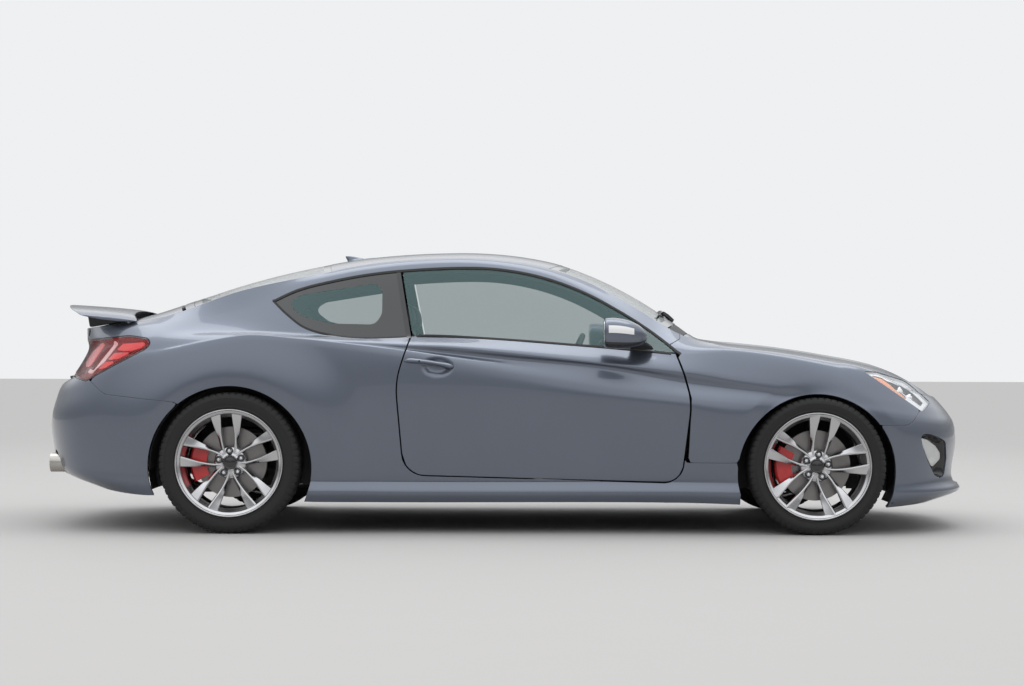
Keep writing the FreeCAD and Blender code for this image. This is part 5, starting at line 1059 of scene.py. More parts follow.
# The sides' walls thin out near the front wheels, which steer
THIN_WALL_REACH = 425.0
THIN_WALL_SHARE = 0.18
FOG_RECESS = [(1998, 487, 20), (2056, 483, 0), (2105, 468, 0), (2154, 444, 30), (2166, 356, 0),
              (2154, 269, 20), (2124, 264, 0), (2090, 278, 30), (2042, 356, 0), (2013, 429, 0)]
FOG_LENS = [(2008, 464, 6), (2048, 453, 30), (2099, 421, 30), (2130, 386, 16), (2134, 357, 12),
            (2084, 319, 10), (2057, 362, 40), (2030, 415, 40)]
DIFFUSER = [(-400, 120, 0), (400, 120, 0), (330, 330, 60), (-330, 330, 60)]
AMBER = [(1752, 772, 6), (1816, 759, 20), (1853, 735, 40), (1900, 693, 30), (1942, 661, 4),
         (1920, 657, 4), (1879, 680, 40), (1826, 716, 40), (1778, 747, 20)]
RED_BARS = [
    [(-1896, 880, 6), (-1865, 912, 8), (-1730, 922, 10), (-1765, 889, 8), (-1817, 876, 6)],
    [(-1939, 832, 5), (-1905, 868, 6), (-1806, 872, 5), (-1878, 837, 6)],
    [(-1986, 786, 5), (-1948, 824, 6), (-1888, 828, 5), (-1938, 793, 6)],
    [(-2090, 822, 8), (-2052, 872, 30), (-1990, 916, 10), (-1968, 908, 10), (-2040, 800, 30),
     (-2072, 796, 10)]]
LIGHT_GUIDE = [(-1936, 914, 12), (-1914, 928, 14), (-1888, 912, 12), (-1950, 826, 60),
               (-2014, 764, 14), (-2046, 770, 12), (-2036, 790, 8), (-2006, 782, 8),
               (-1968, 838, 60), (-1912, 908, 6)]


def build_sides():
    """Quarter panels with their sills, pillars and beams."""
    us = np.concatenate([np.linspace(REAR_CORNER_X - 740, REAR_CORNER_X, 60)[:-1],
                         np.linspace(REAR_CORNER_X, 1120, 150)])
    vs = steps_between([3, 3, 4, 12, 13, 5, 4, 5, 16, 6])
    points = side_grid(us, vs)
    back = side_back(points, us, vs)
    from_wheel = np.hypot(points[..., 0] - FRONT_AXLE_X, points[..., 2] - ARCH["front"][1])
    near_wheel = from_wheel < THIN_WALL_REACH
    back = np.where(near_wheel[..., None], points + (back - points) * THIN_WALL_SHARE, back)
    skin = Skin(points, (0, 1, 0), back)
    skin.clear(TRIM_HALF, WING_EDGE, REAR_BUMPER_EDGE, TAIL_LAMP_EDGE).clear(SHUT_GAP, DOOR_EDGE)
    skin.keep(-inside(window_outline(), skin.x, skin.z)).clear_arch("front", "rear")
    skin.keep(skin.y - LAMP_INNER_Y - SHUT_GAP, skin.x < -1700)
    skin.keep(skin.y - TOP_INNER_Y, (skin.x < -2050) & (skin.z > 948))
    paired("side_panel", skin.mesh(), "shell", "body_paint", ["metallic_paint", "cabin_trim"],
           replaces=["side_left"])
    frame_parts = joined(
        block(-905, 1064, 690, 822, 158, 262), block(716, 800, 690, 770, 242, 828),
        block(716, 800, 690, 750, 820, 892),
        pushed([(-560, 242), (-474, 242), (-482, 925), (-505, 925), (-575, 500)], 690, 762),
        *[block(x - 38, x + 38, 724, 780, 146, 168) for x in (-800, 800)])
    paired("sill_frame", frame_parts, "shell", "underbody", "underbody_coating", bevel=3.0,
           replaces=["side_left"])


def build_window_trims():
    """Black strips round the side windows and between them."""
    top = line_path(WINDOW_TOP, -1150, 838, 160, 2)
    paired("window_surround", side_strip(top, 8.0, -6, 2.2), "shell", "trim_black", "seal_rubber",
           bevel=0.6)
    foot = line_path(sorted(WINDOW_FOOT), -1140, -478, 50, -1)
    paired("quarter_surround", side_strip(foot, 6.5, -6, 1.4), "shell", "trim_black", "seal_rubber",
           bevel=0.6)
    share = np.linspace(0, 1, 30)[:, None]
    pillar = np.array(PILLAR_FOOT) * (1 - share) + np.array(PILLAR_TOP) * share
    pillar[:, 0] -= 15
    paired("pillar_trim", side_strip(pillar, 12, -8, 0.4), "shell", "trim_black", "gloss_black",
           bevel=0.5)


def line_path(rows, start, end, count, rise):
    """Side view path along rows x, z, raised."""
    x = np.linspace(start, end, count)
    return np.stack([x, along(rows, x)[:, 0] + rise], -1)


def side_strip(path, half, low, high):
    """Strip lying on the left side along a side view path."""
    points, normals = on_side(path)
    profile = [(-half, low), (half, low), (half * 0.82, high), (-half * 0.82, high)]
    return swept(points, normals, profile)


def build_doors():
    """Door panels, dished behind the handles."""
    us = np.concatenate([np.linspace(-560, -430, 14)[:-1], np.linspace(-430, -250, 30)[:-1],
                         np.linspace(-250, 760, 62)[:-1], np.linspace(760, 900, 16)])
    vs = np.concatenate([np.linspace(1.5, 4, 16)[:-1], np.linspace(4, 6, 34)[:-1],
                         np.linspace(6, 8, 16)])
    points = side_grid(us, vs)
    edge = inside(rounded(DOOR_EDGE), points[..., 0], points[..., 2])
    x, y, z = points[..., 0], points[..., 1], points[..., 2]
    hollow_x, hollow_z, half_length, half_height = HANDLE_HOLLOW
    hollow = np.hypot((x - hollow_x) / half_length, (z - hollow_z) / half_height)
    inner = np.minimum(y - DOOR_THICK, DOOR_INNER_Y)
    rim = np.maximum(smooth((DOOR_RIM - edge) / 12) * (z < 880),
                     smooth((x - 722) / 14) * (z < 846))
    inner = inner * (1 - rim) + np.minimum(DOOR_RIM_Y, y - DOOR_PANEL) * rim
    for height in DOOR_HINGES_Z:
        pocket = (x > HINGE_POCKET_X) & (np.abs(z - height) < HINGE_POCKET_HALF)
        inner = np.where(pocket, HINGE_POCKET_Y, inner)
    back = np.stack([x, inner, z], -1)
    points[..., 1] -= HANDLE_HOLLOW_DEPTH * smooth(2.2 - 2.0 * hollow)
    skin = Skin(points, (0, 1, 0), back).keep(edge)
    paired("door_panel", skin.mesh(), "left_door", "body_paint", ["metallic_paint", "cabin_trim"],
           replaces=["door_left"])


def build_door_handles():
    """Door handles with their locks."""
    rows = [(-497, 829, 3, 4), (-476, 832, 16, 13), (-400, 827, 25, 13), (-330, 817, 26, 13),
            (-285, 808, 20, 15), (-264, 803, 12, 11), (-256, 801, 3, 4)]
    stations = np.linspace(rows[0][0], rows[-1][0], 34)
    shape = along(rows, stations)
    base = side_y(stations, shape[:, 0]) - 6
    turn = round_turns(20)
    loops = np.stack([np.stack([np.full(20, s), b + (out + 6) * np.maximum(np.cos(turn), -0.1),
                                h + half * np.sin(turn)], -1)
                      for s, b, (h, out, half) in zip(stations, base, shape)])
    paired("door_handle", loft(loops), "left_door", "body_paint", "metallic_paint", subdivide=1,
           replaces=["door_left"])
    keyhole = aimed(turned([(0, 0), (5.5, 0), (5.5, 2.2), (4.5, 3), (0, 3)], 28),
                    (-421, side_y([-421.0], [829.0])[0] + 21.6, 829), (0, 1, 0.1))
    paired("door_lock", keyhole, "left_door", "hinge_steel", "gloss_black")


def build_door_trims():
    """Belt seals, armrests and pulls."""
    foot = line_path(sorted(WINDOW_FOOT), -440, 792, 110, -1)
    paired("belt_seal", side_strip(foot, 7.0, -8, 3.0), "left_door", "trim_black", "seal_rubber",
           bevel=0.6)
    rest = rounded([(-330, 590, 30), (360, 590, 40), (420, 640, 30), (-330, 660, 30)])
    paired("door_armrest", pushed(rest, 742, 786), "left_door", "cabin_trim", "black_leather",
           bevel=10, segments=4)
    paired("door_pull", pushed(rounded([(300, 690, 10), (430, 690, 10), (430, 712, 10),
                                        (300, 712, 10)]), 764, 786),
           "left_door", "cabin_trim", "bright_chrome", bevel=3)


def build_wings():
    """Front wings."""
    us = np.concatenate([np.linspace(770, FRONT_CORNER_X, 76)[:-1],
                         FRONT_CORNER_X + np.linspace(0, 640, 46)])
    vs = steps_between([3, 3, 4, 12, 13, 5, 4, 5, 9, 9])
    skin = Skin(side_grid(us, vs), (0, 1, 0))
    skin.keep(skin.within(WING_EDGE) - TRIM_HALF).clear(WING_DOOR_GAP, DOOR_EDGE)
    skin.keep(-inside(window_outline(), skin.x, skin.z) - WING_GLASS_GAP)
    skin.clear(TRIM_HALF, FRONT_BUMPER_EDGE, HEADLAMP_EDGE).clear_arch("front")
    paired("wing_panel", skin.mesh(), "shell", "body_paint", ["metallic_paint", "black_plastic"],
           replaces=["wing_left"])


def pressed(points, out, push, wall):
    """Skin of a grid that is first pushed inward."""
    return Skin(points - grid_normals(points, out)[0] * np.asarray(push)[..., None], out, wall=wall)


def end_skin(ahead, first, count, vs, push=0.0, wall=SKIN):
    """Skin that wraps one end of the car, pushed inward where asked."""
    points = end_grid(ahead, first, count, vs)
    tip = np.abs(points[..., 0]) - TIP_START
    shrink = TIP_SHARE["front" if ahead else "rear"]
    points[..., 0] -= np.sign(points[..., 0]) * np.maximum(tip, 0) * shrink
    out = np.stack([np.full(points.shape[:2], 0.6 if ahead else -0.6),
                    points[..., 1] / BODY_WIDTH, np.full(points.shape[:2], 0.2)], -1)
    return pressed(points, out, push, wall)


def build_front_bumper():
    """Front bumper with its lower lip and wheel flaps, round the grille, which stays as it is."""
    vs = steps_between([4, 3, 4, 16, 11, 5, 4, 4, 5, 5])
    skin = end_skin(True, 120, 84, vs)
    skin.keep(skin.within(FRONT_BUMPER_EDGE) - TRIM_HALF)
    skin.clear(TRIM_HALF, HEADLAMP_EDGE).clear_arch("front")
    skin.keep(-skin.within(MOUTH, across=True), skin.x > 1900)
    skin.keep(-skin.within(FOG_RECESS), np.abs(skin.y) > FOG_INNER_Y)
    place("front_bumper_skin", skin.mesh(), "shell", "body_paint",
          ["metallic_paint", "black_plastic"], replaces=["front_bumper"])
    lip = end_grid(True, 160, 90, np.array([0.0]))[:, 0]
    lip = lip[lip[:, 0] > LIP_START_X] * LIP_SHARE + LIP_RISE
    down = np.tile([0.0, 0.0, -1.0], (len(lip), 1))
    place("front_lip", swept(lip, down, [(-9, -3), (9, -3), (9, 3), (-9, 3)]), "shell",
          "trim_black", "black_plastic", bevel=1.5, replaces=["front_bumper"])
    flaps = joined(pushed([(1854, 150), (1860, 148), (1886, 200), (1908, 330), (1902, 332),
                           (1880, 204)], 560, 838),
                   pushed([(1112, 150), (1118, 152), (1096, 246), (1090, 244)], 560, 838))
    paired("wheel_flaps", flaps, "shell", "trim_black", "black_plastic",
           replaces=["front_bumper"])


def build_fog_lamps():
    """Fog lamps: recess, reflector and lens in the bumper's corners."""
    lens_vs = steps_between([14, 34], first=2.6)
    flat = end_skin(True, 300, 70, lens_vs)
    recess = flat.within(FOG_RECESS)
    lens = flat.within(FOG_LENS)
    for name, push, wall, field, slot, finish, edges in (
            ("fog_recess", 6 + 46 * smooth((recess + 4) / 22), 3, recess + 7, "trim_black",
             "gloss_black", {"roll": 0.4}),
            ("fog_reflector", 18 + 20 * smooth(lens / 30), 2, lens, "lamp_clear", "reflector",
             {"roll": 0.4}),
            ("fog_lens", 12.0, 3, lens + 2, "lamp_clear", "frosted_lens",
             {"roll": 0.8, "closed": False})):
        skin = end_skin(True, 300, 70, lens_vs, push, wall)
        skin.keep(np.where(np.abs(flat.y) > FOG_INNER_Y, field, -9.0))
        place(name, skin.mesh(**edges), "shell", slot, finish, replaces=["fog_lamps"])


def build_rear_bumper():
    """Rear bumper and its dark lower part, with the openings of the pipes and the plate."""
    vs = steps_between([5, 4, 5, 22, 14, 6, 6])
    for name, dark, finish, slot in (("rear_bumper_skin", False, "metallic_paint", "body_paint"),
                                     ("rear_diffuser", True, "black_plastic", "trim_black")):
        skin = end_skin(False, -125, 90, vs)
        low = np.where(skin.x < -2050, skin.within(DIFFUSER, across=True), -1e3)
        skin.keep(low - TRIM_HALF if dark else -low - TRIM_HALF)
        skin.keep(skin.within(REAR_BUMPER_EDGE) - TRIM_HALF).clear_arch("rear")
        skin.keep(-skin.within(TAIL_LAMP_EDGE) - TRIM_HALF, np.abs(skin.y) > LAMP_INNER_Y)
        from_pipe = np.hypot(np.abs(skin.y) - EXHAUST_Y, skin.z - EXHAUST_Z)
        openings = np.minimum(-skin.within(PLATE_RECESS, across=True),
                              from_pipe - EXHAUST_RADIUS - 14)
        skin.keep(openings, skin.x < -2100)
        place(name, skin.mesh(), "shell", slot, [finish, "black_plastic"],
              replaces=["rear_bumper"])


# Floor of the plate recess, its middle height, and how far its walls draw in towards the floor
RECESS_FLOOR_X = -2241.0
RECESS_MIDDLE_Z = 632.0
RECESS_WALL = 9.0
RECESS_WIDTH_SHARE = 0.985
RECESS_HEIGHT_SHARE = 0.97
RECESS_BACK_SHARE = 1.03


def build_plate_recess():
    """Recess for the plate, its plain tray, and the ledge under the boot lid."""
    recess = rounded(PLATE_RECESS)
    y, z = recess.T
    low, high = z.min(), z.max()
    mouth_x = -1700 - 607 * (1 - (np.abs(y) / 880) ** 2.8) ** 0.357
    lean = np.clip((z - low) / (high - low), 0, 1) * 44
    ring = np.stack([np.minimum(mouth_x + 14 + lean, RECESS_FLOOR_X - 2), y, z], -1)
    floor = np.stack([np.full(len(y), RECESS_FLOOR_X), y * RECESS_WIDTH_SHARE,
                      (z - RECESS_MIDDLE_Z) * RECESS_HEIGHT_SHARE + RECESS_MIDDLE_Z], -1)
    outer = np.stack([ring, floor])
    inner = outer[::-1] + np.array([RECESS_WALL, 0.0, 0.0])
    inner[1, :, 1] *= RECESS_BACK_SHARE
    place("plate_recess", loft(np.concatenate([outer, inner]), closed_ends=False), "shell",
          "trim_black", "black_plastic", replaces=["rear_bumper"])
    tray = pushed(recess * [RECESS_WIDTH_SHARE, 1.0], RECESS_FLOOR_X - 2, RECESS_FLOOR_X + 5,
                  axis=0)
    place("plate_tray", tray, "shell", "trim_black", "black_plastic", bevel=1,
          replaces=["rear_bumper"])
    ledge = pushed([(-2080, -470), (-2080, 470), (-2185, 470), (-2220, 250), (-2228, 0),
                    (-2220, -250), (-2185, -470)], 738, 748, axis=2)
    place("bumper_ledge", ledge, "shell", "trim_black", "black_plastic", bevel=1.5,
          replaces=["rear_bumper"])


def top_skin(stations, bows, count, inset, wall, raise_by=None):
    """Skin of the top between the upper edges."""
    stations = np.asarray(stations, float)
    points = top_grid(stations, bows, count, inset)
    if raise_by is not None:
        points[..., 2] += raise_by(points[..., 0], points[..., 1])
    return Skin(points, (0, 0, 1), wall=wall)


def rear_bow(s):
    """Bow of the rear window stations, growing from the roof's end."""
    return DECK_BOW * np.clip((-705 - s) / 400, 0, 1)


# Ridges of the bonnet: half width between them at a station, how they spread, width, height
RIDGE_Y = 410.0
RIDGE_X = 1500.0
RIDGE_SPREAD = 0.10
RIDGE_WIDTH = 46.0
RIDGE_HEIGHT = 5.0
BONNET_HOLLOW_WIDTH = 210.0
BONNET_HOLLOW_DEPTH = 3.0


def bonnet_relief(x, y):
    """Two soft ridges along the bonnet and a shallow hollow between them."""
    fade = smooth((x - 960) / 160) * smooth((2080 - x) / 260)
    ridge_y = RIDGE_Y + (RIDGE_X - x) * RIDGE_SPREAD
    ridge = np.exp(-((np.abs(y) - ridge_y) / RIDGE_WIDTH) ** 2)
    return fade * (RIDGE_HEIGHT * ridge
                   - BONNET_HOLLOW_DEPTH * np.exp(-(y / BONNET_HOLLOW_WIDTH) ** 2))


def build_hinges(name, lid, carrier, pin, arm, cheeks):
    """Two hinges of a lid: ring and arm on the lid, and two cheeks on the shell.

    The spans of arm and cheeks are given as x from and to, then z from and to.
    """
    y = pin[1]
    ring = moved(turned(HINGE_RING, 24), pin)
    lever = block(*arm[:2], y - HINGE_HALF, y + HINGE_HALF, *arm[2:])
    paired(name + "_hinge", joined(ring, lever), lid, "hinge_steel", "hinge_steel", bevel=0.8,
           replaces=[lid])
    plates = [block(*cheeks[:2], y + start, y + end, *cheeks[2:]) for start, end in CHEEKS]
    paired(name + "_cheeks", joined(*plates), "shell", "hinge_steel", "hinge_steel", bevel=0.8,
           replaces=[carrier])


def build_roof():
    """Roof panel with its headliner."""
    s = np.linspace(-903.4, 286.4, 84)
    share = (s + 905) / 1193
    roof = top_skin(s, SCREEN_BOW * share + ROOF_TAIL_BOW * (1 - share), TOP_COLUMNS, PANEL_INSET,
                    wall=24)
    roof.points[..., 2] -= 0.05
    place("roof_skin", roof.mesh(), "shell", "body_paint", ["metallic_paint", "headliner_cloth"],
          replaces=["roof_panel"])


def build_bonnet():
    """Bonnet with its hinges."""
    s = np.concatenate([np.linspace(947.6, 1900, 60)[:-1], np.linspace(1900, 2148, 32)])
    bonnet = top_skin(s, SCREEN_BOW * np.clip((1150 - s) / 204, 0, 1), 75, LID_INSET, wall=10,
                      raise_by=bonnet_relief)
    place("bonnet_skin", bonnet.mesh(), "bonnet", "body_paint", ["metallic_paint", "cabin_trim"],
          replaces=["bonnet"])
    build_hinges("bonnet", "bonnet", "cowl_panel", BONNET_HINGE, (880, 912, 940, 955),
                 (850, 880, 938, 963.5))


# Cowl: depth under the top's surface, and its slots' spacing, depth and outermost place
COWL_DEPTH = 4.0
SLOT_PITCH = 26.0
SLOT_DEPTH = 2.4
SLOTS_HALF = 560.0


def build_cowl():
    """Slotted panel between bonnet and windscreen."""
    s = np.linspace(870.0, 936.5, 8)
    cowl = top_skin(s, np.full(8, SCREEN_BOW), TOP_COLUMNS, GLASS_INSET, wall=8)
    cowl.points[..., 2] -= COWL_DEPTH
    cowl.back[..., 2] -= COWL_DEPTH
    slots = np.abs(np.sin(cowl.y * math.pi / SLOT_PITCH)) * (np.abs(cowl.y) < SLOTS_HALF)
    cowl.points[1:-1, :, 2] -= (SLOT_DEPTH * slots)[1:-1]
    place("cowl_skin", cowl.mesh(roll=0.8), "shell", "trim_black", "black_plastic",
          replaces=["cowl_panel"])


def build_deck():
    """Strip between rear window and boot lid."""
    s = np.linspace(-1642.4, -1602.1, 6)
    deck = top_skin(s, np.full(6, DECK_BOW), TOP_COLUMNS, PANEL_INSET, wall=14)
    place("deck_skin", deck.mesh(), "shell", "body_paint", ["metallic_paint", "black_plastic"],
          replaces=["rear_deck"])


def build_fin():
    """Roof fin."""
    rows = [(0, -688, -838, 26), (5, -690, -838, 21), (9, -700, -838, 17), (16, -728, -841, 12),
            (24, -758, -846, 8), (31, -795, -848.5, 5), (35.5, -822, -850, 3)]
    turn = round_turns(36)
    loops = []
    for rise, front, tail, half in rows:
        x = (front + tail) / 2 + (front - tail) / 2 * np.cos(turn)
        y = half * np.sin(turn)
        base = top_z(x, y) if rise < 10 else np.full(36, float(top_z(-838.0, 0.0)))
        loops.append(np.stack([x, y, base + rise - (3 if rise == 0 else 0)], -1))
    place("aerial_fin", loft(loops), "shell", "body_paint", "metallic_paint", subdivide=1,
          replaces=["roof_fin"])


def build_boot():
    """Boot lid, its upright wall and its hinges."""
    s = np.concatenate([np.linspace(-2146, -2000, 34)[:-1], np.linspace(-2000, -1662.6, 32)])
    top = top_skin(s, DECK_BOW * np.clip((s + 1850) / 189, 0, 1), 75, LID_INSET, wall=18)
    place("lid_skin", top.mesh(), "boot_lid", "body_paint", ["metallic_paint", "black_plastic"],
          replaces=["boot_lid"])
    wall = end_skin(False, 500, 46, np.linspace(6, 9.93, 46), wall=18)
    wall.keep(470 - np.abs(wall.y)).keep(wall.z - 765)
    place("lid_wall", wall.mesh(), "boot_lid", "body_paint", ["metallic_paint", "black_plastic"],
          replaces=["boot_lid"])
    grip = end_skin(False, 500, 46, np.linspace(6, 8, 30), push=-1.2, wall=5)
    grip.keep(300 - np.abs(grip.y)).keep(grip.z - 778).keep(806 - grip.z)
    place("lid_garnish", grip.mesh(roll=1.0), "boot_lid", "trim_black", "gloss_black",
          replaces=["boot_lid"])
    build_hinges("lid", "boot_lid", "rear_deck", LID_HINGE, (-1685, -1659, 1093, 1103),
                 (-1658, -1636, 1095, 1109))


def build_spoiler():
    """Spoiler blade on two feet."""
    rows = [(-1.0, -1800, -2086, 1040, 12), (-0.94, -1812, -2118, 1058, 20),
            (-0.8, -1836, -2160, 1074, 26), (-0.5, -1862, -2212, 1092, 29),
            (-0.2, -1874, -2244, 1102, 30), (0.2, -1874, -2244, 1102, 30),
            (0.5, -1862, -2212, 1092, 29), (0.8, -1836, -2160, 1074, 26),
            (0.94, -1812, -2118, 1058, 20), (1.0, -1800, -2086, 1040, 12)]
    loops = []
    for w in np.concatenate([[-1, -0.99, -0.975], np.linspace(-0.95, 0.95, 45), [0.975, 0.99, 1]]):
        front, tail, z, thick = along(rows, w)
        y = w * SPOILER_HALF
        chord = front - tail
        section = np.array([
            (front, z - 24), (front - chord * 0.08, z - 17), (front - chord * 0.2, z - 12),
            (front - chord * 0.45, z - 3), (front - chord * 0.75, z + 4), (tail + 14, z + 8.4),
            (tail + 2, z + 9), (tail, z + 7.5), (tail + 6, z + 9 - thick * 0.35),
            (tail + chord * 0.3, z - 4 - thick * 0.8),
            (front - chord * 0.3, z - 18 - thick * 0.6), (front - chord * 0.06, z - 27)])
        loops.append(np.stack([section[:, 0], np.full(len(section), y), section[:, 1]], -1))
    place("spoiler_blade", loft(loops), "boot_lid", "body_paint", "metallic_paint", subdivide=1,
          replaces=["boot_spoiler"])
    # The feet are gloss black though they belong to the painted body: painted shade for the dark gap
    # under the blade
    foot = pushed(rounded([(-2085, 992, 8), (-1900, 1022, 8), (-1900, 1066, 0), (-2100, 1076, 0)]),
                  SPOILER_FOOT_Y - SPOILER_FOOT_HALF, SPOILER_FOOT_Y + SPOILER_FOOT_HALF)
    paired("spoiler_foot", foot, "boot_lid", "body_paint", "gloss_black", bevel=3,
           replaces=["boot_spoiler"])


# Glass and lamps


def pane_grid(us, vs):
    """Grid of the side window surface, running straight on below the belt line."""
    columns = []
    for v in vs:
        if v >= BELT:
            columns.append(side_points(us, v))
        else:
            foot = side_points(us, BELT)
            columns.append(foot - (side_points(us, BELT + 0.3) - foot) * ((BELT - v) / 0.3))
    return np.stack(columns, 1)


def side_pane():
    """Skin of the whole side window."""
    us = np.linspace(-1150, 850, 150)
    vs = np.concatenate([[7.86, 7.93], np.linspace(8, 9.4, 34)])
    skin = Skin(pane_grid(us, vs), (0, 1, 0), wall=4)
    skin.points = skin.points - skin.normals * GLASS_INSET
    skin.back = skin.back - skin.normals * GLASS_INSET
    return skin


# Half the gap between the two side windows
PILLAR_HALF = 4.5


def build_side_glass():
    """Door glass, and quarter glass with its dark border."""
    skin = side_pane()
    opening = inside(window_outline(), skin.x, skin.z)
    ahead = pillar_side(skin.x, skin.z)
    foot = along(sorted(WINDOW_FOOT), skin.x)[..., 0]
    below_belt = np.minimum.reduce([skin.x + 446, 772 - skin.x, foot + 16 - skin.z,
                                    skin.z - foot + 23])
    skin.keep(np.maximum(opening - SHUT_GAP, below_belt)).keep(ahead - PILLAR_HALF)
    paired("door_pane", skin.mesh(roll=0.6, closed=False), "left_door", "window_glass",
           "tinted_glass", replaces=["door_glass_left"])
    quarter = np.minimum(opening - 1, -ahead - PILLAR_HALF)
    hole = skin.within(QUARTER_CLEAR)
    for part, field, closed, finish in (("pane", hole, False, "tinted_glass"),
                                        ("border", -hole, True, "glass_border")):
        piece = side_pane().keep(quarter).keep(field)
        paired("quarter_" + part, piece.mesh(roll=0.4, closed=closed), "shell", "window_glass",
               finish, replaces=["quarter_glass"])


# Spacing of the rows of the windscreen and the rear window
PANE_ROW = 8.2


def build_screens():
    """Windscreen and rear window with their dark borders."""
    front_stations = np.linspace(289.6, 866.9, 70)
    rear_stations = np.linspace(-1599, -906.6, 70)
    for name, stations, bows, band in (
            ("windscreen", front_stations, np.full(70, SCREEN_BOW), 34),
            ("rear_window", rear_stations, rear_bow(rear_stations), 30)):
        grid = top_grid(stations, bows, 81, GLASS_INSET)
        normals = grid_normals(grid, (0, 0, 1))[0]
        row = np.arange(len(grid))
        from_ends = np.minimum(row, row[::-1])[:, None] * PANE_ROW
        across = rail_y(grid[..., 0]) - GLASS_INSET - np.abs(grid[..., 1])
        field = np.minimum(from_ends, across) - band
        for part, kept, finish in (("pane", field, "tinted_glass"),
                                   ("border", -field, "glass_border")):
            skin = Skin(grid - normals * 1.5, (0, 0, 1), wall=4).keep(kept)
            place(name + "_" + part, skin.mesh(roll=0.4, closed=False), "shell", "window_glass",
                  finish, replaces=[name])


def lamp_pieces(us, vs, node, rows):
    """Paired pieces of a lamp. Columns: name, push inward, wall, field, slot, finish, edges."""
    for name, push, wall, field, slot, finish, edges in rows:
        skin = pressed(side_grid(us, vs), (0, 1, 0), push, wall).keep(field)
        paired(name, skin.mesh(**edges), "shell", slot, finish, replaces=[node])


def build_headlamps():
    """Headlamps: clear cover, housing, bright edge, two projectors and amber reflector."""
    us = FRONT_CORNER_X + np.concatenate([np.linspace(0, 300, 46)[:-1], np.linspace(300, 740, 70)])
    vs = np.linspace(5.4, 10, 84)
    flat = Skin(side_grid(us, vs), (0, 1, 0))
    depth = flat.within(HEADLAMP_EDGE)
    amber = flat.within(AMBER)
    lamp_pieces(us, vs, "headlamps", (
        ("headlamp_cover", 1.0, 3, depth - TRIM_HALF, "lamp_clear", "clear_lens",
         {"roll": 1.0, "closed": False}),
        ("headlamp_housing", 4 + 40 * smooth(depth / 36), 4, depth - 1, "lamp_clear",
         "lamp_housing", {"roll": 0.5}),
        ("headlamp_amber", 7 + 6 * smooth(depth / 30), 3, amber, "lamp_clear", "amber_lens",
         {"roll": 0.8}),
        ("headlamp_bright_edge", 8.0, 3, np.minimum.reduce([depth - 3, 26 - depth, -amber - 3]),
         "lamp_clear", "reflector", {"roll": 0.8})))
    for index, (x, z, radius) in enumerate(((1934, 706, 22), (1988, 672, 17))):
        spot = np.unravel_index(np.argmin(np.hypot(flat.x - x, flat.z - z)), flat.x.shape)
        normal = flat.normals[spot]
        way = normal + np.array([0.9, 0.0, 0.0])
        at = flat.points[spot] - normal * 30
        bezel = turned([(radius, -14), (radius + 5, -14), (radius + 5, 5), (radius + 3, 8),
                        (radius, 7)], 48)
        paired("projector_bezel_%d" % index, aimed(bezel, at, way), "shell", "lamp_clear",
               "bright_chrome", replaces=["headlamps"])
        rows = [(0, -10), (radius - 1, -10)] + [
            (radius * math.cos(a), 12 * math.sin(a)) for a in np.linspace(0.05, 1.5, 9)] + [(0, 12)]
        paired("projector_glass_%d" % index, aimed(turned(rows, 48), at, way), "shell",
               "lamp_clear", "reflector", replaces=["headlamps"])


def build_tail_lamps():
    """Tail lamps: red cover over dark housing with bars and a pale light guide."""
    us = REAR_CORNER_X + 70 - np.concatenate([np.linspace(0, 420, 60)[:-1],
                                              np.linspace(420, 900, 60)])
    vs = np.linspace(4.4, 9.6, 90)
    flat = Skin(side_grid(us, vs), (0, 1, 0))
    inner = np.where(flat.x < -1750, flat.y - LAMP_INNER_Y - SHUT_GAP, 1e6)
    depth = np.minimum(flat.within(TAIL_LAMP_EDGE), inner)
    bars = [("tail_lamp_bar_%d" % index, 6.0, 3, np.minimum(flat.within(corners), depth - 8),
             "lamp_red", "dark_red_bar", {"roll": 0.8}) for index, corners in enumerate(RED_BARS)]
    lamp_pieces(us, vs, "tail_lamps", [
        ("tail_lamp_cover", 1.0, 3, depth - 6, "lamp_red", "red_lens",
         {"roll": 1.0, "closed": False}),
        ("tail_lamp_rim", 1.2, 4, np.minimum(depth - TRIM_HALF, 7 - depth), "trim_black",
         "gloss_black", {"roll": 0.8}),
        ("tail_lamp_housing", 3 + 26 * smooth(depth / 24), 4, depth - 1, "lamp_red",
         "red_reflector", {"roll": 0.5}),
        ("tail_lamp_guide", 5.0, 3, np.minimum(flat.within(LIGHT_GUIDE), depth - 8), "lamp_red",
         "pale_light_guide", {"roll": 1.0})] + bars)


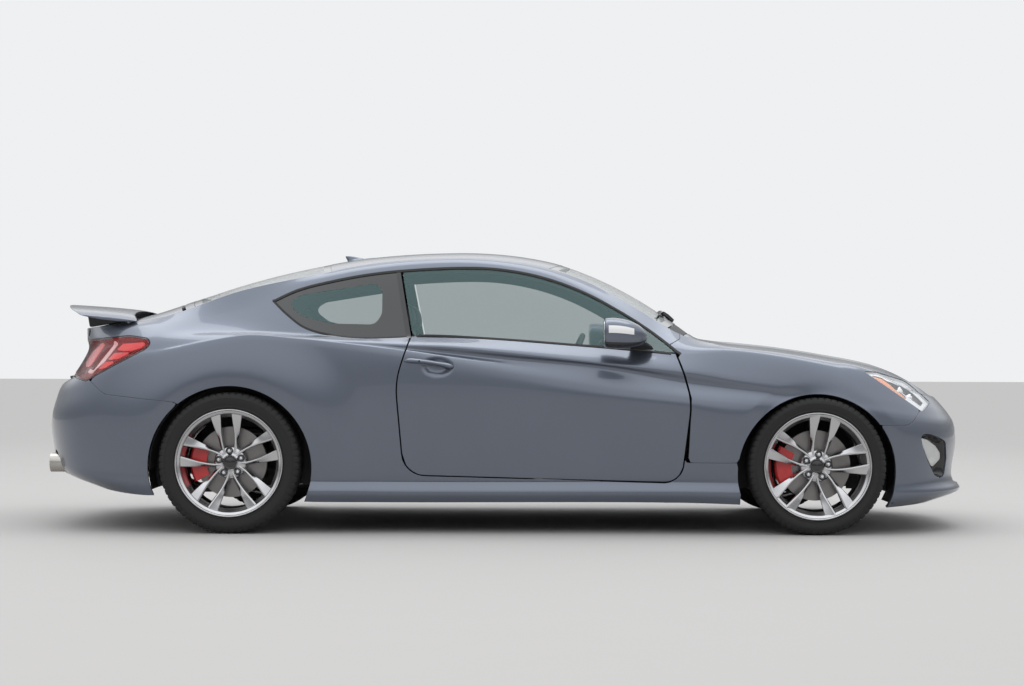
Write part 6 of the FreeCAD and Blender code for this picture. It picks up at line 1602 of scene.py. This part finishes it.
def build_mirrors():
    """Door mirrors: painted housing, dark base, glass, and a pale strip."""
    rows = [(462, 936, 968, 82, 64), (466, 937, 967.5, 88, 69), (472, 938, 967, 91, 72),
            (520, 938, 966, 92, 73), (570, 934, 962, 84, 68), (620, 926, 956, 64, 54),
            (645, 921, 952, 45, 41), (660, 916, 949, 26, 25), (668, 914, 948, 8, 8)]
    count = MIRROR_POINTS
    turn = round_turns(count)
    c, s = np.cos(turn), np.sin(turn)
    across = MIRROR_WIDTH_SHARE * np.abs(c) ** 0.75 * np.sign(c)
    rise = np.abs(s) ** 0.75 * np.sign(s)
    loops = []
    for x in np.concatenate([[462, 464, 467], np.linspace(472, 660, 24), [664, 667, 668]]):
        y, z, wide, high = along(rows, x)
        loops.append(np.stack([np.full(count, x), y + wide * across, z + high * rise], -1))
    loops = np.array(loops)
    points, faces = loft(loops)
    kinds = []
    for face in faces[:-2]:
        place_on_ring = face[0] % count
        middle = points[list(face), 0].mean()
        below = max(s[place_on_ring], s[face[1] % count]) < -0.5
        signal = place_on_ring < 3 and 484 < middle < 604
        kinds.append(1 if below else 2 if signal else 0)
    kinds += [0, 0]
    normals = np.zeros_like(points)
    for face in faces[:-2]:
        corner = points[list(face)]
        way = np.cross(corner[2] - corner[0], corner[3] - corner[1])
        way *= np.sign((way * (corner.mean(0) - [560, 935, 962])).sum())
        normals[list(face)] += way
    normals /= lengths(normals)
    paired("mirror_housing", (points, normals, faces, kinds), "left_door", "body_paint",
           ["metallic_paint", "gloss_black", "pale_signal"], replaces=["mirror_left"])
    face_points = loops[2][:, 1:]
    middle = face_points.mean(0)
    glass = (face_points - middle) * 0.88 + middle
    paired("mirror_glass", pushed(glass, 460.6, 464, axis=0), "left_door", "window_glass",
           "mirror_silver", replaces=["mirror_left"])


def build_mirror_feet():
    """Arms between the doors and the mirrors: a section at each y, with its height and sweep."""
    foot = [[(x, y, z) for x, z in ((596 - back, z0), (650, z0 - 4), (704 - back, z0 - 8),
                                    (704 - back, z0 - 18), (650, z0 - 19), (596 - back, z0 - 16))]
            for y, z0, back in ((816, 906, 0), (840, 909, 2), (858, 914, 8), (880, 922, 20),
                                (902, 930, 34))]
    paired("mirror_foot", loft(foot), "left_door", "trim_black", "black_plastic", bevel=3,
           replaces=["mirror_left"])


# Wheels


def tyre_profile(radius, width, rim_half):
    """Outer profile of a tyre from bead to bead, with grooves, then its inner side."""
    half = width / 2
    rows = [(241.8, rim_half - 12), (247, rim_half - 7.5), (255, rim_half - 4), (261, half - 8),
            (264, half - 4.4), (268, half - 3.2), (272, half - 4.4), (280, half - 2.2),
            (radius - 42, half - 0.4), (radius - 34, half - 0.2), (radius - 33, half - 1.2),
            (radius - 31, half - 1.2), (radius - 30, half - 0.4), (radius - 20, half - 3),
            (radius - 13, half - 7), (radius - 7, half - 12), (radius - 3.4, half - 18),
            (radius - 1.8, half - 24), (radius - 1.5, half - 30)]
    for middle in (half * 0.56, half * 0.2):
        for side, depth in ((6, 1.5), (4.4, 8.5), (-4.4, 8.5), (-6, 1.5)):
            rows.append((radius - depth, middle + side))
    outer = rows + [(r, -y) for r, y in reversed(rows)]
    inner = [(radius - 16, half - 30), (radius - 24, half - 16), (radius - 44, half - 11),
             (263, half - 16), (241.8, rim_half - 26)]
    return np.array(outer + [(r, -y) for r, y in reversed(inner)] + inner), len(outer)


def build_tyre(end):
    """Tyre with grooves, shoulder notches and sidewall rings, about the wheel's middle."""
    radius, width = TYRE_RADIUS[end], TYRE_WIDTH[end]
    profile, outer_count = tyre_profile(radius, width, RIM_HALF[end])
    sizes = bpy.context.scene.coupe_sizes
    count = sizes.tread_blocks * 5
    points, faces = turned(profile, count)
    grid = points.reshape(count, len(profile), 3)
    r = profile[:, 0]
    y = profile[:, 1]
    tread = (np.arange(len(r)) < outer_count) & (r > radius - 22)
    for row in np.nonzero(tread)[0]:
        shoulder = abs(y[row]) > width / 2 - 31
        phase = 0 if y[row] > 0 else 2
        ribs = abs(y[row]) > width * 0.14 and r[row] > radius - 4
        cut = sizes.notch_depth / MM if shoulder else (3.2 if ribs else 0)
        for k in range(phase if shoulder else phase + 1, count, 5):
            scale = (r[row] - cut) / r[row]
            grid[k, row, 0] *= scale
            grid[k, row, 2] *= scale
    return grid.reshape(-1, 3), faces


# Spoke sections: distance from the hub, near and far edge, front and back face
SPOKE_ROWS = [(38, 14, 36, 62, 34), (80, 25, 45, 67, 40), (120, 29, 51, 74, 48),
              (150, 29, 59, 82, 58), (190, 26, 69, 92, 68), (226, 23, 77, 100, 76),
              (251, 22, 80, 105, 84)]


def spoke_turns(end):
    """Angles of the spoke pairs and of the nuts between them."""
    return [math.radians(FIRST_SPOKE[end] + 360 / SPOKE_PAIRS * k) for k in range(SPOKE_PAIRS)]


def build_spokes(end):
    """Five pairs of spokes with a raised inner edge and a broad bevelled outer end."""
    parts = []
    for turn in spoke_turns(end):
        for side in (1, -1):
            loops = []
            for a in np.linspace(38, 251, 30):
                near, far, front, back = along(SPOKE_ROWS, a)
                wide = far - near
                pad = smooth((a - 108) / 100)
                fall = 15 - 11 * pad
                section = [(near, back), (near, front - 8), (near + wide * 0.08, front - 1.5),
                           (near + wide * (0.30 - 0.1 * pad), front),
                           (near + wide * (0.45 - 0.1 * pad), front - 1.5),
                           (far - wide * 0.06, front - fall), (far, front - fall - 4),
                           (far - wide * 0.1, back)]
                b, y = np.array(section).T
                b = side * b
                loops.append(np.stack([a * math.cos(turn) - b * math.sin(turn), y,
                                       a * math.sin(turn) + b * math.cos(turn)], -1))
            parts.append(loft(loops))
    return joined(*parts)


# Wheel houses: end, lowest angle in degrees, half widths to the inner wall and the outer edge
WHEEL_HOUSES = (("front", -12, 500, 800), ("rear", -16, 604, 780))
# Radii from and to of the inner wall and of the lining
HOUSE_WALL = (262.0, 408.0)
HOUSE_LINING = (404.0, 408.0)


def build_wheel_houses():
    """Dark walls and linings inside the wheel arches."""
    for end, low, inner, outer in WHEEL_HOUSES:
        centre_x, centre_z = AXLE_X[end], ARCH[end][1]
        parts = []
        for reach, y0, y1 in ((HOUSE_WALL, inner, inner + 4), (HOUSE_LINING, inner, outer)):
            loops = []
            for angle in np.radians(np.linspace(low, 180 - low, 60)):
                c, s = math.cos(angle), math.sin(angle)
                loops.append([(centre_x + r * c, y, centre_z + r * s)
                              for r, y in ((reach[0], y0), (reach[1], y0), (reach[1], y1),
                                           (reach[0], y1))])
            parts.append(loft(loops))
        paired("wheel_house_" + end, joined(*parts), "shell", "trim_black", "black_plastic")


# Profiles of the hub, its cap, a wheel nut and the nut's seat: rows radius, y
HUB = [(0, 30), (80, 30), (80, 42), (77, 50), (71, 56), (63, 59.5), (50, 61), (40, 62.5),
       (36, 66), (33.5, 69), (0, 69)]
CAP = [(0, 66), (33, 66), (33, 71), (31, 74.5), (27, 75), (25, 73.8), (18, 76), (0, 77.5)]
NUT = [(0, 0), (10.5, 0), (10.5, 9), (9.5, 15), (6, 18.5), (0, 19.5)]
NUT_SEAT = [(10.8, 0), (18, 0), (17.6, 5.6), (16.2, 6.6), (14.8, 5.6), (13.4, 1.2), (10.8, 1.2)]


def rim_profile(half):
    """Profile of a rim's barrel between its two lips, with its seats and well."""
    seat, lip = RIM_SEAT, RIM_LIP
    return [(lip, half - 4), (lip, half + 1), (lip - 1.5, half + 3.4), (lip - 5, half + 4),
            (lip - 8, half + 2), (lip - 10, half - 4), (seat - 2, half - 9),
            (seat - 6, half - 14), (seat - 8, half - 24), (seat - 14, half - 38),
            (seat - 22, half - 52), (seat - 26, -30), (seat - 8, -half + 22),
            (seat - 8, -half + 2), (lip - 5, -half - 4), (lip, -half - 2), (lip, -half + 4),
            (seat, -half + 9), (seat, -half + 26), (seat - 18, -28), (seat - 18, 34),
            (seat, half - 28), (seat, half - 9)]


def build_wheels():
    """Tyres, rims, nuts and caps on the four wheels."""
    for end in ("front", "rear"):
        spokes = build_spokes(end)
        tyre = build_tyre(end)
        nuts = []
        wells = []
        for turn in spoke_turns(end):
            spot = np.array([NUT_CIRCLE * math.cos(turn), 57, NUT_CIRCLE * math.sin(turn)])
            nuts.append(moved(turned(NUT, 6), spot))
            wells.append(moved(turned(NUT_SEAT, 28), spot + [0, 4, 0]))
        shift = (AXLE_X[end], TRACK[end] / 2, TYRE_RADIUS[end])
        barrel = turned(rim_profile(RIM_HALF[end]), 128)
        for name, part, slot, finish, node, options in (
                ("tyre_tread", tyre, "tyre", "tyre_rubber", "tyre_", {"smooth_angle": 24}),
                ("rim_barrel", barrel, "rim_alloy", "dark_chrome", "rim_", {}),
                ("rim_spokes", spokes, "rim_alloy", "dark_chrome", "rim_",
                 {"smooth_angle": 22, "bevel": 1.0}),
                ("rim_hub", turned(HUB, 80), "rim_alloy", "dark_chrome", "rim_", {}),
                ("nut_seats", joined(*wells), "rim_alloy", "rim_pocket_grey", "rim_", {}),
                ("wheel_nuts", joined(*nuts), "rim_alloy", "bright_chrome", "rim_",
                 {"bevel": 1.2}),
                ("wheel_cap", turned(CAP, 64), "rim_alloy", "gloss_black", "rim_", {})):
            paired(name + "_" + end, moved(part, shift), end + "_left_wheel", slot, finish,
                   replaces=[node + end + "_left"], **options)


# Cabin and underside


def pad(outline, y0, y1, bolster=0.0, seams=(), push=4.0, flat_foot=None):
    """Stuffed form of a side view outline: full in the middle, pulled in at ends and seams."""
    path = resample(rounded(outline, 12.0), 26.0)
    centre = path.mean(0)
    out = path - centre
    out /= lengths(out)
    stops = {-1.0, 1.0, -0.985, 0.985, -0.95, 0.95, -0.88, 0.88}
    stops |= {round(float(t), 4) for t in np.linspace(-0.8, 0.8, 15)}
    for t in seams:
        stops |= {t - 0.03, t, t + 0.03}
    loops = []
    for t in sorted(stops):
        shrink = 34.0 * (1 - (1 - min(abs(t), 1.0) ** 7) ** 0.5)
        swell = 9.0 * (1 - t * t)
        groove = push * max([0.0] + [1 - abs(t - seam) / 0.02 for seam in seams])
        lift = bolster * float(smooth((abs(t) - 0.5) / 0.25)) * np.clip(out[:, 1:] * 2 - 0.5, 0, 1)
        ring = path + out * (swell - shrink - groove) + np.array([0.0, 1.0]) * lift
        if flat_foot is not None:
            ring[:, 1] = np.maximum(ring[:, 1], flat_foot)
        y = (y0 + y1) / 2 + (y1 - y0) / 2 * t
        loops.append(np.stack([ring[:, 0], np.full(len(ring), y), ring[:, 1]], -1))
    return loft(loops)


def build_front_seats():
    """Front seats in leather on their runners."""
    cushion = pad([(-318, 276, 40), (-328, 402, 60), (120, 442, 60), (176, 330, 50)], 143, 597,
                  bolster=22, seams=(-0.5, 0.5))
    back = pad([(-238, 352, 50), (-430, 946, 60), (-540, 946, 50), (-384, 352, 40)], 153, 587,
               seams=(-0.5, 0.5))
    head = pad([(-462, 996, 34), (-486, 1116, 40), (-560, 1116, 36), (-548, 996, 26)], 252, 488)
    legs = joined(tube([(-500, 310, 900), (-512, 310, 1012)], 6.5, 14),
                  tube([(-500, 430, 900), (-512, 430, 1012)], 6.5, 14),
                  block(-300, 160, 165, 205, 193, 300), block(-300, 160, 535, 575, 193, 300))
    for name, part in (("seat_cushion", cushion), ("seat_back", back), ("head_rest", head)):
        for piece in paired(name, part, "shell", "seat_leather", "black_leather", subdivide=1,
                            replaces=["front_seats"]):
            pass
    paired("seat_runners", legs, "shell", "hinge_steel", "hinge_steel", bevel=1.5,
           replaces=["front_seats"])


def build_rear_seat():
    """Rear bench in leather."""
    bench = pad([(-722, 416, 20), (-706, 488, 50), (-968, 474, 30), (-925, 416, 20)], -545, 545,
                seams=(-0.52, -0.1, 0.1, 0.52), flat_foot=411.0)
    rest = pad([(-1000, 556, 20), (-1112, 886, 50), (-1192, 898, 20), (-1124, 556, 20)], -535, 535,
               seams=(-0.52, -0.1, 0.1, 0.52))
    for name, part in (("rear_cushion", bench), ("rear_back", rest)):
        piece = place(name, part, "shell", "seat_leather", "black_leather", subdivide=1,
                      replaces=["rear_seat"])
    place("rear_seat_base", block(-1090, -1012, -500, 500, 490.3, 560), "shell", "seat_leather",
          "cabin_trim", bevel=6, replaces=["rear_seat"])


KEPT = {
    "floor_pan": "underbody_coating", "boot_floor": "underbody_coating",
    "rear_shelf": "cabin_trim", "front_structure": "underbody_coating",
    "grille": "black_plastic", "wipers": "black_plastic", "engine": "cast_aluminium",
    "exhaust": "exhaust_steel", "front_cradle": "cast_iron", "rear_cradle": "cast_iron",
    "drive_shafts": "cast_iron", "rear_knuckles": "cast_iron",
    "knuckle_front_left": "cast_iron", "knuckle_front_right": "cast_iron",
    "caliper_front_left": "red_caliper", "caliper_front_right": "red_caliper",
    "rear_calipers": "red_caliper", "door_hinges": "hinge_steel", "dashboard": "cabin_trim",
    "steering_wheel": "black_leather", "brake_disc_front_left": "brake_iron",
    "brake_disc_front_right": "brake_iron", "brake_disc_rear_left": "brake_iron",
    "brake_disc_rear_right": "brake_iron",
}


def finish_kept():
    """Give every CAD node that stays in view its own finish."""
    for node, finish in KEPT.items():
        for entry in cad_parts[node].material_slots:
            entry.material = FINISHES[finish]


# Stage


# Camera in metres, with its focal length in millimetres and its angles in degrees
CAMERA_AT = (0.0224, -10.92, 0.86)
CAMERA_LENS = 73.48
CAMERA_TILT = 90.343
CAMERA_ROLL = 0.194
FLOOR_HALF = 60000.0
# Brightness of the sky from straight below, at 0, to straight above, at 1
SKY_STOPS = ((0.0, 0.28), (0.5, 0.33), (0.53, 0.26), (0.57, 0.36), (0.64, 0.95), (1.0, 1.55))
# Lights: name, place and aim in metres, width, height, power
LIGHTS = (
    ("overhead", (0, 0.5, 6.5), (0, 0, 0.6), 9.0, 3.2, 160),
    ("camera_side", (-1.5, -7.5, 4.6), (0, 0, 0.6), 7.0, 2.6, 70),
    ("far_side", (0.5, 7.5, 4.4), (0, 0, 0.7), 7.0, 2.6, 50),
)


def build_ground():
    """Plain floor."""
    half = FLOOR_HALF
    floor = [(-half, -half, 0), (half, -half, 0), (half, half, 0), (-half, half, 0)], [(0, 1, 2, 3)]
    place("studio_ground", floor, None, None, "studio_floor")


def build_sky():
    """Sky that lights the car, seen by the camera as a plain background."""
    world = bpy.data.worlds.new("soft_sky")
    bpy.context.scene.world = world
    world.use_nodes = True
    sky = Nodes(world.node_tree)
    way = sky.node("ShaderNodeTexCoord", output="Generated")
    rise = sky.node("ShaderNodeSeparateXYZ", {0: way}, output=2)
    stops = [(at, (shade * 0.985, shade, shade * 1.02)) for at, shade in SKY_STOPS]
    shades = sky.node("ShaderNodeValToRGB", {0: rise * 0.5 + 0.5}, {"stops": stops})
    glow = sky.node("ShaderNodeBackground", {0: shades, 1: 1.0})
    plain = sky.node("ShaderNodeBackground", {0: (0.86, 0.87, 0.88)})
    seen = sky.node("ShaderNodeLightPath", output="Is Camera Ray")
    through = sky.node("ShaderNodeLightPath", output="Is Transmission Ray")
    mix = sky.node("ShaderNodeMixShader",
                   {0: seen.maths("MAXIMUM", seen, through), 1: glow, 2: plain})
    sky.node("ShaderNodeOutputWorld", {0: mix})


def build_lights():
    """Three broad lights."""
    for name, at, aim, width, height, power in LIGHTS:
        lamp = bpy.data.lights.new(name, "AREA")
        lamp.shape = "RECTANGLE"
        lamp.size = width
        lamp.size_y = height
        lamp.energy = power
        lamp_object = bpy.data.objects.new(name, lamp)
        bpy.context.collection.objects.link(lamp_object)
        way = Vector(aim) - Vector(at)
        lamp_object.location = at
        lamp_object.visible_glossy = name == "overhead"
        lamp_object.rotation_euler = way.to_track_quat("-Z", "Y").to_euler()


def build_camera():
    """Camera at the photograph's place."""
    camera_data = bpy.data.cameras.new("camera")
    camera_data.lens = CAMERA_LENS
    camera_data.sensor_width = 36.0
    camera = bpy.data.objects.new("camera", camera_data)
    bpy.context.collection.objects.link(camera)
    camera.matrix_world = (Matrix.Translation(CAMERA_AT)
                           @ Matrix.Rotation(math.radians(CAMERA_TILT), 4, "X")
                           @ Matrix.Rotation(math.radians(CAMERA_ROLL), 4, "Z"))
    bpy.context.scene.camera = camera
    bpy.context.scene.view_settings.view_transform = "Standard"


# Add-on classes


class CoupeColors(bpy.types.PropertyGroup):
    """Colours that a user would change."""
    paint: bpy.props.FloatVectorProperty(
        name="Paint", description="Body colour under the clear coat", subtype="COLOR",
        default=(0.127, 0.147, 0.188), min=0.0, max=1.0)
    tint: bpy.props.FloatVectorProperty(
        name="Glass tint", description="Colour of the window glass", subtype="COLOR",
        default=(0.070, 0.155, 0.158), min=0.0, max=1.0)
    floor: bpy.props.FloatVectorProperty(
        name="Floor", description="Colour of the studio floor", subtype="COLOR",
        default=(0.42, 0.41, 0.40), min=0.0, max=1.0)


class CoupeSizes(bpy.types.PropertyGroup):
    """Sizes that a user would change."""
    tread_blocks: bpy.props.IntProperty(
        name="Tread blocks", description="Shoulder blocks round each tyre", default=64, min=30,
        max=90)
    notch_depth: bpy.props.FloatProperty(
        name="Notch depth", description="Depth of the notches between shoulder blocks",
        default=0.0046, min=0.001, max=0.008, subtype="DISTANCE", unit="LENGTH")


def carry_out(context, *builders):
    """Make the materials before the first piece, then run a step's builders."""
    if not FINISHES:
        make_finishes(context.scene.coupe_colors)
    for build in builders:
        build()
    return {"FINISHED"}


class COUPE_OT_sides(bpy.types.Operator):
    """Quarter panels, sills and window surrounds."""
    bl_idname = "coupe.sides"
    bl_label = "Body sides"
    bl_options = {"REGISTER", "UNDO"}

    def execute(self, context):
        return carry_out(context, build_sides, build_window_trims)


class COUPE_OT_doors(bpy.types.Operator):
    """Door panels, handles, seals and inner trims."""
    bl_idname = "coupe.doors"
    bl_label = "Doors"
    bl_options = {"REGISTER", "UNDO"}

    def execute(self, context):
        return carry_out(context, build_doors, build_door_handles, build_door_trims)


class COUPE_OT_wings(bpy.types.Operator):
    """Front wings."""
    bl_idname = "coupe.wings"
    bl_label = "Wings"
    bl_options = {"REGISTER", "UNDO"}

    def execute(self, context):
        return carry_out(context, build_wings)


class COUPE_OT_bumpers(bpy.types.Operator):
    """Front and rear bumper with their recesses."""
    bl_idname = "coupe.bumpers"
    bl_label = "Bumpers"
    bl_options = {"REGISTER", "UNDO"}

    def execute(self, context):
        return carry_out(context, build_front_bumper, build_fog_lamps, build_rear_bumper,
                         build_plate_recess)


class COUPE_OT_top(bpy.types.Operator):
    """Roof, bonnet, cowl, deck and roof fin."""
    bl_idname = "coupe.top"
    bl_label = "Top panels"
    bl_options = {"REGISTER", "UNDO"}

    def execute(self, context):
        return carry_out(context, build_roof, build_bonnet, build_cowl, build_deck,
                         build_fin)


class COUPE_OT_boot(bpy.types.Operator):
    """Boot lid, its wall and the spoiler."""
    bl_idname = "coupe.boot"
    bl_label = "Boot lid and spoiler"
    bl_options = {"REGISTER", "UNDO"}

    def execute(self, context):
        return carry_out(context, build_boot, build_spoiler)


class COUPE_OT_glass(bpy.types.Operator):
    """All window panes with their dark borders."""
    bl_idname = "coupe.glass"
    bl_label = "Glass"
    bl_options = {"REGISTER", "UNDO"}

    def execute(self, context):
        return carry_out(context, build_side_glass, build_screens)


class COUPE_OT_lamps(bpy.types.Operator):
    """Headlamps and tail lamps."""
    bl_idname = "coupe.lamps"
    bl_label = "Lamps"
    bl_options = {"REGISTER", "UNDO"}

    def execute(self, context):
        return carry_out(context, build_headlamps, build_tail_lamps)


class COUPE_OT_mirrors(bpy.types.Operator):
    """Door mirrors."""
    bl_idname = "coupe.mirrors"
    bl_label = "Mirrors"
    bl_options = {"REGISTER", "UNDO"}

    def execute(self, context):
        return carry_out(context, build_mirrors, build_mirror_feet)


class COUPE_OT_wheels(bpy.types.Operator):
    """Tyres, rims, nuts and caps."""
    bl_idname = "coupe.wheels"
    bl_label = "Wheels"
    bl_options = {"REGISTER", "UNDO"}

    def execute(self, context):
        return carry_out(context, build_wheel_houses, build_wheels)


class COUPE_OT_cabin(bpy.types.Operator):
    """Leather seats and the finishes of what stays as it is."""
    bl_idname = "coupe.cabin"
    bl_label = "Cabin"
    bl_options = {"REGISTER", "UNDO"}

    def execute(self, context):
        return carry_out(context, build_front_seats, build_rear_seat, finish_kept)


class COUPE_OT_stage(bpy.types.Operator):
    """Floor, lights, background and camera."""
    bl_idname = "coupe.stage"
    bl_label = "Stage"
    bl_options = {"REGISTER", "UNDO"}

    def execute(self, context):
        return carry_out(context, build_ground, build_sky, build_lights, build_camera)


STEPS = ("sides", "doors", "wings", "bumpers", "top", "boot", "glass", "lamps", "mirrors",
         "wheels", "cabin", "stage")


class COUPE_PT_panel(bpy.types.Panel):
    """The steps of the coupe in the sidebar of the 3D view."""
    bl_label = "Coupe"
    bl_idname = "COUPE_PT_panel"
    bl_space_type = "VIEW_3D"
    bl_region_type = "UI"
    bl_category = "Coupe"

    def draw(self, context):
        layout = self.layout
        colors = context.scene.coupe_colors
        sizes = context.scene.coupe_sizes
        for key in ("paint", "tint", "floor"):
            layout.prop(colors, key)
        for key in ("tread_blocks", "notch_depth"):
            layout.prop(sizes, key)
        for entry in STEPS:
            layout.operator("coupe." + entry)


CLASSES = (CoupeColors, CoupeSizes, COUPE_OT_sides, COUPE_OT_doors, COUPE_OT_wings,
           COUPE_OT_bumpers, COUPE_OT_top, COUPE_OT_boot, COUPE_OT_glass, COUPE_OT_lamps,
           COUPE_OT_mirrors, COUPE_OT_wheels, COUPE_OT_cabin, COUPE_OT_stage, COUPE_PT_panel)


def register():
    for entry in CLASSES:
        bpy.utils.register_class(entry)
    bpy.types.Scene.coupe_colors = bpy.props.PointerProperty(type=CoupeColors)
    bpy.types.Scene.coupe_sizes = bpy.props.PointerProperty(type=CoupeSizes)


def unregister():
    del bpy.types.Scene.coupe_sizes
    del bpy.types.Scene.coupe_colors
    for entry in reversed(CLASSES):
        bpy.utils.unregister_class(entry)


def main():
    """Register the add-on and run every step in order."""
    register()
    for entry in STEPS:
        getattr(bpy.ops.coupe, entry)()


if __name__ == "__main__":
    main()
